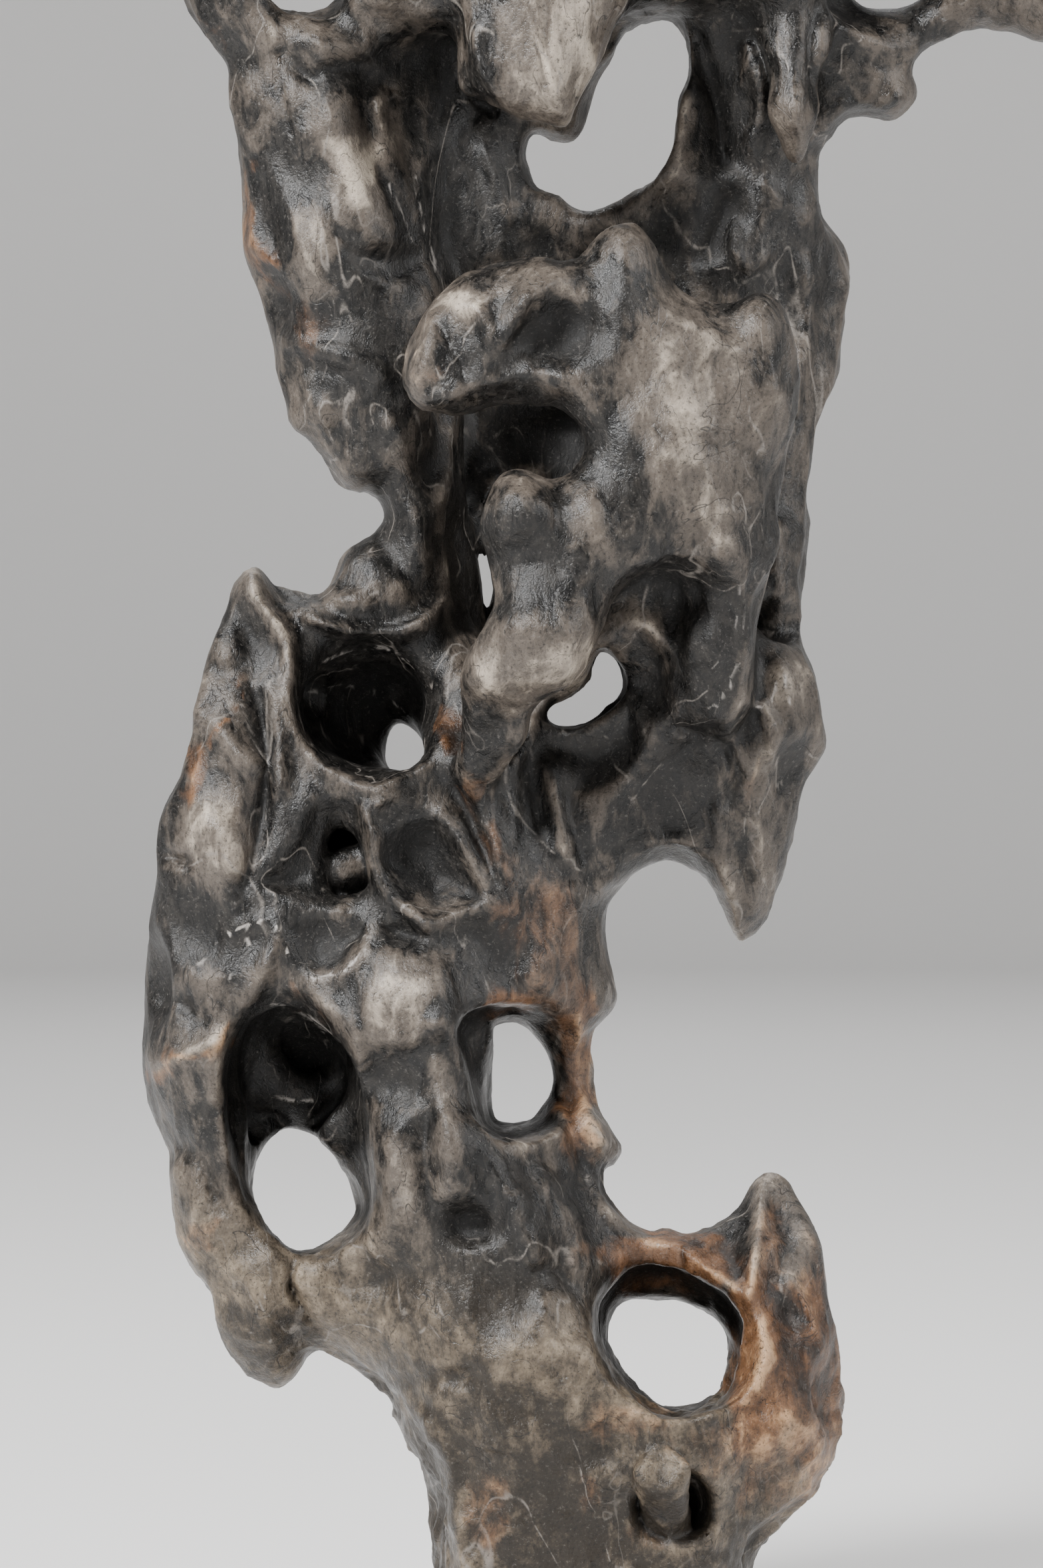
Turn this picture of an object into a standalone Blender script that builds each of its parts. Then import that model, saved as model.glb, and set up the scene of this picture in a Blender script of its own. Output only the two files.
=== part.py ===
"""A scholar's stone: one upright, water-worn limestone, pierced right through, standing on a flat foot.

Lengths are millimetres until the mesh is made. X runs to the right, Y to the back and Z up.
Outlines are drawn as they look from an eye EYE_DISTANCE in front of the stone, at EYE_HEIGHT,
so depth follows the lines of sight; true_place turns such a point into its place in space.
"""

import bmesh
import bpy
import numpy as np

EYE_DISTANCE = 1500.0
EYE_ACROSS = -26.0
EYE_HEIGHT = 345.0
FOOT_LEVEL = 0.0
CELL = 3.0
IN_FRONT = -120.0
BEHIND = 120.0
LOW = (-181.0, -111.0, -18.0)
HIGH = (215.0, 111.0, 774.0)
MOST_TRIANGLES = 9900
FAR = 60.0
FAR_ABOVE = 1000.0
CURVE_STEPS = 4
SKIN_DEPTH = 34.0
SWAY_ACROSS = 3.0
SWAY_DEPTH = 6.0

# Which way each face looks: its axis, and whether it is the far end of that axis.
FACES = {"left": (0, False), "right": (0, True), "front": (1, False), "back": (1, True), "top": (2, True)}

# Outlines: (x, z) round each mass, seen from the front.
MAIN_BODY = [
    (-126, 426), (-133, 421), (-136, 412), (-142, 394), (-147, 377), (-150, 363), (-154, 348),
    (-160, 336),
    (-162.5, 325), (-163, 306), (-165, 284), (-165, 257), (-166, 242), (-164, 227), (-160, 214),
    (-157, 206),
    (-158, 198), (-157, 187), (-154.5, 174), (-150, 165), (-142, 154), (-140, 142), (-137, 132),
    (-131, 125),
    (-124, 120), (-118, 119), (-111, 122), (-107, 130), (-102, 134), (-90, 128), (-82, 124), (-75, 117),
    (-72, 109), (-71, 100), (-66, 93), (-62, 84), (-59, 76), (-59, 64), (-58, 50), (-59, 25), (-64, 0),
    (-66, -30), (60, -30), (58, 0), (56, 25), (59, 50), (67, 62), (75, 70), (82, 79), (88, 89), (92, 101),
    (93, 114), (92, 127), (90, 139), (88, 154), (86, 169), (83, 179), (77, 191), (73, 198), (68, 200),
    (63, 198), (59, 194), (55, 187), (50, 182), (43, 177), (35, 175), (28, 177), (23, 175), (14, 179),
    (9, 184), (4, 191), (3, 197), (4, 202), (8, 204), (12, 208), (8, 215), (4, 223), (0.5, 229),
    (-1, 239),
    (0.5, 248), (4, 253), (9, 259), (11, 266), (8, 277), (6, 287), (6, 297), (9, 304), (15, 311),
    (22, 315.5),
    (29, 317), (36, 315), (42, 309), (47, 301), (50, 292), (53, 284.5), (56, 282.5), (63, 288), (68, 294),
    (72, 304), (74, 314), (75.5, 324), (79, 343), (83, 354), (85, 366), (60, 380), (20, 384), (-20, 384),
    (-50, 400), (-72, 407), (-100, 409), (-112, 411), (-117, 416), (-121, 421.5),
]
LEFT_COLUMN = [
    (-150, 668), (-147, 639), (-140, 624), (-135, 614), (-134, 601), (-132, 584), (-131, 572),
    (-131, 554),
    (-129, 542), (-123, 529), (-119, 518), (-117, 509), (-115, 499), (-113, 489), (-113, 480),
    (-105, 474),
    (-100, 469), (-96, 461), (-92, 455.5), (-82, 453.5), (-78, 446), (-82, 439), (-90, 435), (-94, 430),
    (-96, 424), (-101, 417), (-112, 411), (-108, 396), (-80, 392), (-53, 386), (-46, 390), (-43, 403),
    (-42.5, 418), (-43.5, 432), (-46, 450), (-47, 480), (-49, 510), (-54, 545), (-58, 600), (-60, 668),
]
BACK_MASS = [
    (-64, 668), (30, 672), (90, 668), (86, 620), (85, 579), (85.5, 559), (92, 550), (95.5, 541),
    (95.5, 530),
    (94, 514), (92, 499), (88, 489), (84, 479), (82, 464), (80.5, 452), (81, 439), (80, 429), (78, 419),
    (78, 402), (80.5, 394), (84, 387), (86, 377), (85.5, 364), (83, 354), (60, 335), (20, 330),
    (-12, 338),
    (-30, 366), (-35, 390), (-36, 408), (-35.5, 428), (-41, 433), (-53, 440), (-56, 470), (-57, 520),
    (-62, 560), (-64, 610),
]
FRONT_PLATE = [
    (-60, 524), (-66, 515), (-70, 503), (-70, 493), (-65, 486.5), (-57, 484), (-47, 484), (-36, 487.5),
    (-24, 489), (-12, 484), (-2, 474), (-6, 462), (-14, 458.5), (-22, 462), (-28, 463.5), (-35, 459),
    (-41, 449), (-42, 441), (-40, 431), (-37, 415), (-40, 406), (-46, 395), (-50, 387), (-51, 380),
    (-44, 376), (-34, 374.5), (-24, 375), (-16, 377.5), (-7, 382), (-1, 388), (1, 393),
    (3, 402), (6, 412), (11, 420), (18, 425), (28, 428.5), (40, 430), (47, 420), (49, 400), (50, 378),
    (57, 374), (58, 390), (60, 422), (63, 442), (65.5, 457), (69, 474), (72.5, 492), (71, 517), (69, 524),
    (64, 527.5), (57, 525), (50, 523.5), (43, 525), (33, 529), (27, 537), (24, 543), (20, 551), (12, 556),
    (5, 553), (0, 546), (-5, 541), (-14, 539.5), (-25, 540.5), (-38, 539), (-48, 536),
]
TOP_FINGER = [
    (-52, 690), (-51, 640), (-50, 607), (-44, 603), (-36, 600), (-27, 594), (-20, 589), (-10, 587),
    (-5, 590), (-1, 602), (4, 614), (9, 627), (15, 642), (20, 690),
]
CROWN = [
    (-147, 634), (-152, 655), (-150, 675), (-139, 692), (-120, 702), (-100, 711), (-84, 728), (-66, 746),
    (-44, 758), (-20, 759), (0, 746), (16, 727), (38, 716), (62, 718), (84, 722), (104, 716), (118, 702),
    (138, 694), (156, 697), (172, 690), (184, 672), (193, 654), (191, 637), (182, 627), (171, 625),
    (159, 629), (147, 631.5), (137, 630.5), (129, 628.5), (123, 625), (120, 619), (119, 612), (121, 606),
    (120, 601), (114, 596.5), (104, 597), (95, 595), (88, 588), (80, 596), (66, 624), (50, 634),
    (28, 634), (10, 634), (-20, 630),
    (-50, 628), (-90, 622), (-130, 622),
]
OVERHANG = [
    (-4, 398), (6, 412), (14, 422), (28, 432), (50, 440), (64, 436), (60, 400), (58, 378), (52, 366),
    (36, 362), (20, 352), (4, 352), (-14, 356), (-22, 366), (-20, 378),
]


def curve_through(corners):
    """A closed smooth curve through the corners, as an (n, 2) array."""
    here = np.array(corners, float)
    before = np.roll(here, 1, axis=0)
    after = np.roll(here, -1, axis=0)
    beyond = np.roll(here, -2, axis=0)
    steps = []
    for step in range(CURVE_STEPS):
        t = step / CURVE_STEPS
        bend = 2 * here + (after - before) * t
        bend = bend + (2 * before - 5 * here + 4 * after - beyond) * t**2
        bend = bend + (3 * here - before - 3 * after + beyond) * t**3
        steps.append(bend / 2)
    return np.stack(steps, axis=1).reshape(-1, 2)


def outline_distance(x, z, corners):
    """Distance in the front plane from each (x, z) to the outline, negative inside."""
    curve = curve_through(corners)
    nearest = np.full(np.broadcast(x, z).shape, 1e12)
    inside = np.zeros(nearest.shape, bool)
    for start, end in zip(curve, np.roll(curve, -1, axis=0)):
        way = end - start
        along = ((x - start[0]) * way[0] + (z - start[1]) * way[1]) / (way @ way + 1e-12)
        along = np.clip(along, 0, 1)
        gap = (x - start[0] - along * way[0]) ** 2 + (z - start[1] - along * way[1]) ** 2
        nearest = np.minimum(nearest, gap)
        spans = (start[1] <= z) != (end[1] <= z)
        crossing = start[0] + (z - start[1]) * way[0] / (way[1] if way[1] else 1e-12)
        inside ^= spans & (x < crossing)
    distance = np.sqrt(nearest)
    return np.where(inside, -distance, distance)


class Stone:
    """The stone as a field of distances on a grid: below zero is stone."""

    def __init__(self, cell):
        self.cell = cell
        self.x, self.y, self.z = (
            np.arange(low, high, cell).astype(np.float32) for low, high in zip(LOW, HIGH)
        )
        self.field = np.full((len(self.x), len(self.y), len(self.z)), FAR, np.float32)
        axes = (self.x, self.y, self.z)
        self.sway_x = swell(axes, 26, 11) * SWAY_ACROSS
        self.sway_y = swell(axes, (44, 70, 54), 12) * SWAY_DEPTH
        self.sway_z = swell(axes, 28, 13) * SWAY_ACROSS

    def block(self, low, high):
        """The slices of the grid that hold a box, and the coordinates there, shaped to combine."""
        slices = []
        for axis, near, far in zip((self.x, self.y, self.z), low, high):
            first = np.searchsorted(axis, near)
            slices.append(slice(first, max(np.searchsorted(axis, far), first)))
        x = self.x[slices[0]][:, None, None]
        y = self.y[slices[1]][None, :, None]
        z = self.z[slices[2]][None, None, :]
        return tuple(slices), x, y, z

    def add(self, slices, distance, blend):
        """Joins on what lies below zero in distance, with a fillet as wide as blend."""
        here = self.field[slices]
        near = np.clip(blend - np.abs(here - distance), 0, None)
        self.field[slices] = np.minimum(here, distance) - near**2 / (4 * blend)

    def cut(self, slices, distance, blend):
        """Takes away what lies below zero in distance, with its edges rounded over blend."""
        here = self.field[slices]
        near = np.clip(blend - np.abs(here + distance), 0, None)
        self.field[slices] = np.maximum(here, -distance) + near**2 / (4 * blend)

    def plate(self, corners, depths, edge, blend):
        """A mass with this outline; depths are (x, z, middle y, half depth) and edge rounds its rim."""
        box = np.array(corners, float)
        low, high = box.min(axis=0) - FAR / 3, box.max(axis=0) + FAR / 3
        slices, x, y, z = self.block((low[0], LOW[1], low[1]), (high[0], HIGH[1], high[1]))
        flat_x, flat_z = x[:, 0, :], z[:, 0, :]
        rim = outline_distance(flat_x, flat_z, corners).astype(np.float32)
        middle, half = spread(flat_x, flat_z, depths)
        rim = rim[:, None, :]
        half = half[:, None, :]
        depth = np.abs(y + self.sway_y[slices] - middle[:, None, :]) - half
        turn = np.minimum(edge, half)
        over = np.sqrt(np.clip(rim + turn, 0, None) ** 2 + np.clip(depth + turn, 0, None) ** 2)
        distance = over - turn + np.minimum(np.maximum(rim + turn, depth + turn), 0)
        self.add(slices, distance, blend)

    def through(self, corners, front, back, blend):
        """An opening with this outline, from y = front to y = back."""
        box = np.array(corners, float)
        room = blend + 4
        low, high = box.min(axis=0) - room, box.max(axis=0) + room
        slices, x, y, z = self.block((low[0], front - blend, low[1]), (high[0], back + blend, high[1]))
        rim = outline_distance(x[:, 0, :], z[:, 0, :], corners).astype(np.float32)[:, None, :]
        ends = np.maximum(front - y, y - back)
        self.cut(slices, smooth_larger(rim, ends, blend), blend)

    def limb(self, balls, blend, cutting=False):
        """Round limb through the balls (x, y, z, radius); a cutting one is taken away."""
        for start, end in zip(balls[:-1], balls[1:]):
            start, end = np.array(start, float), np.array(end, float)
            room = max(start[3], end[3]) + blend + 2 * self.cell
            low = np.minimum(start, end)[:3] - room
            high = np.maximum(start, end)[:3] + room
            slices, x, y, z = self.block(low, high)
            x, z = x + self.sway_x[slices], z + self.sway_z[slices]
            way = end[:3] - start[:3]
            along = (x - start[0]) * way[0] + (y - start[1]) * way[1] + (z - start[2]) * way[2]
            along = np.clip(along / (way @ way + 1e-9), 0, 1)
            gap = (x - start[0] - along * way[0]) ** 2
            gap = gap + (y - start[1] - along * way[1]) ** 2
            gap = gap + (z - start[2] - along * way[2]) ** 2
            distance = np.sqrt(gap) - (start[3] + along * (end[3] - start[3]))
            if cutting:
                self.cut(slices, distance, blend)
            else:
                self.add(slices, distance, blend)

    def rod(self, root, tip, radius, blend):
        """A straight round rod with flat ends."""
        root, way = np.array(root, float), np.subtract(tip, root).astype(float)
        length = np.linalg.norm(way)
        room = radius + length + blend + 2 * self.cell
        slices, x, y, z = self.block(root - room, root + room)
        x, y, z = x - root[0], y - root[1], z - root[2]
        along = (x * way[0] + y * way[1] + z * way[2]) / length
        off = np.sqrt(np.clip(x**2 + y**2 + z**2 - along**2, 0, None))
        ends = np.abs(along - length / 2) - length / 2
        self.add(slices, smooth_larger(off - radius, ends, blend), blend)

    def lump(self, centre, radii, blend, cutting=False, lean=0.0):
        """An egg with these radii; lean turns it about Y, in degrees; a cutting one is taken away."""
        centre, radii = np.array(centre, float), np.array(radii, float)
        room = 1.4 * radii.max() + 1.5 * blend + 2 * self.cell
        slices, x, y, z = self.block(centre - room, centre + room)
        x, z = x + self.sway_x[slices], z + self.sway_z[slices]
        x, y, z = x - centre[0], y - centre[1], z - centre[2]
        turn = np.radians(lean)
        across, up = x * np.cos(turn) + z * np.sin(turn), z * np.cos(turn) - x * np.sin(turn)
        share = np.sqrt((across / radii[0]) ** 2 + (y / radii[1]) ** 2 + (up / radii[2]) ** 2) + 1e-6
        slope = np.sqrt((across / radii[0] ** 2) ** 2 + (y / radii[1] ** 2) ** 2 + (up / radii[2] ** 2) ** 2)
        distance = share * (share - 1) / (slope + 1e-6)
        if cutting:
            self.cut(slices, distance, blend)
        else:
            self.add(slices, distance, blend)

    def carve(self, face, folds=(), bowls=(), basins=()):
        """Lifts or sinks the skin of this face, fading out below the skin."""
        axis, last = FACES[face]
        field = np.moveaxis(self.field, axis, 2)
        field = field[:, :, ::-1] if last else field
        a, b = (places for n, places in enumerate((self.x, self.y, self.z)) if n != axis)
        a, b = a[:, None], b[None, :]
        lift = np.zeros(field.shape[:2], np.float32)
        for points in folds:
            lift += fold_lift(a, b, points)
        for bowl in bowls:
            lift -= bowl_depth(a, b, *bowl)
        for deep, rim, corners in basins:
            lift -= basin_depth(a, b, deep, rim, corners)
        inside = field < 0
        skin = inside.argmax(axis=2) * self.cell
        lift = np.where(inside.any(axis=2), lift, 0)
        along = (np.arange(field.shape[2]) * self.cell)[None, :]
        for row in np.flatnonzero(np.abs(lift).max(axis=1) > 0.01):
            fade = ease(1 - np.abs(along - skin[row][:, None]) / SKIN_DEPTH)
            place = along / self.cell + lift[row][:, None] * fade / self.cell
            place = np.clip(place, 0, field.shape[2] - 1.001)
            whole = place.astype(int)
            near = np.take_along_axis(field[row], whole, 1)
            far = np.take_along_axis(field[row], whole + 1, 1)
            field[row] = near + (far - near) * (place - whole)

    def keep_within(self, outline):
        """Takes off whatever has grown past an outline taken earlier, as seen from the front."""
        slices = (slice(None),) * 3
        self.cut(slices, -outline[:, None, :], 3.0)

    def soften(self, reach):
        """Wears every edge down: each value becomes the mean of those within reach, three times."""
        steps = max(1, round(reach / self.cell))
        for axis in (0, 1, 2) * 3:
            total = self.field.copy()
            for step in range(1, steps + 1):
                total += shifted(self.field, axis, step) + shifted(self.field, axis, -step)
            self.field = total / (2 * steps + 1)

    def roughen(self, spacing, height, seed):
        """Soft swellings this far apart over the whole surface."""
        self.field -= height * swell((self.x, self.y, self.z), spacing, seed)

    def crease(self, spacing, height, seed, below=FAR_ABOVE):
        """Winding crests with shallow dishes between them, from the foot up to about this level."""
        random = swell((self.x, self.y, self.z), spacing, seed)
        fade = ease((below - self.z) / 40)[None, None, :]
        self.field -= height * fade * np.clip(1 - 2.2 * np.abs(random), 0, 1) ** 2


def shifted(values, axis, step):
    """The values moved along an axis, with the last layer repeated at the end."""
    moved = np.roll(values, step, axis)
    ends, source = [slice(None)] * 3, [slice(None)] * 3
    if step > 0:
        ends[axis], source[axis] = slice(0, step), slice(0, 1)
    else:
        ends[axis], source[axis] = slice(step, None), slice(-1, None)
    moved[tuple(ends)] = values[tuple(source)]
    return moved


def smooth_larger(a, b, blend):
    """The larger of two distances, rounded where they meet."""
    near = np.clip(blend - np.abs(a - b), 0, None)
    return np.maximum(a, b) + near**2 / (4 * blend)


def ease(share):
    """From 0 to 1 with a soft start and a soft end."""
    share = np.clip(share, 0, 1)
    return share * share * (3 - 2 * share)


def fold_lift(a, b, points):
    """A fold along the points (a, b, width, lift): a crest, or a crease where lift is below zero."""
    points = np.array(points, float)
    nearest = np.full(np.broadcast(a, b).shape, 1e12)
    lift = np.zeros(nearest.shape)
    for start, end in zip(points[:-1], points[1:]):
        way = end - start
        along = ((a - start[0]) * way[0] + (b - start[1]) * way[1]) / (way[:2] @ way[:2])
        along = np.clip(along, 0, 1)
        gap = (a - start[0] - along * way[0]) ** 2 + (b - start[1] - along * way[1]) ** 2
        gap = gap / (start[2] + along * way[2]) ** 2
        closer = gap < nearest
        lift = np.where(closer, (start[3] + along * way[3]) / (1 + gap) ** 1.5, lift)
        nearest = np.where(closer, gap, nearest)
    return lift * ease(1 - np.sqrt(nearest) / 5)


def bowl_depth(a, b, at_a, at_b, wide, high, deep, lean):
    """A round bowl with this half width, half height and depth, leaning by degrees."""
    turn = np.radians(lean)
    across = ((a - at_a) * np.cos(turn) + (b - at_b) * np.sin(turn)) / wide
    up = ((b - at_b) * np.cos(turn) - (a - at_a) * np.sin(turn)) / high
    return deep * np.exp(-((across**2 + up**2) ** 1.5))


def basin_depth(a, b, deep, rim, corners):
    """A basin inside an outline; its wall falls to the full depth over about rim."""
    box = np.array(corners, float)
    low, high = box.min(axis=0) - 4, box.max(axis=0) + 4
    rows = slice(*np.searchsorted(a[:, 0], (low[0], high[0])))
    columns = slice(*np.searchsorted(b[0], (low[1], high[1])))
    depth = np.zeros(np.broadcast(a, b).shape)
    inward = -outline_distance(a[rows], b[:, columns], corners) / rim
    depth[rows, columns] = deep * (1 - np.exp(-np.clip(inward, 0, None) ** 1.5))
    return depth


def spread(x, z, depths):
    """Middle and half depth at each (x, z), eased between the given points."""
    total, middle, half = 0.0, 0.0, 0.0
    for at_x, at_z, at_middle, at_half in depths:
        weight = 1 / ((x - at_x) ** 2 + (z - at_z) ** 2 + 150.0) ** 2
        total = total + weight
        middle = middle + weight * at_middle
        half = half + weight * at_half
    return (middle / total).astype(np.float32), (half / total).astype(np.float32)


def swell(axes, spacing, seed):
    """Smooth random values from about -1 to 1 on the grid of the axes, this far apart."""
    spacings = np.broadcast_to(spacing, 3)
    sizes = [int((HIGH[i] - LOW[i]) / spacings[i]) + 5 for i in range(3)]
    values = np.random.RandomState(seed).uniform(-1, 1, sizes).astype(np.float32)
    for i, axis in enumerate(axes):
        place = (axis - LOW[i]) / spacings[i] + 1
        whole = np.floor(place).astype(int)
        t = place - whole
        weights = np.zeros((len(axis), sizes[i]), np.float32)
        rows = np.arange(len(axis))
        weights[rows, whole - 1] = (1 - t) ** 3 / 6
        weights[rows, whole] = (3 * t**3 - 6 * t**2 + 4) / 6
        weights[rows, whole + 1] = (-3 * t**3 + 3 * t**2 + 3 * t + 1) / 6
        weights[rows, whole + 2] = t**3 / 6
        values = np.moveaxis(np.tensordot(weights, values, (1, i)), 0, i)
    return values * 2.2


MAIN_DEPTHS = [
    (-126, 412, -8, 12), (-134, 380, -8, 24), (-150, 340, -6, 34), (-150, 300, -2, 40),
    (-150, 255, -4, 40),
    (-148, 215, -6, 36), (-146, 180, -8, 30), (-128, 145, -10, 30), (-118, 124, -6, 18),
    (-95, 150, -6, 44),
    (-85, 320, 0, 44), (-60, 400, 5, 30), (-50, 300, 0, 46), (-60, 260, -8, 50), (-60, 200, -8, 54),
    (-30, 180, -6, 52), (-60, 130, -4, 56), (-20, 120, -6, 62), (-20, 280, 2, 40), (0, 270, 4, 30),
    (-6, 235, 6, 24), (0, 210, 2, 28), (10, 195, 0, 34), (0, 340, 6, 36), (40, 340, 6, 28),
    (20, 360, 14, 34),
    (62, 310, 6, 20), (56, 288, 4, 10), (75, 350, 10, 36), (30, 170, -4, 38), (68, 190, 2, 16),
    (72, 160, -2, 34), (78, 120, -4, 46), (30, 95, -6, 60), (-30, 60, -2, 58), (30, 60, -2, 56),
    (0, 0, 0, 60), (-50, 10, 0, 46), (50, 10, 0, 46), (70, 75, -2, 44),
]
COLUMN_DEPTHS = [
    (-120, 650, 6, 40), (-110, 600, 6, 38), (-125, 560, 6, 32), (-90, 550, 2, 36), (-85, 505, 6, 33),
    (-75, 470, 6, 26), (-64, 447, 4, 20), (-75, 425, 4, 26), (-100, 412, 0, 20), (-60, 400, 6, 30),
    (-45, 470, 26, 12), (-45, 440, 26, 13), (-44, 410, 24, 14), (-50, 560, 20, 20), (-54, 600, 18, 22),
]
BACK_DEPTHS = [
    (-50, 640, 30, 20), (-45, 590, 30, 15), (-45, 555, 30, 17), (-10, 552, 34, 15), (50, 630, 30, 26),
    (60, 590, 30, 24), (62, 550, 34, 32), (86, 540, 50, 24), (50, 500, 38, 30), (0, 500, 50, 22),
    (-20, 470, 60, 14), (-40, 500, 52, 16), (40, 450, 30, 36), (72, 460, 32, 30), (70, 420, 26, 28),
    (74, 380, 12, 36), (40, 390, 20, 30), (5, 410, 36, 26), (-22, 410, 38, 18), (0, 350, 16, 30),
    (60, 345, 10, 32),
]
PLATE_DEPTHS = [
    (-58, 505, -58, 22), (-30, 525, -56, 24), (-25, 495, -60, 14), (-5, 510, -54, 28), (12, 545, -62, 14),
    (30, 510, -58, 24), (64, 520, -62, 14), (60, 480, -54, 24), (30, 470, -50, 34), (10, 440, -54, 32),
    (-28, 448, -70, 18), (-20, 425, -68, 22), (-20, 400, -74, 24), (-35, 388, -72, 18),
    (-42, 360, -50, 18),
    (50, 440, -46, 30), (53, 400, -34, 22), (54, 380, -28, 18),
]
FINGER_DEPTHS = [
    (-40, 715, -4, 16), (10, 715, -4, 16), (-40, 680, -8, 34), (0, 680, -8, 34), (-40, 635, -24, 30),
    (0, 635, -26, 26), (-20, 605, -34, 18), (-10, 592, -36, 9),
]
CROWN_DEPTHS = [
    (-130, 640, 6, 38), (-108, 690, 6, 34), (-60, 720, 2, 44), (-20, 740, 0, 38), (0, 690, 4, 56),
    (-50, 670, 4, 50), (30, 660, 14, 48), (70, 690, 16, 42), (60, 640, 20, 40), (100, 612, 26, 22),
    (110, 680, 22, 26), (160, 665, 22, 20), (180, 660, 22, 16), (-20, 640, -4, 46),
]
OVERHANG_DEPTHS = [
    (30, 415, -22, 24), (40, 435, -40, 30), (50, 400, -34, 24), (20, 380, -6, 22), (45, 375, -24, 22),
    (0, 372, -4, 24), (0, 400, -20, 26),
]

# Openings: (x, z) of what shows through them, seen from the front.
TOP_LEFT_RING = [
    (-124, 650), (-122, 641), (-117, 636), (-110, 634), (-101, 634.5), (-95, 639), (-92, 648), (-93, 660),
    (-99, 671), (-108, 675), (-117, 669), (-122, 660),
]
TOP_RIGHT_RING = [
    (94, 646), (97, 639), (103, 635), (112, 634), (122, 635.5), (130, 640), (132, 648), (129, 660),
    (118, 666), (106, 665), (97, 658),
]
TOP_RIGHT_MOUTH = [
    (86, 642), (90, 634), (98, 629.5), (108, 628.5), (120, 631), (129, 637), (134, 645), (133, 657),
    (124, 667), (110, 670), (97, 665), (88, 655),
]
TOP_WINDOW = [
    (29, 632), (13, 628), (7, 619), (2, 609), (-2, 599), (-5, 590), (-10, 587), (-16, 589), (-22, 590),
    (-25, 584), (-25, 577), (-22, 569), (-12, 564), (-2, 560.5), (8, 563), (16, 568), (25.5, 574),
    (30.5, 582), (32.5, 592), (33.5, 602), (37, 612), (36.5, 622), (34, 629),
]
MIDDLE_WINDOW = [
    (4, 395.5), (9, 393), (12.5, 387), (12, 379), (5.5, 372), (-4.5, 367), (-13, 366.5), (-18, 370),
    (-16, 375.5), (-7, 379), (-2, 384), (0.5, 390),
]
LEFT_MOUTH = [
    (-109, 402), (-110, 392), (-108.5, 378), (-104.5, 364), (-97, 354), (-84, 349), (-72, 351),
    (-62, 359),
    (-54, 371), (-52, 384), (-56, 396), (-66, 402), (-80, 400.5), (-95, 401),
]
LEFT_SKY = [
    (-77, 362), (-73, 368), (-67, 367), (-62, 362), (-60, 356), (-64, 351), (-70, 348), (-76, 350),
    (-78, 356),
]
LOW_LEFT_MOUTH = [
    (-114, 264), (-126, 260), (-135, 250), (-138, 234), (-136, 215), (-131, 199), (-126, 189),
    (-121, 179),
    (-114, 172), (-107, 169.5), (-98, 172), (-90, 179), (-85, 187), (-84, 199), (-86, 229), (-90, 240),
    (-96, 250), (-104, 259),
]
LOW_LEFT_SKY = [
    (-127, 197), (-123, 208), (-116, 214), (-108, 213), (-99, 208), (-92, 200), (-88, 190), (-87, 184),
    (-91, 178), (-98, 172), (-107, 169.5), (-114, 172), (-121, 179), (-126, 189),
]
CENTRE_WINDOW = [
    (-38, 254), (-33, 256), (-27, 255.5), (-20.5, 250.5), (-15, 243), (-12.5, 233), (-14, 225),
    (-19, 219.5),
    (-28, 216.5), (-36, 217), (-39, 224), (-39, 240),
]
CENTRE_MOUTH = [
    (-46, 262), (-36, 264), (-22, 262), (-12, 255), (-9, 243), (-9, 230), (-12, 219), (-24, 214),
    (-36, 215), (-42, 226), (-49, 243), (-52, 254),
]
RING_WINDOW = [
    (7, 138), (9, 147), (16, 151), (29, 150.5), (40, 147), (48, 142), (51, 134), (50, 125), (48, 117),
    (43, 113), (34, 111), (25.5, 112), (19, 117), (12, 125), (8, 132),
]
RING_MOUTH = [
    (2, 147), (4, 154), (13, 165), (28, 164.5), (43, 158), (53, 151), (57.5, 139), (56, 127), (48, 115),
    (33, 110.5), (20.5, 115), (12, 124.5), (4, 136),
]

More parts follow.
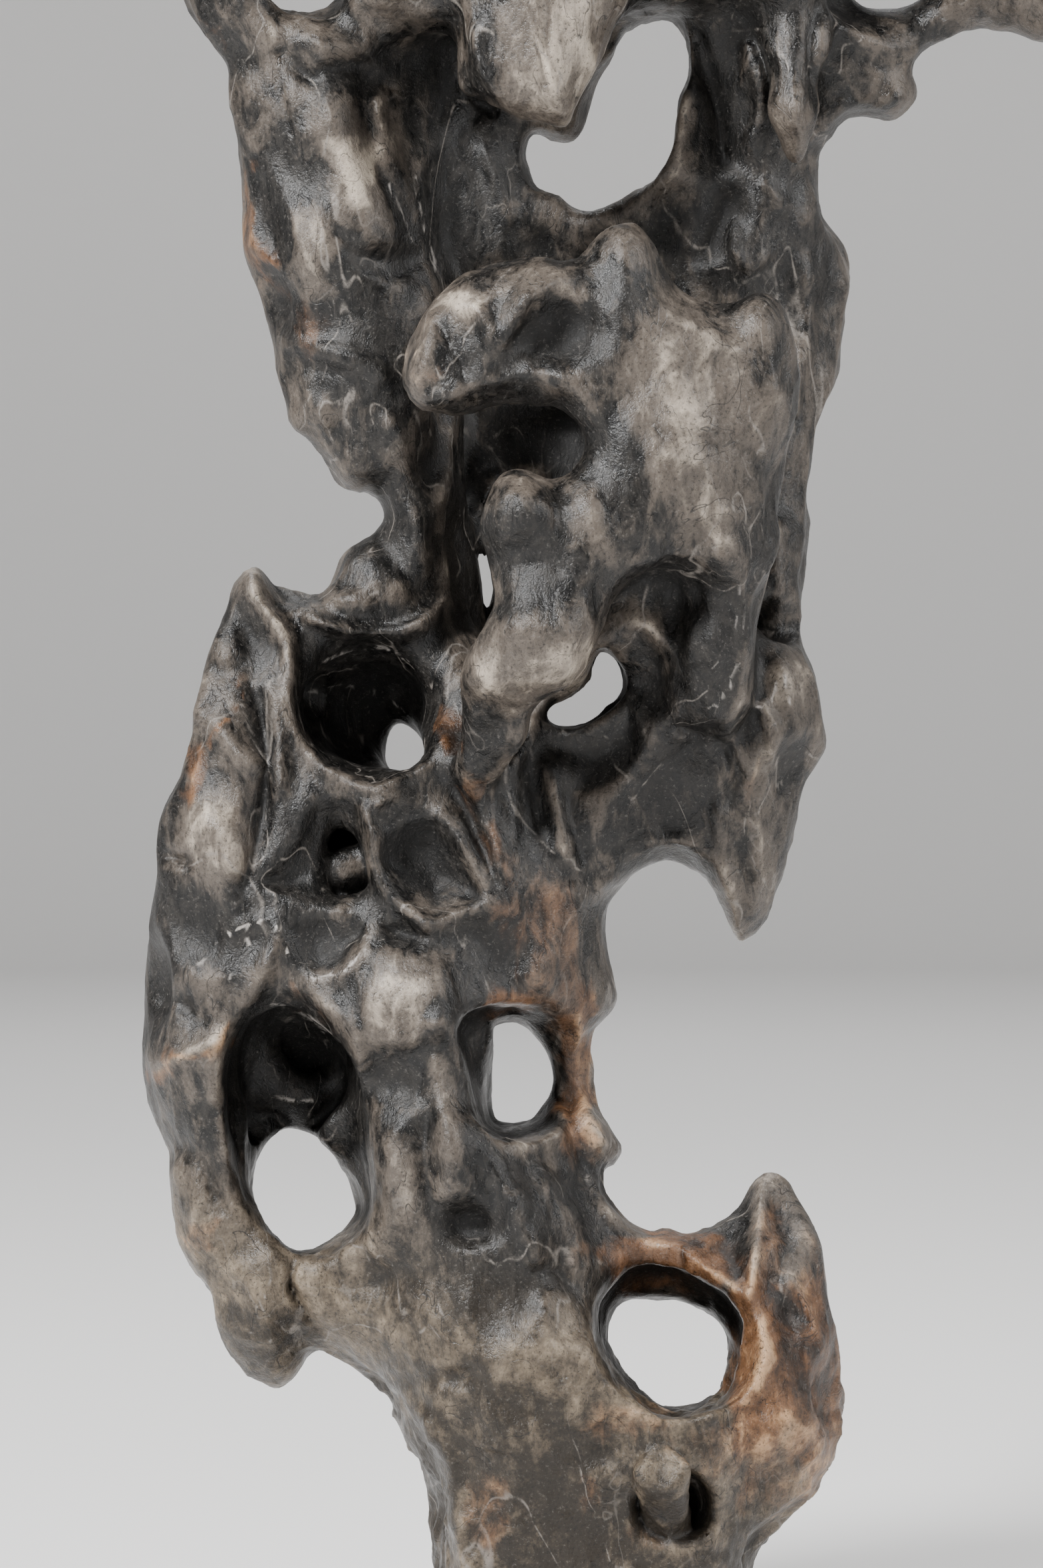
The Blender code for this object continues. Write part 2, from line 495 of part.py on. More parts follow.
# Folds on the front, each a chain of (x, z, width, lift); a lift below zero is a crease.
FRONT_FOLDS = [
    # Left column
    [(-81, 608, 4, 2), (-79, 597, 4, 4), (-76, 585, 5, 5), (-72, 574, 5, 5), (-67, 562, 5, 3),
     (-64, 550, 5, 2)],
    [(-86, 604, 4, -2), (-84, 592, 4, -3), (-82, 580, 4, -3), (-78, 569, 4, -3), (-73, 560, 4, -2)],
    [(-99, 600, 6, 3), (-95, 588, 8, 5.5), (-90, 576, 9, 7), (-84, 566, 8, 3)],
    [(-52, 595, 4, 2), (-57, 585, 5, 3.5), (-63, 575, 5, 4.5), (-65, 566, 5, 3.5), (-62, 546, 5, 2),
     (-58, 534, 5, 2)],
    [(-146, 632, 5, 3), (-130, 606, 7, 4), (-126, 585, 6, 4), (-112, 560, 6, 4), (-108, 540, 6, 3)],
    [(-116, 620, 4, -3), (-107, 611, 4, -5), (-104, 610, 4, -5)],
    [(-112, 632, 5, 3), (-100, 622, 5, 4), (-88, 622, 5, 4), (-76, 626, 5, 3)],
    [(-128, 546, 4, 3), (-121, 540, 4, 5), (-116, 532, 4, 3)],
    [(-114, 511, 4, 3), (-100, 508, 4, 5), (-88, 505, 4, 5), (-78, 499, 4, 3)],
    [(-108, 496, 4, 3), (-102, 484, 4, 5), (-98, 472, 4, 3)],
    [(-95, 470, 6, 3), (-91, 462, 7, 5.5), (-84, 458, 6, 4)],
    [(-76, 481, 4, 3), (-72, 478, 4, 3)],
    [(-52, 478, 3, 5), (-53, 465, 3, 6.5), (-54, 455, 3, 5), (-56, 446, 3, 3), (-55, 436, 3, 5),
     (-54, 414, 3, 5)],
    [(-72, 450, 5, 3), (-64, 440, 6, 4), (-60, 428, 6, 3)],
    [(-84, 440, 5, -3), (-74, 432, 5, -4), (-66, 418, 5, -3)],
    # Finger and the mass behind it
    [(-46, 640, 3, 3), (-44, 626, 3, 5), (-42, 615, 3, 5), (-37, 606, 3, 5), (-32, 601, 3, 3)],
    [(-50, 632, 4, -5), (-48, 618, 4, -6.5), (-46, 606, 4, -6.5), (-38, 598, 4, -5)],
    [(-22, 640, 13, 4), (-17, 614, 10, 5.5), (-12, 598, 6, 4)],
    [(40, 626, 4, -5), (44, 610, 5, -7), (48, 595, 5, -7), (50, 580, 5, -5.5)],
    [(59, 622, 3, 5), (63, 610, 4, 6.5), (64, 596, 3, 5), (60, 584, 3, 3)],
    [(66, 570, 3, 5), (71, 564, 3, 5)],
    [(54, 556, 2.5, 3), (54, 546, 2.5, 5), (58, 539, 2.5, 5), (64, 542, 2.5, 3)],
    [(34, 590, 4, 3), (28, 574, 5, 4), (16, 562, 6, 4), (0, 556, 5, 3)],
    [(76, 616, 3, 3), (77, 600, 4, 5), (79, 587, 5, 5.5)],
    [(88, 590, 3, 3), (95, 600, 3, 5), (108, 601, 3, 5), (118, 603, 3, 3)],
    [(84, 636, 4, -5), (82, 616, 3, -5), (84, 600, 3, -3)],
    [(92, 632, 4, 5), (110, 622, 5, 4), (124, 620, 5, 3)],
    [(-44, 596, 4, -3), (-40, 584, 4, 3), (-34, 570, 4, 5), (-30, 558, 4, 3)],
    [(80, 540, 4, 3), (82, 515, 4, 5), (76, 490, 4, 5), (70, 470, 4, 3)],
    [(70, 440, 5, 3), (72, 420, 5, 4), (69, 400, 5, 4)],
    # Arm
    [(-63, 528, 4, 3), (-60, 518, 4, 5), (-62, 508, 5, 5.5), (-66, 498, 5, 5.5), (-65, 490, 5, 4),
     (-58, 486, 4, 3)],
    [(-50, 525, 5, 3), (-43, 524, 4, 5), (-38, 516, 3.5, 5), (-38, 505, 3.5, 4), (-42, 498, 4, 2)],
    [(-4, 538, 4, 3), (-16, 534, 4, 5), (-25, 526, 4, 6), (-31, 516, 3.5, 5), (-34, 506, 3.5, 2)],
    [(-62, 489, 4, 3), (-50, 491, 5, 4), (-38, 496, 5, 5), (-24, 499, 5, 5), (-12, 497, 5, 5),
     (-3, 490, 5, 4),
     (2, 482, 4, 2)],
    # Front plate
    [(12, 553, 6, 3), (14, 537, 7, 4), (13, 520, 8, 3), (9, 502, 8, 2)],
    [(20, 548, 5, 3), (22, 530, 6, 3), (30, 521, 5, 4), (40, 516, 4, 5), (48, 510, 4, 5),
     (54, 508, 4, 3)],
    [(66, 522, 4, 3), (68, 508, 4, 3), (70, 492, 4, 5), (67, 476, 4, 3)],
    [(30, 504, 15, 4), (32, 480, 15, 4), (30, 460, 14, 3)],
    [(58, 470, 5, -3), (56, 450, 5, -3), (57, 434, 5, -1.5)],
    [(-3, 453, 5, 2), (3, 440, 5, 2), (8, 429, 5, 1.5)],
    [(-13, 458, 5, -4), (-12, 446, 5, -2), (-14, 434, 6, -1)],
    [(35, 444, 3, 3), (42, 446, 3, 3)],
    [(50, 448, 3, 3), (56, 446, 3, 3)],
    [(0, 404, 3, 3), (6, 416, 3, 3), (16, 427, 3, 5), (32, 431, 3, 5), (48, 431, 3, 3)],
    # Knob and lobe
    [(-45, 394, 6, 1.5), (-36, 401, 6, 2), (-24, 405, 6, 2), (-12, 404, 6, 2), (-2, 399, 5, 1.5)],
    [(-47, 384, 5, 2), (-34, 381, 6, 1), (-20, 382, 6, 2), (-6, 388, 5, 3)],
    # Recess and ribs under the lobe
    [(-58, 367, 5, 4), (-54, 358, 5, 5), (-48, 348, 5, 6), (-42, 337, 5, 6), (-37, 325, 5, 5),
     (-34, 312, 5, 3)],
    [(-22, 370, 4, 3), (-27, 360, 4, 5), (-30, 351, 4, 6), (-31, 342, 5, 6), (-30, 332, 5, 5),
     (-29, 320, 5, 3)],
    [(-22, 356, 5, -3), (-22, 344, 5, -4), (-20, 330, 5, -3)],
    [(-16, 352, 4, 3), (-14, 343, 4, 5), (-12, 333, 4, 6.5), (-10, 323, 4, 6.5), (-6, 314, 4, 3)],
    [(-8, 342, 4, -2.5), (-7, 330, 4, -3), (-4, 320, 4, -2)],
    [(-51, 343, 4, -4), (-45, 332, 4, -5), (-40, 320, 4, -5), (-36, 308, 4, -3)],
    [(-56, 333, 4, 3), (-50, 326, 4, 5), (-45, 317, 4, 5), (-41, 308, 4, 4), (-37, 299, 4, 2)],
    [(-30, 300, 7, 2), (-22, 284, 7, 3), (-16, 268, 6, 3), (-10, 256, 5, 2)],
    [(-42, 288, 6, -3), (-34, 277, 6, -4), (-28, 268, 5, -2)],
    # Round the middle window
    [(14, 407, 3, 2), (22, 405, 3, 3), (28, 398, 4, 4), (31, 388, 4, 4), (33, 376, 4, 4),
     (30, 368, 4, 2)],
    [(24, 367, 4, 3), (21, 356, 5, 3), (15, 347, 5, 2)],
    [(36, 424, 3, 3), (38, 408, 4, 5), (37, 392, 4, 6.5)],
    [(46, 424, 9, 3), (46, 404, 9, 4), (46, 384, 8, 4)],
    [(39, 384, 6, 5.5), (45, 376, 6, 7)],
    [(34, 366, 2.5, -5), (40, 364.5, 2.5, -6.5), (46, 366, 2.5, -5)],
    [(57, 422, 3, 3), (58, 400, 3, 5), (57, 380, 3, 3)],
    [(58, 377, 3, 3), (65, 374, 3, 5), (69, 364, 3, 6.5), (68, 352, 3, 5), (64, 340, 3, 3)],
    [(72, 392, 6, 4), (75, 376, 7, 5.5), (78, 362, 6, 4)],
    [(52, 358, 3, -5), (56, 348, 3, -5), (52, 338, 3, -3)],
    [(4, 306, 4, 3), (12, 317, 4, 5), (23, 323, 4, 5), (35, 323, 4, 5), (45, 317, 4, 5), (51, 307, 4, 3)],
    [(48, 334, 4, 3), (50, 318, 4, 3), (52, 306, 4, 6.5), (55, 292, 3, 6.5)],
    [(62, 330, 5, 3), (64, 312, 5, 4), (60, 296, 4, 3)],
    # Horn and the left mouth
    [(-128, 425, 3, 5), (-126, 416, 3, 6.5), (-120, 408, 4, 9.5), (-114, 399, 4, 8), (-113, 388, 4, 8),
     (-113, 376, 4, 8), (-110, 364, 4, 8), (-104, 356, 4, 8), (-97, 350, 4, 6.5)],
    [(-132, 412, 6, -1.5), (-128, 400, 6, -4), (-126, 390, 6, -4)],
    [(-128, 384, 4, -3), (-124, 373, 4, -5), (-122, 360, 4, -6), (-122, 345, 4, -6), (-124, 330, 4, -6),
     (-127, 318, 4, -5), (-131, 306, 4, -3)],
    [(-119, 378, 3, 3), (-117, 360, 4, 5), (-117, 344, 4, 3)],
    [(-112, 411, 3, 3), (-104, 407, 3, 6.5), (-94, 403, 3, 8), (-82, 402, 3, 8), (-71, 402, 3, 8),
     (-62, 406, 3, 6.5), (-55, 413, 3, 6.5), (-50, 412, 3, 3)],
    [(-100, 416, 4, 3), (-92, 414, 4, 5), (-84, 412, 4, 3)],
    [(-97, 351, 3, 5), (-88, 345, 4, 8), (-80, 343, 4, 8), (-72, 348, 4, 8), (-62, 353, 4, 6.5),
     (-55, 363, 3, 3)],
    [(-80, 337, 2.5, 3), (-73, 341, 2.5, 3)],
    [(-150, 346, 7, 3), (-143, 330, 9, 5.5), (-138, 316, 9, 7), (-137, 304, 7, 3)],
    [(-158, 318, 2.5, -3), (-152, 316, 2.5, -5)],
    [(-146, 392, 5, -3), (-138, 386, 5, -4), (-132, 390, 4, -3)],
    [(-148, 372, 5, 3), (-140, 366, 5, 4), (-132, 356, 5, 4), (-124, 352, 4, 5)],
    # Wall between the slot and the bowl, and the rim below them
    [(-85, 336, 3, 5), (-82, 326, 3, 8), (-82, 316, 3, 8), (-79, 308, 3, 8), (-72, 300, 3, 6.5),
     (-62, 293, 3, 5)],
    [(-138, 289, 3, 1), (-128, 293, 3, 2), (-120, 294, 3, 2), (-116, 288, 3, 2), (-113, 279, 4, 2.5),
     (-107, 273, 4, 2.5), (-99, 271, 4, 2.5), (-91, 275, 4, 2.5), (-85, 282, 4, 2.5), (-80, 289, 4, 2)],
    [(-119, 288, 3, 1.5), (-122, 276, 4, 5), (-128, 264, 4, 3)],
    [(-60, 292, 4, 5), (-50, 296, 4, 5), (-40, 299, 4, 3)],
    # Plateau
    [(-88, 281, 5, 2), (-76, 280, 6, 3), (-63, 279, 5, 2)],
    [(-89, 254, 5, 2), (-80, 249.5, 5, 4), (-70, 248.5, 5, 4.5), (-60, 251, 4, 4)],
    [(-60, 255, 3.5, 6), (-57.5, 254.5, 3.5, 6)],
    [(-55, 258, 3, 3), (-52, 248, 3, 6.5), (-49, 238, 3, 5), (-44, 226, 3, 5), (-39, 214, 3, 3)],
    [(-47, 256, 3, 3), (-41, 263, 3, 5), (-30, 264, 3, 5), (-19, 260, 3, 3)],
    # Round the low left mouth
    [(-113, 268, 4, 3), (-104, 266, 4, 6.5), (-96, 259, 4, 9.5), (-90, 251, 4, 8), (-87, 242, 4, 6.5),
     (-86, 232, 3, 5)],
    [(-128, 264, 5, 3), (-138, 253, 5, 4), (-141, 240, 5, 5.5), (-139, 222, 5, 5.5), (-136, 206, 5, 5.5),
     (-130, 194, 4, 5), (-124, 182, 4, 5), (-116, 172, 4, 6.5), (-106, 167, 4, 6.5), (-96, 171, 4, 5),
     (-88, 180, 4, 5)],
    [(-148, 222, 4, -1.5), (-142, 221, 4, -3)],
    [(-159, 217, 3, -5), (-155, 209, 3, -6.5)],
    [(-163, 240, 3, 3), (-152, 244, 3, 5), (-141, 248, 3, 5)],
    [(-154, 200, 5, 3), (-150, 184, 5, 4), (-146, 172, 5, 3)],
    [(-146, 206, 3, -3), (-142, 192, 3, -5), (-138, 184, 3, -3)],
    [(-130, 160, 7, 3), (-124, 147, 8, 4), (-120, 134, 7, 4)],
    [(-112, 168, 2.5, -5), (-113, 156, 2.5, -6.5), (-107, 147, 2.5, -5), (-102, 140, 2.5, -3)],
    [(-160, 266, 4, -3), (-152, 262, 4, -5), (-146, 256, 4, -3)],
    # Column between the low openings
    [(-59, 241, 4, 3), (-56, 228, 4, 5), (-53, 215, 5, 7), (-50, 202, 6, 6), (-48, 192, 6, 3)],
    [(-63, 216, 4, -3), (-62, 200, 4, -4), (-60, 187, 4, -4)],
    [(-45, 218, 4, 2), (-39, 206, 4, 4), (-34, 196, 4, 4), (-28, 186, 4, 4), (-24, 172, 4, 2)],
    [(-42, 200, 4, -3), (-36, 188, 4, -3)],
    [(-76, 208, 7, 3), (-74, 190, 8, 4), (-76, 172, 7, 3)],
    [(-22, 176, 3, 3), (-21, 166, 3, 5)],
    [(-17, 151, 5, 5.5), (-17, 146, 4, 5)],
    [(-24, 198, 4, -3), (-15, 181, 4, -4), (-10, 163, 4, -4), (-4, 149, 4, -2)],
    [(-17, 196, 5, 3), (-8, 180, 5, 4), (-2, 164, 5, 3)],
    [(-37, 213, 3, 5), (-28, 209, 3, 8), (-20, 209, 3, 8), (-12, 214, 3, 6.5)],
    [(-5, 258, 3, 3), (-4, 244, 3, 6.5), (-3, 232, 3, 6.5), (0, 220, 3, 6.5), (5, 211, 3, 6.5)],
    [(-9, 238, 3, -3), (-8, 222, 3, -5), (-5, 208, 3, -6.5), (-2, 196, 3, -3)],
    # Ring and its horn
    [(3, 195, 3, 5), (6, 186, 3, 8), (13, 178, 3, 9.5), (24, 173, 4, 9.5), (34, 171, 3, 9.5),
     (42, 164, 3, 9.5),
     (50, 158, 3, 9.5), (58, 153, 3, 6.5)],
    [(64, 195, 4, 5), (64, 184, 3, 8), (62, 172, 3, 9.5), (61, 160, 3, 9.5), (60, 153, 3, 6.5)],
    [(61, 150, 4, 6.5), (65, 140, 4, 9.5), (66, 130, 4, 9.5), (63, 120, 4, 8), (57, 113, 4, 6.5),
     (46, 109, 4, 5)],
    [(74, 160, 3, 3), (81, 150, 3, 6.5), (86, 138, 3, 6.5), (89, 124, 3, 5), (88, 112, 3, 3)],
    [(70, 188, 4, -3), (74, 172, 4, -5), (70, 158, 4, -3)],
    [(8, 116, 4, 3), (19, 108, 4, 6.5), (32, 107, 4, 8), (46, 108, 4, 6.5)],
    [(0, 134, 8, 4), (8, 120, 8, 4)],
    [(74, 106, 8, 4), (64, 92, 8, 5.5), (50, 82, 8, 3)],
    # Lower body
    [(-70, 116, 4, 3), (-61, 103, 4, 6.5), (-53, 90, 4, 6.5), (-51, 74, 4, 6.5), (-49, 58, 4, 5),
     (-48, 30, 5, 3)],
    [(-74, 106, 5, -7), (-66, 92, 5, -10), (-58, 76, 5, -10), (-56, 58, 5, -10), (-56, 30, 5, -7),
     (-60, 4, 5, -4)],
    [(-30, 40, 7, 4), (-24, 18, 8, 4), (-24, 2, 8, 3)],
    [(10, 44, 7, 3), (20, 24, 8, 4), (30, 6, 8, 3)],
    [(46, 60, 6, 3), (50, 40, 6, 4), (46, 16, 6, 3)],
    # Crown
    [(-130, 660, 7, 3), (-122, 684, 8, 5.5), (-104, 696, 8, 5.5), (-86, 716, 7, 3)],
    [(-60, 744, 8, 3), (-48, 712, 9, 5.5), (-34, 684, 9, 5.5), (-28, 656, 10, 4)],
    [(-10, 740, 7, 3), (2, 708, 8, 5.5), (14, 684, 8, 5.5), (12, 656, 8, 4)],
    [(60, 712, 7, 3), (56, 690, 8, 5.5), (66, 668, 8, 5.5), (72, 646, 7, 4)],
    [(106, 704, 7, 3), (130, 686, 8, 5.5), (160, 684, 7, 4)],
]
# Bowls: x, z, half width, half height, depth, lean; a bump where the depth is below zero.
FRONT_BOWLS = [
    (-86, 160, 14, 8, 5, 0), (-24, 288, 9, 14, 3, 0), (34, 410, 10, 14, 4, 0), (24, 338, 24, 10, 3, 0),
    (-148, 290, 10, 13, 4, 0), (-110, 440, 8, 8, 4, 0), (-132, 172, 8, 7, 3, 0),
    (-26, 112, 12, 6, 4, -20),
    (0, 96, 15, 8, 5, 0), (60, 86, 9, 8, 3, 0), (-32, 44, 12, 9, 4, 0), (20, 36, 12, 11, 4, 0),
    (-72, 690, 16, 15, 8, 20), (34, 696, 15, 14, 8, -10), (-16, 716, 10, 14, 6, 0),
    (-114, 684, 7, 9, 4, 0),
    (92, 690, 14, 10, 6, 0), (160, 664, 14, 9, 5, 0), (-22, 668, 8, 14, 5, 10), (-62, 652, 10, 14, 5, 0),
    (-14, 124, 8, 5, 3, 0), (-50, 122, 12, 4, 3, 0), (-42, 60, 9, 6, 4, 0), (-46, 268, 9, 8, 3, 0),
    (-28, 449, 13, 13, -9, 0), (-26, 429, 14, 6, 2.5, 0), (-12, 515, 15, 11, 12, 12),
    (-73, 264, 20, 13, -5, 0), (-76, 233, 11, 9, 4, 0), (-45, 180, 12, 7.5, 10, -8),
]
# Basins: depth, width of the wall, outline (x, z).
FRONT_BASINS = [
    (7, 5, [(-104, 615), (-97, 618), (-89, 621), (-80, 616), (-71, 607), (-76, 602), (-86, 601),
    (-96, 605)]),
    (5, 5, [(-128, 577), (-122, 574), (-117, 560), (-113, 545), (-118, 540), (-124, 545), (-128, 556)]),
    (5, 4, [(-98, 556), (-90, 550), (-78, 549), (-68, 549), (-62, 542), (-66, 532), (-80, 534),
    (-92, 540)]),
    (5, 5, [(-66, 474), (-58, 476), (-56, 464), (-57, 452), (-64, 453), (-68, 462)]),
    (8, 7, [(42, 566), (50, 572), (60, 569), (62, 556), (56, 546), (46, 539), (36, 540), (36, 552)]),
    (5, 8, [(-50, 368), (-44, 372), (-34, 372), (-28, 370), (-30, 362), (-36, 353), (-41, 347),
    (-46, 352)]),
    (9, 7, [(20, 368), (21, 358), (14, 348), (4, 341), (-6, 340), (-12, 350), (-20, 352), (-22, 362),
    (-16, 368),
            (-4, 366), (8, 372), (14, 382)]),
    (12, 8, [(-127, 309), (-119, 317), (-112, 328), (-107, 337), (-98, 342), (-89, 340), (-84, 333),
    (-83, 318),
             (-81, 308), (-84, 300), (-96, 297), (-110, 299), (-120, 303)]),
    (6, 6, [(-114, 292), (-104, 297), (-92, 296), (-82, 291), (-86, 281), (-94, 274), (-104, 273),
    (-111, 279)]),
    (20, 14, [(-81, 318), (-77, 327), (-69, 332), (-58, 334), (-50, 327), (-44, 317), (-38, 304),
    (-42, 299),
              (-50, 297), (-60, 293), (-70, 301), (-78, 309)]),
    (8, 5, [(-79, 293), (-70, 294), (-62, 290), (-61, 286), (-68, 283.5), (-77, 285)]),
    (6, 3, [(-25, 157), (-20, 165), (-12, 163), (-10, 157), (-14, 160), (-20, 160)]),
    (6, 4, [(37, 172), (44, 176), (54, 179), (58, 172), (57, 161), (50, 161), (43, 166)]),
    (5, 4, [(70, 150), (74, 152), (78, 144), (82, 132), (83, 120), (79, 114), (75, 119), (72, 130),
    (69, 140)]),
]
LEFT_SPINES = [
    [(-22, 400, 8, 7), (-24, 350, 9, 9), (-6, 300, 9, 9), (6, 250, 9, 9), (-8, 200, 8, 7),
     (-14, 150, 8, 7)],
    [(24, 350, 7, 7), (30, 290, 8, 7), (26, 230, 7, 7)],
    [(-10, 640, 8, 7), (-4, 590, 8, 9), (16, 540, 8, 7), (12, 500, 8, 7)],
    [(36, 120, 9, 7), (20, 80, 9, 9), (-10, 50, 9, 7), (-24, 14, 9, 5.5)],
]
LEFT_HOLLOWS = [
    (14, 320, 12, 20, 10, 0), (-22, 270, 9, 16, 9, 0), (22, 190, 10, 14, 9, 0), (20, 590, 12, 18, 10, 0),
    (-12, 530, 8, 12, 8, 0), (24, 100, 12, 12, 10, 0), (-26, 74, 12, 12, 9, 0), (6, 24, 14, 10, 8, 0),
    (8, 676, 12, 8, 8, 0), (44, 480, 10, 16, 9, 0), (38, 560, 8, 16, 9, 0),
]
RIGHT_SPINES = [
    [(24, 560, 9, 9), (40, 520, 9, 9), (30, 470, 9, 9), (14, 430, 8, 9), (0, 380, 8, 9), (8, 330, 7, 7)],
    [(-20, 180, 8, 7), (-4, 150, 9, 9), (14, 118, 9, 9), (8, 84, 9, 9), (22, 46, 9, 7), (26, 8, 9, 5.5)],
    [(-60, 510, 6, 5.5), (-44, 470, 6, 7), (-50, 430, 6, 5.5)],
    [(14, 640, 7, 5.5), (30, 610, 7, 7)],
]
RIGHT_HOLLOWS = [
    (46, 480, 12, 16, 10, 0), (6, 490, 9, 14, 9, 0), (34, 400, 12, 18, 10, 0), (-14, 350, 9, 12, 8, 0),
    (24, 150, 12, 16, 10, 0), (-26, 116, 12, 14, 9, 0), (-16, 60, 14, 12, 9, 0), (30, 80, 10, 10, 8, 0),
    (4, 26, 12, 12, 8, 0), (4, 240, 10, 14, 6, 0), (18, 662, 9, 7, 6, 0),
]
TOP_HOLLOWS = [(-96, 8, 10, 14, 9, 0), (4, 10, 12, 14, 10, 0), (60, 20, 14, 12, 10, 0),
(150, 22, 10, 9, 8, 0)]
TOP_SPINES = [
    [(-130, 6, 7, 5.5), (-84, 18, 8, 7), (-40, 4, 9, 7), (10, -8, 8, 5.5)],
    [(30, 30, 8, 7), (90, 10, 8, 7), (130, 26, 7, 5.5), (170, 20, 6, 5.5)],
]
BACK_FOLDS = [
    # Crown
    [(-140, 660, 8, 4), (-120, 690, 8, 6), (-96, 700, 8, 7), (-70, 722, 8, 6), (-44, 736, 8, 4)],
    [(-70, 722, 7, 4), (-58, 690, 8, 8), (-62, 660, 8, 8), (-72, 634, 8, 6)],
    [(-20, 744, 8, 3), (-6, 712, 8, 7), (10, 688, 8, 9), (34, 676, 8, 9), (62, 684, 8, 7),
     (90, 700, 8, 4)],
    [(34, 676, 7, 6), (40, 648, 8, 8), (56, 624, 8, 8), (60, 596, 8, 6)],
    [(120, 690, 7, 4), (150, 678, 8, 6), (176, 664, 6, 4)],
    # Left column
    [(-124, 630, 8, 4), (-114, 596, 8, 8), (-118, 560, 8, 8), (-108, 524, 8, 8), (-98, 494, 7, 6),
     (-84, 470, 7, 5), (-74, 446, 6, 5)],
    [(-72, 632, 7, 6), (-66, 600, 7, 8), (-74, 566, 7, 8), (-66, 534, 7, 7), (-54, 506, 7, 5)],
    [(-114, 596, 6, 5), (-96, 584, 6, 7), (-74, 588, 6, 6)],
    # Rear mass
    [(86, 600, 7, 5), (76, 572, 8, 8), (84, 540, 8, 9), (74, 508, 8, 9), (80, 476, 7, 8), (72, 446, 7, 7),
     (74, 414, 7, 5)],
    [(-40, 548, 7, 5), (-14, 536, 8, 8), (14, 544, 8, 9), (42, 532, 8, 8), (72, 520, 7, 6)],
    [(14, 544, 7, 6), (20, 512, 8, 8), (6, 486, 8, 8), (-14, 466, 8, 5)],
    [(74, 508, 7, 6), (50, 492, 8, 8), (36, 462, 8, 9), (46, 432, 8, 8), (34, 404, 8, 8),
     (10, 386, 7, 5)],
    [(46, 432, 7, 5), (66, 418, 7, 7)],
    # Main body
    [(84, 380, 7, 4), (70, 352, 8, 8), (44, 344, 8, 8), (20, 356, 7, 7), (-6, 352, 7, 6)],
    [(70, 352, 7, 6), (66, 322, 7, 7), (60, 296, 5, 4)],
    [(-6, 352, 7, 5), (-30, 338, 8, 8), (-56, 350, 8, 9), (-84, 338, 8, 9), (-106, 316, 8, 8),
     (-130, 322, 8, 8),
     (-150, 342, 7, 5)],
    [(-84, 338, 7, 6), (-80, 308, 8, 8), (-92, 282, 8, 9), (-84, 256, 8, 8), (-64, 240, 8, 6)],
    [(-130, 322, 7, 6), (-142, 292, 8, 8), (-138, 260, 8, 8), (-150, 230, 8, 7), (-146, 196, 7, 7),
     (-138, 166, 7, 5)],
    [(-30, 338, 7, 6), (-26, 308, 8, 8), (-40, 284, 8, 8), (-34, 262, 7, 6)],
    [(-138, 260, 6, 5), (-116, 266, 7, 7), (-92, 282, 7, 6)],
    [(-26, 308, 6, 5), (-2, 300, 7, 6), (4, 280, 6, 5)],
    # Lower body
    [(-64, 240, 8, 6), (-70, 210, 8, 8), (-58, 182, 9, 9), (-64, 152, 9, 8), (-46, 128, 9, 8),
     (-48, 98, 9, 7),
     (-40, 70, 9, 6)],
    [(-58, 182, 7, 6), (-34, 168, 8, 8), (-12, 172, 8, 8), (6, 190, 7, 5)],
    [(-12, 172, 7, 6), (-8, 146, 8, 8), (8, 124, 8, 8), (30, 104, 8, 8), (54, 112, 8, 7), (74, 134, 8, 8),
     (80, 164, 7, 6), (70, 188, 6, 4)],
    [(30, 104, 7, 6), (22, 76, 8, 8), (34, 50, 8, 8), (24, 24, 8, 6), (30, 0, 8, 4)],
    [(-40, 70, 8, 6), (-20, 52, 8, 7), (-24, 24, 8, 6), (-20, 0, 8, 4)],
    [(54, 112, 6, 5), (62, 86, 7, 6), (50, 62, 7, 5)],
]
BACK_BASINS = [
    (14, 9, [(-50, 716), (-28, 720), (-16, 700), (-22, 672), (-44, 660), (-54, 684)]),
    (9, 8, [(-16, 660), (8, 668), (26, 656), (30, 640), (8, 638), (-12, 642)]),
    (12, 8, [(-108, 588), (-90, 578), (-80, 560), (-84, 534), (-100, 524), (-108, 548)]),
    (8, 7, [(-104, 624), (-86, 626), (-76, 606), (-84, 594), (-102, 600)]),
    (14, 9, [(-20, 520), (-2, 530), (10, 516), (-2, 492), (-22, 480), (-38, 496)]),
    (12, 8, [(32, 524), (56, 516), (62, 500), (44, 488), (28, 496)]),
    (12, 8, [(52, 478), (68, 470), (66, 440), (52, 440), (44, 460)]),
    (15, 9, [(-8, 458), (18, 472), (28, 446), (24, 416), (2, 404), (-14, 424)]),
    (9, 7, [(52, 404), (66, 402), (70, 376), (58, 366), (44, 376)]),
    (14, 9, [(-72, 330), (-50, 338), (-36, 320), (-46, 296), (-64, 282), (-76, 300)]),
    (13, 8, [(-124, 308), (-104, 304), (-98, 288), (-108, 274), (-128, 276), (-134, 292)]),
    (11, 8, [(-74, 274), (-52, 272), (-46, 252), (-60, 250), (-78, 256)]),
    (9, 7, [(-140, 376), (-126, 380), (-118, 352), (-130, 336), (-144, 348)]),
    (14, 9, [(-54, 170), (-34, 158), (-18, 158), (-20, 138), (-38, 132), (-54, 146)]),
    (12, 9, [(-36, 118), (-10, 128), (8, 110), (14, 86), (0, 66), (-24, 70), (-38, 92)]),
    (11, 8, [(40, 94), (54, 94), (54, 72), (38, 62), (30, 78)]),
    (10, 8, [(-12, 46), (12, 52), (20, 30), (8, 6), (-12, 12)]),
]
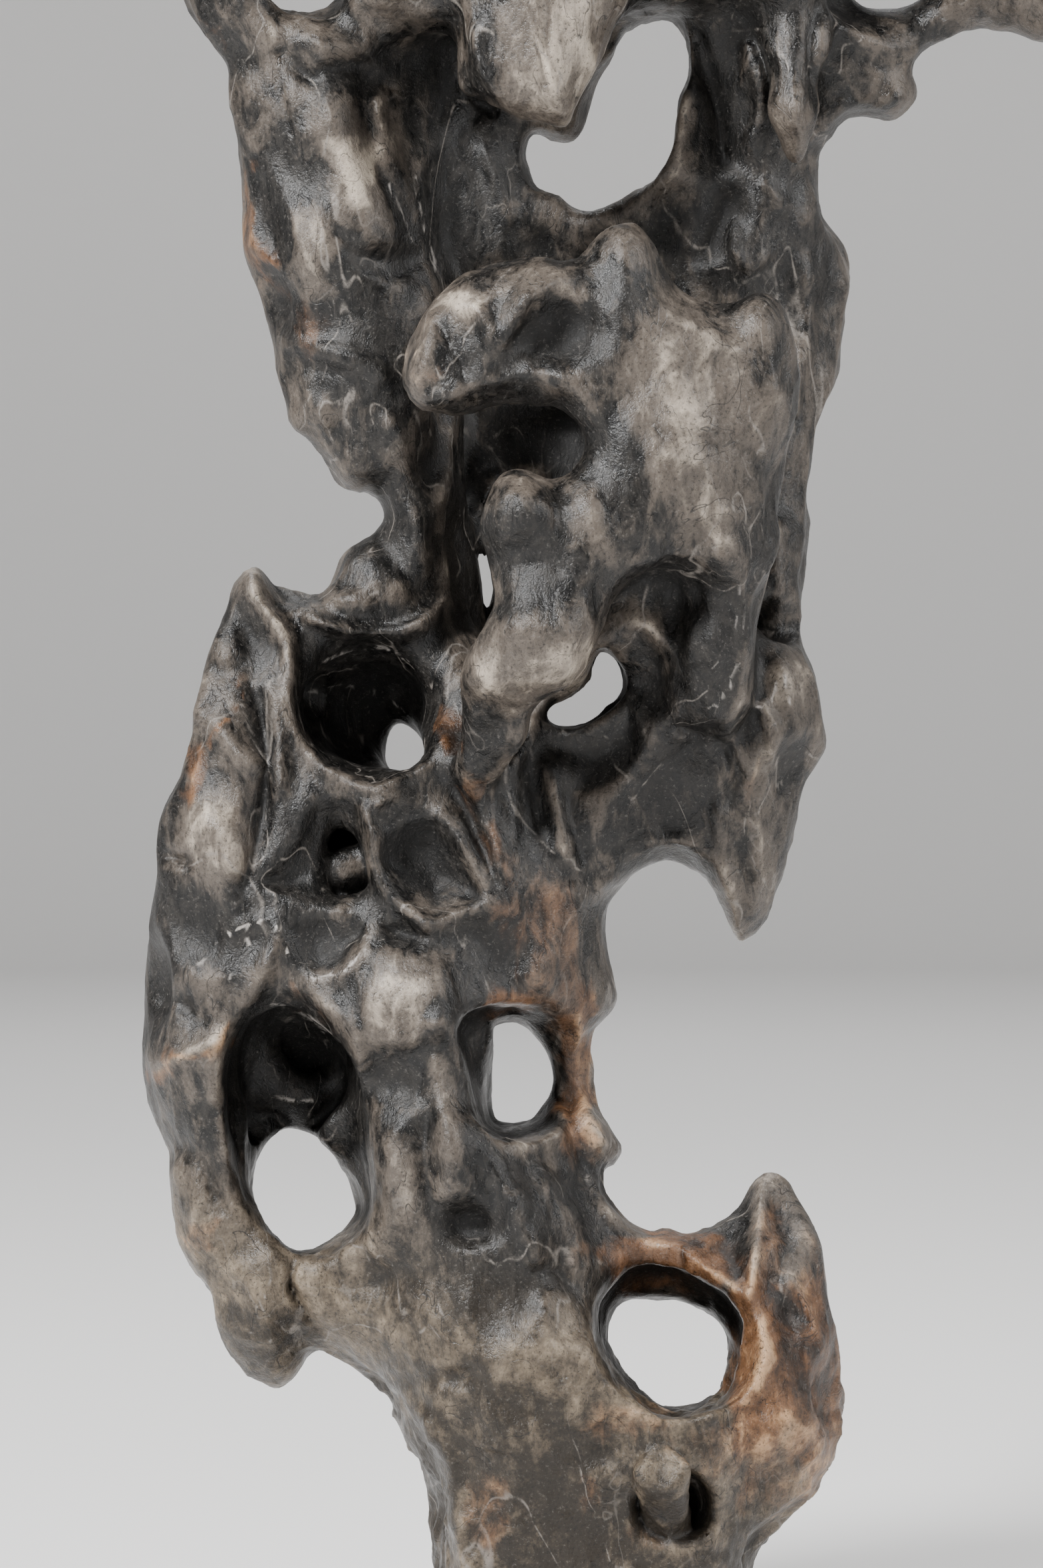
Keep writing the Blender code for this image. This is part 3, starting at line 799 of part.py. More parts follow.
# Spines on the rear masses, each a chain of (x, y, z, radius).
REAR_SPINES = [
    [(-24, 20, 569, 5), (-2, 22, 554, 6), (18, 22, 559, 6), (31, 10, 577, 7), (38, 8, 602, 7),
     (44, 8, 628, 7)],
    [(72, 14, 642, 8), (66, 10, 610, 8), (64, 14, 584, 8), (74, 20, 556, 8), (80, 30, 520, 8)],
    [(-50, 22, 600, 6), (-38, 22, 580, 6), (-34, 24, 556, 7), (-20, 28, 540, 6)],
]
# Deep bores, each a chain of (x, y, z, radius).
BORES = [
    [(-84, -66, 377, 24), (-83, -26, 377, 24), (-78, 0, 371, 18), (-72, 20, 363, 9)],
    [(-112, -16, 240, 24), (-111, 2, 234, 22)],
    [(-92, -20, 318, 8), (-94, 4, 328, 8), (-92, 24, 344, 7)],
    [(-17, -110, 474, 11), (-16, -40, 474, 13), (-15, 20, 475, 12), (-10, 40, 478, 7)],
    [(-172, 2, 372, 6), (-140, 0, 374, 7), (-104, -2, 378, 8)],
    [(100, -14, 486, 6), (70, -8, 492, 7), (36, -2, 500, 7), (6, 10, 512, 7), (-12, 6, 522, 9)],
    [(96, 6, 404, 5), (70, 0, 406, 7), (44, 10, 410, 8)],
    [(-176, 6, 210, 5), (-150, 4, 212, 7), (-128, 2, 216, 8)],
    [(-78, -2, 60, 5), (-56, 4, 64, 7), (-40, 8, 70, 5)],
]
# Ledges inside the openings and round the middle window.
INNER_WALLS = [
    [(-97, -16, 311, 5), (-91, -22, 313, 5), (-85, -18, 315, 5)],
    [(2, -26, 402, 4), (13, -20, 405, 5), (23, -18, 401, 6), (28, -18, 388, 6), (25, -18, 376, 5)],
    [(-128, 8, 246, 8), (-122, 12, 232, 8), (-110, 14, 226, 7), (-98, 16, 232, 6)],
]
THIN_COLUMN = [
    (-22, 4, 266, 8), (-13, 0, 258, 8), (-7, -2, 249, 7), (-5, -2, 238, 6), (-5.5, -2, 227, 6),
    (-10, 0, 215, 7), (-19, 4, 208, 8),
]
RING_BRIDGE = [(116, 22, 625, 5), (128, 22, 633, 5), (138, 22, 638, 7)]
HORN_ROOT = [(-114, 4, 410, 6), (-112, 14, 402, 10), (-108, 20, 388, 12), (-102, 24, 372, 12)]
SPOUT = [(-28, -62, 386, 15), (-37, -52, 369, 12.5), (-41.5, -43, 355, 8.5), (-43, -36, 345, 4.5)]
SECOND_FINGER = [(78, -4, 652, 11), (78, -8, 622, 9), (78, -10, 596, 7), (78, -6, 579, 4)]
SLOT = [
    (-101, 314), (-101, 322), (-97, 329), (-92, 330), (-87, 328), (-83.5, 322), (-81.5, 312), (-82, 305),
    (-89, 301), (-97, 302), (-100, 307),
]
SOCKET = (31, -58, 74)
SOCKET_RADII = (13.5, 26, 14)
PEG_ROOT = (28, -44, 67)
PEG_TIP = (26.5, -74, 87)
PEG_RADIUS = 9.6


def raise_masses(stone):
    """The solid masses, back to front, each rounded and joined to the one before."""
    stone.plate(MAIN_BODY, MAIN_DEPTHS, edge=34, blend=3)
    stone.plate(BACK_MASS, BACK_DEPTHS, edge=24, blend=10)
    stone.plate(LEFT_COLUMN, COLUMN_DEPTHS, edge=36, blend=10)
    stone.plate(CROWN, CROWN_DEPTHS, edge=34, blend=12)
    stone.limb(HORN_ROOT, blend=10)
    stone.limb(SECOND_FINGER, blend=6)
    stone.plate(TOP_FINGER, FINGER_DEPTHS, edge=24, blend=8)
    stone.plate(OVERHANG, OVERHANG_DEPTHS, edge=14, blend=10)
    stone.plate(FRONT_PLATE, PLATE_DEPTHS, edge=18, blend=8)
    stone.limb(SPOUT, blend=8)


def open_windows(stone):
    """The openings: a wide mouth on the front, and what goes right through."""
    stone.through(TOP_LEFT_RING, IN_FRONT, BEHIND, blend=22)
    stone.through(TOP_RIGHT_MOUTH, IN_FRONT, 12, blend=8)
    stone.through(TOP_RIGHT_RING, IN_FRONT, BEHIND, blend=12)
    stone.through(TOP_WINDOW, IN_FRONT, BEHIND, blend=14)
    stone.through(MIDDLE_WINDOW, IN_FRONT, BEHIND, blend=12)
    stone.through(LEFT_MOUTH, IN_FRONT, -24, blend=14)
    stone.through(LOW_LEFT_MOUTH, IN_FRONT, -10, blend=16)
    stone.through(LOW_LEFT_SKY, IN_FRONT, BEHIND, blend=14)
    stone.through(CENTRE_MOUTH, IN_FRONT, -14, blend=12)
    stone.through(CENTRE_WINDOW, IN_FRONT, BEHIND, blend=12)
    stone.through(RING_MOUTH, IN_FRONT, -6, blend=10)
    stone.through(RING_WINDOW, IN_FRONT, BEHIND, blend=14)


def wear_skin(stone):
    """Folds, bowls and bores, face by face, and the ledges left between them."""
    stone.carve("back", BACK_FOLDS, (), BACK_BASINS)
    stone.carve("left", LEFT_SPINES, LEFT_HOLLOWS)
    stone.carve("right", RIGHT_SPINES, RIGHT_HOLLOWS)
    stone.carve("top", TOP_SPINES, TOP_HOLLOWS)
    for balls in BORES:
        stone.limb(balls, blend=8, cutting=True)
    for balls in REAR_SPINES:
        stone.limb(balls, blend=8)


def open_pits(stone):
    """The slot beside the bowl and the socket with its peg, cut into the finished skin."""
    stone.through(SLOT, IN_FRONT, -2, blend=8)
    stone.lump(SOCKET, SOCKET_RADII, blend=6, cutting=True)
    for balls in INNER_WALLS:
        stone.limb(balls, blend=6)
    stone.rod(PEG_ROOT, PEG_TIP, PEG_RADIUS, blend=2)


def clear_windows(stone):
    """The clear part of each opening, cut once more so that no spine narrows it."""
    for corners in (TOP_WINDOW, MIDDLE_WINDOW, LEFT_SKY, LOW_LEFT_SKY, CENTRE_WINDOW, RING_WINDOW):
        stone.through(corners, IN_FRONT, BEHIND, blend=4)
    stone.limb(THIN_COLUMN, blend=4)
    stone.limb(RING_BRIDGE, blend=5)


def stone_field(cell):
    """The whole stone on a grid this fine."""
    stone = Stone(cell)
    raise_masses(stone)
    open_windows(stone)
    outline = stone.field.min(axis=1)
    wear_skin(stone)
    stone.soften(reach=1.6)
    stone.carve("front", FRONT_FOLDS, FRONT_BOWLS, FRONT_BASINS)
    stone.keep_within(outline)
    open_pits(stone)
    clear_windows(stone)
    stone.roughen(spacing=46, height=1.4, seed=3)
    stone.crease(spacing=(34, 30, 44), height=2.0, seed=5)
    stone.crease(spacing=(17, 17, 13), height=1.8, seed=6, below=150)
    stone.roughen(spacing=(15, 15, 20), height=0.5, seed=4)
    return stone


def settle(field):
    """Fills the few places where two sheets of skin would meet at a point or along an edge."""
    for _ in range(12):
        stone = field < 0
        fill = np.zeros(field.shape, bool)
        for first, second in ((0, 1), (0, 2), (1, 2)):
            near, far = [slice(None)] * 3, [slice(None)] * 3
            left, right = [slice(None)] * 3, [slice(None)] * 3
            near[first] = near[second] = left[second] = right[first] = slice(None, -1)
            far[first] = far[second] = left[first] = right[second] = slice(1, None)
            near, far, left, right = (tuple(s) for s in (near, far, left, right))
            crossed = (stone[near] == stone[far]) & (stone[left] == stone[right])
            crossed &= stone[near] != stone[left]
            for corner in (near, far, left, right):
                fill[corner] |= crossed
        fill |= opposite_corners(stone)
        fill &= ~stone
        if not fill.any():
            return
        field[fill] = -0.05


def opposite_corners(stone):
    """Marks the cubes whose only stone, or only gap, is at two opposite corners."""
    fill = np.zeros(stone.shape, bool)
    cells = {}
    for i in (0, 1):
        for j in (0, 1):
            for k in (0, 1):
                span = tuple(slice(n, n - 1 or None) for n in (i, j, k))
                cells[i, j, k] = span
    count = sum(stone[span].astype(np.int8) for span in cells.values())
    for i, j, k in ((0, 0, 0), (0, 0, 1), (0, 1, 0), (1, 0, 0)):
        one, other = stone[cells[i, j, k]], stone[cells[1 - i, 1 - j, 1 - k]]
        touching = ((count == 2) & one & other) | ((count == 6) & ~one & ~other)
        for span in cells.values():
            fill[span] |= touching
    return fill


def skin_of(stone):
    """Corner points and four-sided faces of the surface where the field is zero."""
    field = stone.field
    settle(field)
    inside = field < 0
    corners = [(i, j, k) for i in (0, 1) for j in (0, 1) for k in (0, 1)]
    spans = [tuple(slice(n, n - 1 or None) for n in corner) for corner in corners]
    count = sum(inside[span].astype(np.int8) for span in spans)
    cells = np.argwhere((count > 0) & (count < 8))
    number = np.full(count.shape, -1, np.int32)
    number[tuple(cells.T)] = np.arange(len(cells))
    values = np.stack([field[tuple((cells + corner).T)] for corner in corners], axis=1)
    total = np.zeros((len(cells), 3), np.float64)
    crossings = np.zeros(len(cells))
    for a, first in enumerate(corners):
        for b, second in enumerate(corners):
            if b <= a or sum(abs(m - n) for m, n in zip(first, second)) != 1:
                continue
            crossed = (values[:, a] < 0) != (values[:, b] < 0)
            share = np.where(crossed, values[:, a] / (values[:, a] - values[:, b] + 1e-12 * ~crossed), 0)
            place = np.array(first) + share[:, None] * (np.array(second) - np.array(first))
            total += place * crossed[:, None]
            crossings += crossed
    points = (cells + total / crossings[:, None]) * stone.cell + np.array(LOW)
    return points, faces_between(inside, number)


def faces_between(inside, number):
    faces = []
    for axis in range(3):
        before, after = [slice(1, -1)] * 3, [slice(1, -1)] * 3
        before[axis], after[axis] = slice(None, -1), slice(1, None)
        crossed = inside[tuple(before)] != inside[tuple(after)]
        place = np.argwhere(crossed)
        solid_first = inside[tuple(before)][crossed]
        u, v = (axis + 1) % 3, (axis + 2) % 3
        place[:, u] += 1
        place[:, v] += 1
        ring = []
        for step_u, step_v in ((-1, -1), (0, -1), (0, 0), (-1, 0)):
            cell = place.copy()
            cell[:, u] += step_u
            cell[:, v] += step_v
            ring.append(number[tuple(cell.T)])
        ring = np.stack(ring, axis=1)
        ring[~solid_first] = ring[~solid_first][:, ::-1]
        faces.append(ring)
    return np.concatenate(faces)


def largest_body(points, faces):
    """Drops specks and closed bubbles: only the surface with the most points stays."""
    label = np.arange(len(points))
    ends = np.concatenate([faces[:, [0, 1]], faces[:, [1, 2]], faces[:, [2, 3]]])
    while True:
        low = np.minimum(label[ends[:, 0]], label[ends[:, 1]])
        new = label.copy()
        np.minimum.at(new, ends[:, 0], low)
        np.minimum.at(new, ends[:, 1], low)
        new = new[new]
        if (new == label).all():
            break
        label = new
    body = np.bincount(label).argmax()
    kept = label == body
    index = np.cumsum(kept) - 1
    return points[kept], index[faces[kept[faces[:, 0]]]]


def true_place(points):
    """From where a point is seen in the plane y = 0 to where it lies at its own depth."""
    scale = (EYE_DISTANCE + points[:, 1]) / EYE_DISTANCE
    x = EYE_ACROSS + (points[:, 0] - EYE_ACROSS) * scale
    z = EYE_HEIGHT + (points[:, 2] - EYE_HEIGHT) * scale
    return np.stack([x, points[:, 1], z], axis=1)


def mesh_object(name, points, faces):
    mesh = bpy.data.meshes.new(name)
    mesh.from_pydata(points.tolist(), [], faces.tolist())
    thing = bpy.data.objects.new(name, mesh)
    bpy.context.scene.collection.objects.link(thing)
    return thing


def coarsen(thing, most):
    """Fewer, larger triangles that keep the shape."""
    thing.data.calc_loop_triangles()
    modifier = thing.modifiers.new("coarsen", "DECIMATE")
    modifier.ratio = most / len(thing.data.loop_triangles)
    modifier.use_collapse_triangulate = True
    graph = bpy.context.evaluated_depsgraph_get()
    mesh = bpy.data.meshes.new_from_object(thing.evaluated_get(graph))
    thing.modifiers.clear()
    thing.data = mesh


def cut_foot(thing, level):
    """A flat foot at this height, closed with one level face."""
    work = bmesh.new()
    work.from_mesh(thing.data)
    parts = list(work.verts) + list(work.edges) + list(work.faces)
    cut = bmesh.ops.bisect_plane(
        work, geom=parts, dist=1e-7, plane_co=(0, 0, level), plane_no=(0, 0, 1), clear_inner=True
    )
    rim = [part for part in cut["geom_cut"] if isinstance(part, bmesh.types.BMEdge)]
    bmesh.ops.holes_fill(work, edges=rim, sides=0)
    bmesh.ops.triangulate(work, faces=work.faces)
    bmesh.ops.recalc_face_normals(work, faces=work.faces)
    work.to_mesh(thing.data)
    work.free()


def stand_at_origin(thing):
    """Puts the bottom centre of its box at the origin."""
    points = np.array([vertex.co for vertex in thing.data.vertices])
    middle = (points.min(axis=0) + points.max(axis=0)) / 2
    points -= (middle[0], middle[1], points[:, 2].min())
    thing.data.vertices.foreach_set("co", points.ravel())
    thing.data.update()


def limestone():
    material = bpy.data.materials.new("limestone")
    material.use_nodes = True
    surface = material.node_tree.nodes["Principled BSDF"]
    surface.inputs["Base Color"].default_value = (0.09, 0.085, 0.08, 1)
    surface.inputs["Roughness"].default_value = 0.4
    return material


def main():
    for thing in list(bpy.data.objects):
        bpy.data.objects.remove(thing)
    stone = stone_field(CELL)
    points, faces = largest_body(*skin_of(stone))
    thing = mesh_object("stone", true_place(points) / 1000, faces)
    coarsen(thing, MOST_TRIANGLES)
    cut_foot(thing, FOOT_LEVEL / 1000)
    stand_at_origin(thing)
    thing.data.materials.append(limestone())
    thing.data.shade_smooth()
    thing.data.set_sharp_from_angle(angle=np.radians(50))


if __name__ == "__main__":
    main()
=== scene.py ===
"""The scholar's stone: its fine surface and finish, the floor, the light and the camera.

Lengths are millimetres until the mesh is made. X runs to the right, Y to the back and Z up.
Outlines are drawn as they look from an eye EYE_DISTANCE in front of the stone, at EYE_HEIGHT,
so depth follows the lines of sight; true_place turns such a point into its place in space.
"""

import itertools

import bmesh
import bpy
import numpy as np
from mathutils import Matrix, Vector


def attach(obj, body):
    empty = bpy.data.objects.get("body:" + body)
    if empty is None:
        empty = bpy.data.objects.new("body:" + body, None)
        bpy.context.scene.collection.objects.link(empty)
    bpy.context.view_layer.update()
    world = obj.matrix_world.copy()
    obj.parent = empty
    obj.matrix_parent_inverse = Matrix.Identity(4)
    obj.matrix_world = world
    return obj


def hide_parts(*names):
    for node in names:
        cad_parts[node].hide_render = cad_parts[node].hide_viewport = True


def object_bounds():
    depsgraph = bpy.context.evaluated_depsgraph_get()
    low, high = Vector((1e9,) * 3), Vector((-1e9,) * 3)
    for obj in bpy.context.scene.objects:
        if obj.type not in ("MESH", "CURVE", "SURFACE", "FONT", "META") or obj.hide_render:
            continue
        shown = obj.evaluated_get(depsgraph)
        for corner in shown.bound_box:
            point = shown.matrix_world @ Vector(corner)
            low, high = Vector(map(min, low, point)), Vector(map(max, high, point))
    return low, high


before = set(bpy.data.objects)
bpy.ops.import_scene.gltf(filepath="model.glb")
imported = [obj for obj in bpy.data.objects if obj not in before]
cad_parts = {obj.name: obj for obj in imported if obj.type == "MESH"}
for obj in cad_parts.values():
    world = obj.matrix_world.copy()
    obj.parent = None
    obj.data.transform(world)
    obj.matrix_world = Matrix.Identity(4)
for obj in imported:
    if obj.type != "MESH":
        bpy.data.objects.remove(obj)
cad_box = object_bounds()

# The frame's origin lies at ORIGIN in the layout. The view is VIEW_HEIGHT high in the plane y = 0.
MM = 0.001
ORIGIN = (15.2, -10.18, 0.0)
VIEW_HEIGHT = 589.25
SENSOR = 36.0
SURFACE_CELL = 1.7
SURFACE_TRIANGLES = 198000
BOX_GAP = 0.02

# The eye, and the block of space that the grid fills.
EYE_DISTANCE = 1500.0
EYE_ACROSS = -26.0
EYE_HEIGHT = 345.0
IN_FRONT = -120.0
BEHIND = 120.0
LOW = (-181.0, -111.0, -18.0)
HIGH = (215.0, 111.0, 774.0)
FAR = 60.0
FAR_ABOVE = 1000.0
VERY_FAR = 1e12

# How the masses and folds are shaped: steps from corner to corner of an outline, the depth that a
# fold reaches below the skin, how many widths it reaches to the side, how soft depths blend (mm2),
# how far limbs and plates sway, and the fade and the sharpness of the winding crests.
CURVE_STEPS = 4
SKIN_DEPTH = 34.0
FOLD_REACH = 5
DEPTH_BLEND = 150.0
SWAY_ACROSS = 3.0
SWAY_DEPTH = 6.0
CREASE_FADE = 40
CREASE_SHARPNESS = 2.2

# Noise: the gain that brings each kind to about -1 to 1, and what its seeds and hash are made of.
SWELL_GAIN = 2.2
NOISE_GAIN = 1.6
NOISE_SHIFT = 7.3
NOISE_SLOPES = 4096
NOISE_PRIMES = (73856093, 19349663, 83492791)

# Which way each face looks: its axis, and whether it is the far end of that axis.
FACES = {
    "left": (0, False), "right": (0, True), "front": (1, False), "back": (1, True),
    "top": (2, True),
}

# Outlines: (x, z) round each mass, seen from the front.
MAIN_BODY = [
    (-126, 426), (-133, 421), (-136, 412), (-142, 394), (-147, 377), (-150, 363), (-154, 348),
    (-160, 336), (-162.5, 325), (-163, 306), (-165, 284), (-165, 257), (-166, 242), (-164, 227),
    (-160, 214), (-157, 206), (-158, 198), (-157, 187), (-154.5, 174), (-150, 165), (-142, 154),
    (-140, 142), (-137, 132), (-131, 125), (-124, 120), (-118, 119), (-111, 122), (-107, 130),
    (-102, 134), (-90, 128), (-82, 124), (-75, 117), (-72, 109), (-71, 100), (-66, 93), (-62, 84),
    (-59, 76), (-59, 64), (-58, 50), (-59, 25), (-64, 0), (-66, -30), (60, -30), (58, 0), (56, 25),
    (59, 50), (67, 62), (75, 70), (82, 79), (88, 89), (92, 101), (93, 114), (92, 127), (90, 139),
    (88, 154), (86, 169), (83, 179), (77, 191), (73, 198), (68, 200), (63, 198), (59, 194),
    (55, 187), (50, 182), (43, 177), (35, 175), (28, 177), (23, 175), (14, 179), (9, 184), (4, 191),
    (3, 197), (4, 202), (8, 204), (12, 208), (8, 215), (4, 223), (0.5, 229), (-1, 239), (0.5, 248),
    (4, 253), (9, 259), (11, 266), (8, 277), (6, 287), (6, 297), (9, 304), (15, 311), (22, 315.5),
    (29, 317), (36, 315), (42, 309), (47, 301), (50, 292), (53, 284.5), (56, 282.5), (63, 288),
    (68, 294), (72, 304), (74, 314), (75.5, 324), (79, 343), (83, 354), (85, 366), (60, 380),
    (20, 384), (-20, 384), (-50, 400), (-72, 407), (-100, 409), (-112, 411), (-117, 416),
    (-121, 421.5),
]
LEFT_COLUMN = [
    (-150, 668), (-147, 639), (-140, 624), (-135, 614), (-134, 601), (-132, 584), (-131, 572),
    (-131, 554), (-129, 542), (-123, 529), (-119, 518), (-117, 509), (-115, 499), (-113, 489),
    (-113, 480), (-105, 474), (-100, 469), (-96, 461), (-92, 455.5), (-82, 453.5), (-78, 446),
    (-82, 439), (-90, 435), (-94, 430), (-96, 424), (-101, 417), (-112, 411), (-108, 396),
    (-80, 392), (-53, 386), (-46, 390), (-43, 403), (-42.5, 418), (-43.5, 432), (-46, 450),
    (-47, 480), (-49, 510), (-54, 545), (-58, 600), (-60, 668),
]
BACK_MASS = [
    (-64, 668), (30, 672), (90, 668), (86, 620), (85, 579), (85.5, 559), (92, 550), (95.5, 541),
    (95.5, 530), (94, 514), (92, 499), (88, 489), (84, 479), (82, 464), (80.5, 452), (81, 439),
    (80, 429), (78, 419), (78, 402), (80.5, 394), (84, 387), (86, 377), (85.5, 364), (83, 354),
    (60, 335), (20, 330), (-12, 338), (-30, 366), (-35, 390), (-36, 408), (-35.5, 428), (-41, 433),
    (-53, 440), (-56, 470), (-57, 520), (-62, 560), (-64, 610),
]
FRONT_PLATE = [
    (-60, 524), (-66, 515), (-70, 503), (-70, 493), (-65, 486.5), (-57, 484), (-47, 484),
    (-36, 487.5), (-24, 489), (-12, 484), (-2, 474), (-6, 462), (-14, 458.5), (-22, 462),
    (-28, 463.5), (-35, 459), (-41, 449), (-42, 441), (-40, 431), (-37, 415), (-40, 406),
    (-46, 395), (-50, 387), (-51, 380), (-44, 376), (-34, 374.5), (-24, 375), (-16, 377.5),
    (-7, 382), (-1, 388), (1, 393), (3, 402), (6, 412), (11, 420), (18, 425), (28, 428.5),
    (40, 430), (47, 420), (49, 400), (50, 378), (57, 374), (58, 390), (60, 422), (63, 442),
    (65.5, 457), (69, 474), (72.5, 492), (71, 517), (69, 524), (64, 527.5), (57, 525), (50, 523.5),
    (43, 525), (33, 529), (27, 537), (24, 543), (20, 551), (12, 556), (5, 553), (0, 546), (-5, 541),
    (-14, 539.5), (-25, 540.5), (-38, 539), (-48, 536),
]
TOP_FINGER = [
    (-52, 690), (-51, 640), (-50, 607), (-44, 603), (-36, 600), (-27, 594), (-20, 589), (-10, 587),
    (-5, 590), (-1, 602), (4, 614), (9, 627), (15, 642), (20, 690),
]
CROWN = [
    (-147, 634), (-152, 655), (-150, 675), (-139, 692), (-120, 702), (-100, 711), (-84, 728),
    (-66, 746), (-44, 758), (-20, 759), (0, 746), (16, 727), (38, 716), (62, 718), (84, 722),
    (104, 716), (118, 702), (138, 694), (156, 697), (172, 690), (184, 672), (193, 654), (191, 637),
    (182, 627), (171, 625), (159, 629), (147, 631.5), (137, 630.5), (129, 628.5), (123, 625),
    (120, 619), (119, 612), (121, 606), (120, 601), (114, 596.5), (104, 597), (95, 595), (88, 588),
    (80, 596), (66, 624), (50, 634), (28, 634), (10, 634), (-20, 630), (-50, 628), (-90, 622),
    (-130, 622),
]
OVERHANG = [
    (-4, 398), (6, 412), (14, 422), (28, 432), (50, 440), (64, 436), (60, 400), (58, 378),
    (52, 366), (36, 362), (20, 352), (4, 352), (-14, 356), (-22, 366), (-20, 378),
]


def curve_through(corners):
    """A closed smooth curve through the corners, as an (n, 2) array."""
    here = np.array(corners, float)
    before = np.roll(here, 1, axis=0)
    after = np.roll(here, -1, axis=0)
    beyond = np.roll(here, -2, axis=0)
    steps = []
    for step in range(CURVE_STEPS):
        t = step / CURVE_STEPS
        bend = 2 * here + (after - before) * t
        bend = bend + (2 * before - 5 * here + 4 * after - beyond) * t**2
        bend = bend + (3 * here - before - 3 * after + beyond) * t**3
        steps.append(bend / 2)
    return np.stack(steps, axis=1).reshape(-1, 2)


def outline_distance(x, z, corners):
    """Distance in the front plane from each (x, z) to the outline, negative inside."""
    curve = curve_through(corners)
    nearest = np.full(np.broadcast(x, z).shape, VERY_FAR)
    inside = np.zeros(nearest.shape, bool)
    for start, end in zip(curve, np.roll(curve, -1, axis=0)):
        way = end - start
        along = ((x - start[0]) * way[0] + (z - start[1]) * way[1]) / (way @ way + 1e-12)
        along = np.clip(along, 0, 1)
        gap = (x - start[0] - along * way[0]) ** 2 + (z - start[1] - along * way[1]) ** 2
        nearest = np.minimum(nearest, gap)
        spans = (start[1] <= z) != (end[1] <= z)
        crossing = start[0] + (z - start[1]) * way[0] / (way[1] if way[1] else 1e-12)
        inside ^= spans & (x < crossing)
    distance = np.sqrt(nearest)
    return np.where(inside, -distance, distance)


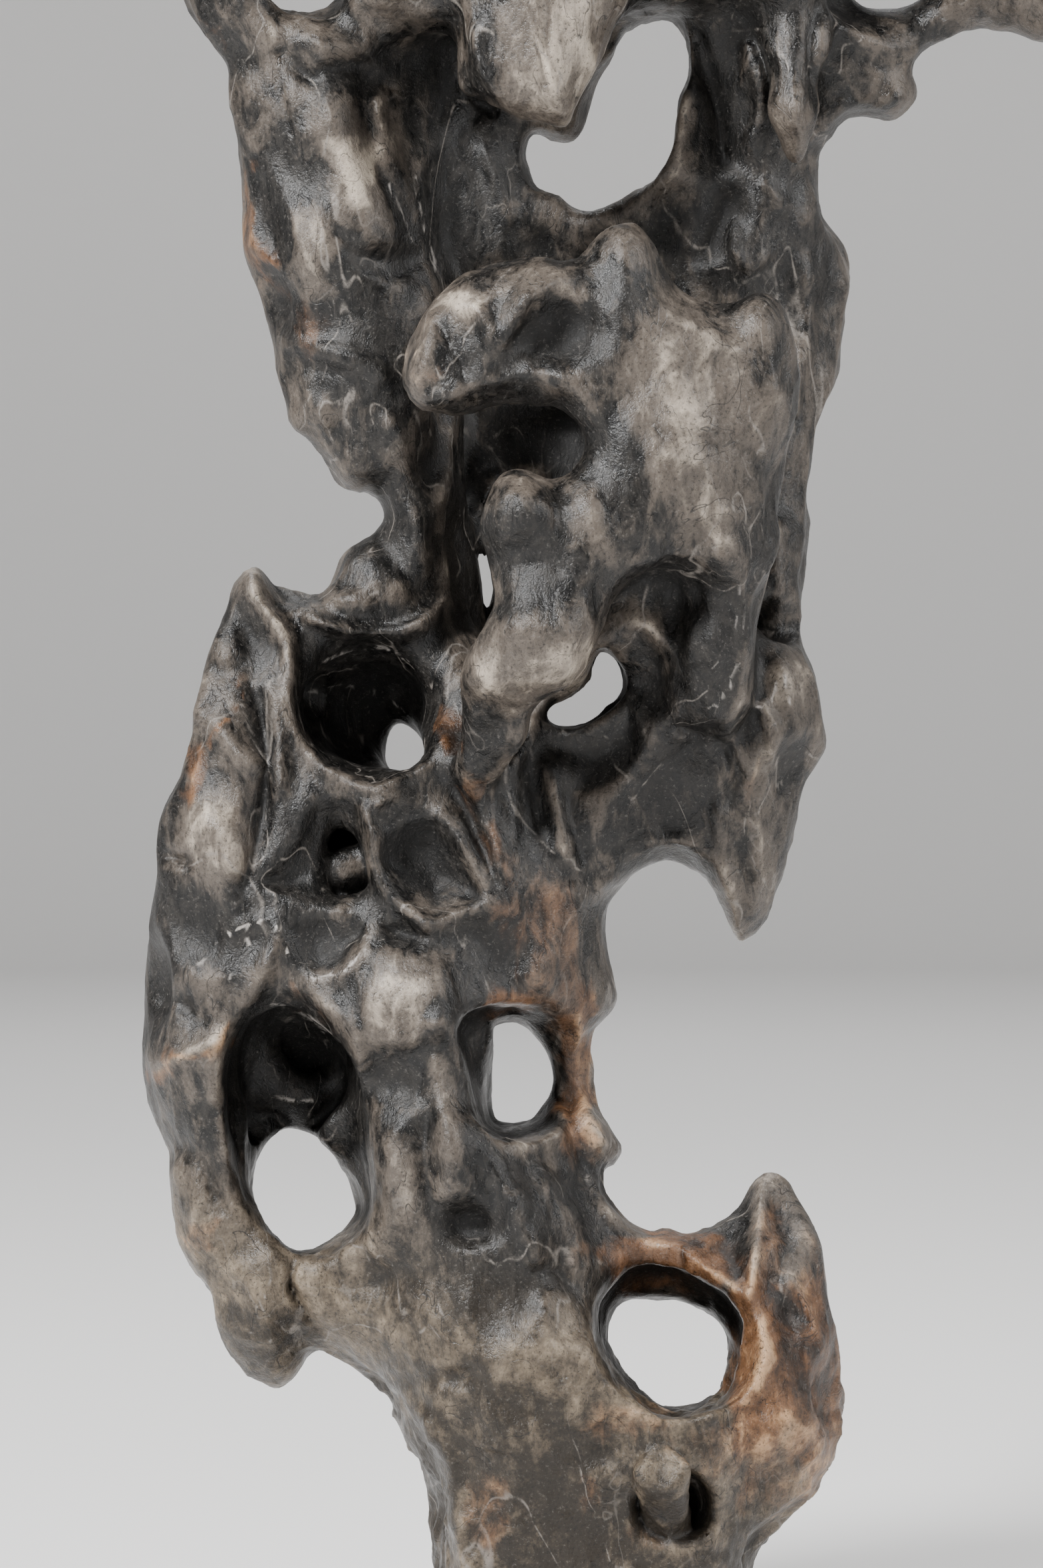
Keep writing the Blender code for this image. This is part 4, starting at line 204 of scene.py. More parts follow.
class Stone:
    """The stone as a field of distances on a grid: below zero is stone."""

    def __init__(self, cell):
        self.cell = cell
        self.x, self.y, self.z = (
            np.arange(low, high, cell).astype(np.float32) for low, high in zip(LOW, HIGH)
        )
        self.field = np.full((len(self.x), len(self.y), len(self.z)), FAR, np.float32)
        axes = (self.x, self.y, self.z)
        self.sway_x = swell(axes, 26, 11) * SWAY_ACROSS
        self.sway_y = swell(axes, (44, 70, 54), 12) * SWAY_DEPTH
        self.sway_z = swell(axes, 28, 13) * SWAY_ACROSS

    def block(self, low, high):
        """The slices of the grid that hold a box, and the coordinates there, shaped to combine."""
        slices = []
        for axis, near, far in zip((self.x, self.y, self.z), low, high):
            first = np.searchsorted(axis, near)
            slices.append(slice(first, max(np.searchsorted(axis, far), first)))
        x = self.x[slices[0]][:, None, None]
        y = self.y[slices[1]][None, :, None]
        z = self.z[slices[2]][None, None, :]
        return tuple(slices), x, y, z

    def add(self, slices, distance, blend):
        """Joins on what lies below zero in distance, with a fillet as wide as blend."""
        here = self.field[slices]
        near = np.clip(blend - np.abs(here - distance), 0, None)
        self.field[slices] = np.minimum(here, distance) - near**2 / (4 * blend)

    def cut(self, slices, distance, blend):
        """Takes away what lies below zero in distance, with its edges rounded over blend."""
        here = self.field[slices]
        near = np.clip(blend - np.abs(here + distance), 0, None)
        self.field[slices] = np.maximum(here, -distance) + near**2 / (4 * blend)

    def plate(self, corners, depths, edge, blend):
        """A mass with this outline and these depths; edge is how far its rim is rounded."""
        box = np.array(corners, float)
        low, high = box.min(axis=0) - FAR / 3, box.max(axis=0) + FAR / 3
        slices, x, y, z = self.block((low[0], LOW[1], low[1]), (high[0], HIGH[1], high[1]))
        flat_x, flat_z = x[:, 0, :], z[:, 0, :]
        rim = outline_distance(flat_x, flat_z, corners).astype(np.float32)
        middle, half = spread(flat_x, flat_z, depths)
        rim = rim[:, None, :]
        half = half[:, None, :]
        depth = np.abs(y + self.sway_y[slices] - middle[:, None, :]) - half
        turn = np.minimum(edge, half)
        over = np.sqrt(np.clip(rim + turn, 0, None) ** 2 + np.clip(depth + turn, 0, None) ** 2)
        distance = over - turn + np.minimum(np.maximum(rim + turn, depth + turn), 0)
        self.add(slices, distance, blend)

    def through(self, corners, back, blend):
        """An opening with this outline, from in front of the stone to y = back."""
        box = np.array(corners, float)
        room = blend + 4
        low, high = box.min(axis=0) - room, box.max(axis=0) + room
        near, far = (low[0], IN_FRONT - blend, low[1]), (high[0], back + blend, high[1])
        slices, x, y, z = self.block(near, far)
        rim = outline_distance(x[:, 0, :], z[:, 0, :], corners).astype(np.float32)[:, None, :]
        ends = np.maximum(IN_FRONT - y, y - back)
        self.cut(slices, smooth_larger(rim, ends, blend), blend)

    def limb(self, balls, blend, cutting=False):
        """Round limb through the balls (x, y, z, radius); a cutting one is taken away."""
        for start, end in zip(balls[:-1], balls[1:]):
            start, end = np.array(start, float), np.array(end, float)
            room = max(start[3], end[3]) + blend + 2 * self.cell
            low = np.minimum(start, end)[:3] - room
            high = np.maximum(start, end)[:3] + room
            slices, x, y, z = self.block(low, high)
            x, z = x + self.sway_x[slices], z + self.sway_z[slices]
            way = end[:3] - start[:3]
            along = (x - start[0]) * way[0] + (y - start[1]) * way[1] + (z - start[2]) * way[2]
            along = np.clip(along / (way @ way + 1e-9), 0, 1)
            gap = (x - start[0] - along * way[0]) ** 2
            gap = gap + (y - start[1] - along * way[1]) ** 2
            gap = gap + (z - start[2] - along * way[2]) ** 2
            distance = np.sqrt(gap) - (start[3] + along * (end[3] - start[3]))
            if cutting:
                self.cut(slices, distance, blend)
            else:
                self.add(slices, distance, blend)

    def rod(self, root, tip, radius, blend):
        """A straight round rod with flat ends."""
        root, way = np.array(root, float), np.subtract(tip, root).astype(float)
        length = np.linalg.norm(way)
        room = radius + length + blend + 2 * self.cell
        slices, x, y, z = self.block(root - room, root + room)
        x, y, z = x - root[0], y - root[1], z - root[2]
        along = (x * way[0] + y * way[1] + z * way[2]) / length
        off = np.sqrt(np.clip(x**2 + y**2 + z**2 - along**2, 0, None))
        ends = np.abs(along - length / 2) - length / 2
        self.add(slices, smooth_larger(off - radius, ends, blend), blend)

    def hollow(self, centre, radii, blend):
        """Takes away an egg with these radii."""
        centre, radii = np.array(centre, float), np.array(radii, float)
        room = 1.4 * radii.max() + 1.5 * blend + 2 * self.cell
        slices, x, y, z = self.block(centre - room, centre + room)
        x, z = x + self.sway_x[slices], z + self.sway_z[slices]
        away = (x - centre[0], y - centre[1], z - centre[2])
        share = np.sqrt(sum((gap / radius) ** 2 for gap, radius in zip(away, radii))) + 1e-6
        slope = np.sqrt(sum((gap / radius**2) ** 2 for gap, radius in zip(away, radii)))
        self.cut(slices, share * (share - 1) / (slope + 1e-6), blend)

    def carve(self, face, folds=(), bowls=(), basins=()):
        """Lifts or sinks the skin of this face, fading out below the skin."""
        axis, last = FACES[face]
        field = np.moveaxis(self.field, axis, 2)
        field = field[:, :, ::-1] if last else field
        a, b = (places for n, places in enumerate((self.x, self.y, self.z)) if n != axis)
        a, b = a[:, None], b[None, :]
        lift = np.zeros(field.shape[:2], np.float32)
        for points in folds:
            lift += fold_lift(a, b, points)
        for bowl in bowls:
            lift -= bowl_depth(a, b, *bowl)
        for deep, rim, corners in basins:
            lift -= basin_depth(a, b, deep, rim, corners)
        inside = field < 0
        skin = inside.argmax(axis=2) * self.cell
        lift = np.where(inside.any(axis=2), lift, 0)
        along = (np.arange(field.shape[2]) * self.cell)[None, :]
        for row in np.flatnonzero(np.abs(lift).max(axis=1) > 0.01):
            fade = ease(1 - np.abs(along - skin[row][:, None]) / SKIN_DEPTH)
            place = along / self.cell + lift[row][:, None] * fade / self.cell
            place = np.clip(place, 0, field.shape[2] - 1.001)
            whole = place.astype(int)
            near = np.take_along_axis(field[row], whole, 1)
            far = np.take_along_axis(field[row], whole + 1, 1)
            field[row] = near + (far - near) * (place - whole)

    def keep_within(self, outline):
        """Takes off whatever has grown past an outline taken earlier, as seen from the front."""
        slices = (slice(None),) * 3
        self.cut(slices, -outline[:, None, :], 3.0)

    def soften(self, reach):
        """Wears every edge down: each value becomes the mean of those within reach, three times."""
        steps = max(1, round(reach / self.cell))
        for axis in (0, 1, 2) * 3:
            total = self.field.copy()
            for step in range(1, steps + 1):
                total += shifted(self.field, axis, step) + shifted(self.field, axis, -step)
            self.field = total / (2 * steps + 1)

    def roughen(self, spacing, height, seed):
        """Soft swellings this far apart over the whole surface."""
        self.field -= height * swell((self.x, self.y, self.z), spacing, seed)

    def crease(self, spacing, height, seed, below=FAR_ABOVE):
        """Winding crests with shallow dishes between them, from the foot up to about this level."""
        random = swell((self.x, self.y, self.z), spacing, seed)
        fade = ease((below - self.z) / CREASE_FADE)[None, None, :]
        self.field -= height * fade * np.clip(1 - CREASE_SHARPNESS * np.abs(random), 0, 1) ** 2


def shifted(values, axis, step):
    """The values moved along an axis, with the last layer repeated at the end."""
    moved = np.roll(values, step, axis)
    ends, source = [slice(None)] * 3, [slice(None)] * 3
    if step > 0:
        ends[axis], source[axis] = slice(0, step), slice(0, 1)
    else:
        ends[axis], source[axis] = slice(step, None), slice(-1, None)
    moved[tuple(ends)] = values[tuple(source)]
    return moved


def smooth_larger(a, b, blend):
    """The larger of two distances, rounded where they meet."""
    near = np.clip(blend - np.abs(a - b), 0, None)
    return np.maximum(a, b) + near**2 / (4 * blend)


def ease(share):
    """From 0 to 1 with a soft start and a soft end."""
    share = np.clip(share, 0, 1)
    return share * share * (3 - 2 * share)


def fold_lift(a, b, points):
    """A fold along the points (a, b, width, lift): a crest, or a crease where lift is negative."""
    points = np.array(points, float)
    nearest = np.full(np.broadcast(a, b).shape, VERY_FAR)
    lift = np.zeros(nearest.shape)
    for start, end in zip(points[:-1], points[1:]):
        way = end - start
        along = ((a - start[0]) * way[0] + (b - start[1]) * way[1]) / (way[:2] @ way[:2])
        along = np.clip(along, 0, 1)
        gap = (a - start[0] - along * way[0]) ** 2 + (b - start[1] - along * way[1]) ** 2
        gap = gap / (start[2] + along * way[2]) ** 2
        closer = gap < nearest
        lift = np.where(closer, (start[3] + along * way[3]) / (1 + gap) ** 1.5, lift)
        nearest = np.where(closer, gap, nearest)
    return lift * ease(1 - np.sqrt(nearest) / FOLD_REACH)


def bowl_depth(a, b, at_a, at_b, wide, high, deep, lean=0.0):
    """A round bowl with this half width, half height and depth, leaning by degrees."""
    turn = np.radians(lean)
    across = ((a - at_a) * np.cos(turn) + (b - at_b) * np.sin(turn)) / wide
    up = ((b - at_b) * np.cos(turn) - (a - at_a) * np.sin(turn)) / high
    return deep * np.exp(-((across**2 + up**2) ** 1.5))


def basin_depth(a, b, deep, rim, corners):
    """A basin inside an outline; its wall falls to the full depth over about rim."""
    box = np.array(corners, float)
    low, high = box.min(axis=0) - 4, box.max(axis=0) + 4
    rows = slice(*np.searchsorted(a[:, 0], (low[0], high[0])))
    columns = slice(*np.searchsorted(b[0], (low[1], high[1])))
    depth = np.zeros(np.broadcast(a, b).shape)
    inward = -outline_distance(a[rows], b[:, columns], corners) / rim
    depth[rows, columns] = deep * (1 - np.exp(-np.clip(inward, 0, None) ** 1.5))
    return depth


def spread(x, z, depths):
    """Middle and half depth at each (x, z), eased between the given points."""
    total, middle, half = 0.0, 0.0, 0.0
    for at_x, at_z, at_middle, at_half in depths:
        weight = 1 / ((x - at_x) ** 2 + (z - at_z) ** 2 + DEPTH_BLEND) ** 2
        total = total + weight
        middle = middle + weight * at_middle
        half = half + weight * at_half
    return (middle / total).astype(np.float32), (half / total).astype(np.float32)


def swell(axes, spacing, seed):
    """Smooth random values from about -1 to 1 on the grid of the axes, this far apart."""
    spacings = np.broadcast_to(spacing, 3)
    sizes = [int((HIGH[i] - LOW[i]) / spacings[i]) + 5 for i in range(3)]
    values = np.random.RandomState(seed).uniform(-1, 1, sizes).astype(np.float32)
    for i, axis in enumerate(axes):
        place = (axis - LOW[i]) / spacings[i] + 1
        whole = np.floor(place).astype(int)
        t = place - whole
        weights = np.zeros((len(axis), sizes[i]), np.float32)
        rows = np.arange(len(axis))
        weights[rows, whole - 1] = (1 - t) ** 3 / 6
        weights[rows, whole] = (3 * t**3 - 6 * t**2 + 4) / 6
        weights[rows, whole + 1] = (-3 * t**3 + 3 * t**2 + 3 * t + 1) / 6
        weights[rows, whole + 2] = t**3 / 6
        values = np.moveaxis(np.tensordot(weights, values, (1, i)), 0, i)
    return values * SWELL_GAIN


# Depths of each mass: (x, z, middle y, half depth), blended in between.
MAIN_DEPTHS = [
    (-126, 412, -8, 12), (-134, 380, -8, 24), (-150, 340, -6, 34), (-150, 300, -2, 40),
    (-150, 255, -4, 40), (-148, 215, -6, 36), (-146, 180, -8, 30), (-128, 145, -10, 30),
    (-118, 124, -6, 18), (-95, 150, -6, 44), (-85, 320, 0, 44), (-60, 400, 5, 30),
    (-50, 300, 0, 46), (-60, 260, -8, 50), (-60, 200, -8, 54), (-30, 180, -6, 52),
    (-60, 130, -4, 56), (-20, 120, -6, 62), (-20, 280, 2, 40), (0, 270, 4, 30), (-6, 235, 6, 24),
    (0, 210, 2, 28), (10, 195, 0, 34), (0, 340, 6, 36), (40, 340, 6, 28), (20, 360, 14, 34),
    (62, 310, 6, 20), (56, 288, 4, 10), (75, 350, 10, 36), (30, 170, -4, 38), (68, 190, 2, 16),
    (72, 160, -2, 34), (78, 120, -4, 46), (30, 95, -6, 60), (-30, 60, -2, 58), (30, 60, -2, 56),
    (0, 0, 0, 60), (-50, 10, 0, 46), (50, 10, 0, 46), (70, 75, -2, 44),
]
COLUMN_DEPTHS = [
    (-120, 650, 6, 40), (-110, 600, 6, 38), (-125, 560, 6, 32), (-90, 550, 2, 36),
    (-85, 505, 6, 33), (-75, 470, 6, 26), (-64, 447, 4, 20), (-75, 425, 4, 26), (-100, 412, 0, 20),
    (-60, 400, 6, 30), (-45, 470, 26, 12), (-45, 440, 26, 13), (-44, 410, 24, 14),
    (-50, 560, 20, 20), (-54, 600, 18, 22),
]
BACK_DEPTHS = [
    (-50, 640, 30, 20), (-45, 590, 30, 15), (-45, 555, 30, 17), (-10, 552, 34, 15),
    (50, 630, 30, 26), (60, 590, 30, 24), (62, 550, 34, 32), (86, 540, 50, 24), (50, 500, 38, 30),
    (0, 500, 50, 22), (-20, 470, 60, 14), (-40, 500, 52, 16), (40, 450, 30, 36), (72, 460, 32, 30),
    (70, 420, 26, 28), (74, 380, 12, 36), (40, 390, 20, 30), (5, 410, 36, 26), (-22, 410, 38, 18),
    (0, 350, 16, 30), (60, 345, 10, 32),
]
PLATE_DEPTHS = [
    (-58, 505, -58, 22), (-30, 525, -56, 24), (-25, 495, -60, 14), (-5, 510, -54, 28),
    (12, 545, -62, 14), (30, 510, -58, 24), (64, 520, -62, 14), (60, 480, -54, 24),
    (30, 470, -50, 34), (10, 440, -54, 32), (-28, 448, -70, 18), (-20, 425, -68, 22),
    (-20, 400, -74, 24), (-35, 388, -72, 18), (-42, 360, -50, 18), (50, 440, -46, 30),
    (53, 400, -34, 22), (54, 380, -28, 18),
]
FINGER_DEPTHS = [
    (-40, 715, -4, 16), (10, 715, -4, 16), (-40, 680, -8, 34), (0, 680, -8, 34),
    (-40, 635, -24, 30), (0, 635, -26, 26), (-20, 605, -34, 18), (-10, 592, -36, 9),
]
CROWN_DEPTHS = [
    (-130, 640, 6, 38), (-108, 690, 6, 34), (-60, 720, 2, 44), (-20, 740, 0, 38), (0, 690, 4, 56),
    (-50, 670, 4, 50), (30, 660, 14, 48), (70, 690, 16, 42), (60, 640, 20, 40), (100, 612, 26, 22),
    (110, 680, 22, 26), (160, 665, 22, 20), (180, 660, 22, 16), (-20, 640, -4, 46),
]
OVERHANG_DEPTHS = [
    (30, 415, -22, 24), (40, 435, -40, 30), (50, 400, -34, 24), (20, 380, -6, 22),
    (45, 375, -24, 22), (0, 372, -4, 24), (0, 400, -20, 26),
]

# Openings: (x, z) round what shows through them, and round the wider mouths in front of them.
TOP_LEFT_RING = [
    (-124, 650), (-122, 641), (-117, 636), (-110, 634), (-101, 634.5), (-95, 639), (-92, 648),
    (-93, 660), (-99, 671), (-108, 675), (-117, 669), (-122, 660),
]
TOP_RIGHT_RING = [
    (94, 646), (97, 639), (103, 635), (112, 634), (122, 635.5), (130, 640), (132, 648), (129, 660),
    (118, 666), (106, 665), (97, 658),
]
TOP_RIGHT_MOUTH = [
    (86, 642), (90, 634), (98, 629.5), (108, 628.5), (120, 631), (129, 637), (134, 645), (133, 657),
    (124, 667), (110, 670), (97, 665), (88, 655),
]
TOP_WINDOW = [
    (29, 632), (13, 628), (7, 619), (2, 609), (-2, 599), (-5, 590), (-10, 587), (-16, 589),
    (-22, 590), (-25, 584), (-25, 577), (-22, 569), (-12, 564), (-2, 560.5), (8, 563), (16, 568),
    (25.5, 574), (30.5, 582), (32.5, 592), (33.5, 602), (37, 612), (36.5, 622), (34, 629),
]
MIDDLE_WINDOW = [
    (4, 395.5), (9, 393), (12.5, 387), (12, 379), (5.5, 372), (-4.5, 367), (-13, 366.5), (-18, 370),
    (-16, 375.5), (-7, 379), (-2, 384), (0.5, 390),
]
LEFT_MOUTH = [
    (-109, 402), (-110, 392), (-108.5, 378), (-104.5, 364), (-97, 354), (-84, 349), (-72, 351),
    (-62, 359), (-54, 371), (-52, 384), (-56, 396), (-66, 402), (-80, 400.5), (-95, 401),
]
LEFT_SKY = [
    (-77, 362), (-73, 368), (-67, 367), (-62, 362), (-60, 356), (-64, 351), (-70, 348), (-76, 350),
    (-78, 356),
]
LOW_LEFT_MOUTH = [
    (-114, 264), (-126, 260), (-135, 250), (-138, 234), (-136, 215), (-131, 199), (-126, 189),
    (-121, 179), (-114, 172), (-107, 169.5), (-98, 172), (-90, 179), (-85, 187), (-84, 199),
    (-86, 229), (-90, 240), (-96, 250), (-104, 259),
]
LOW_LEFT_SKY = [
    (-127, 197), (-123, 208), (-116, 214), (-108, 213), (-99, 208), (-92, 200), (-88, 190),
    (-87, 184), (-91, 178), (-98, 172), (-107, 169.5), (-114, 172), (-121, 179), (-126, 189),
]
CENTRE_WINDOW = [
    (-38, 254), (-33, 256), (-27, 255.5), (-20.5, 250.5), (-15, 243), (-12.5, 233), (-14, 225),
    (-19, 219.5), (-28, 216.5), (-36, 217), (-39, 224), (-39, 240),
]
CENTRE_MOUTH = [
    (-46, 262), (-36, 264), (-22, 262), (-12, 255), (-9, 243), (-9, 230), (-12, 219), (-24, 214),
    (-36, 215), (-42, 226), (-49, 243), (-52, 254),
]
RING_WINDOW = [
    (7, 138), (9, 147), (16, 151), (29, 150.5), (40, 147), (48, 142), (51, 134), (50, 125),
    (48, 117), (43, 113), (34, 111), (25.5, 112), (19, 117), (12, 125), (8, 132),
]
RING_MOUTH = [
    (2, 147), (4, 154), (13, 165), (28, 164.5), (43, 158), (53, 151), (57.5, 139), (56, 127),
    (48, 115), (33, 110.5), (20.5, 115), (12, 124.5), (4, 136),
]

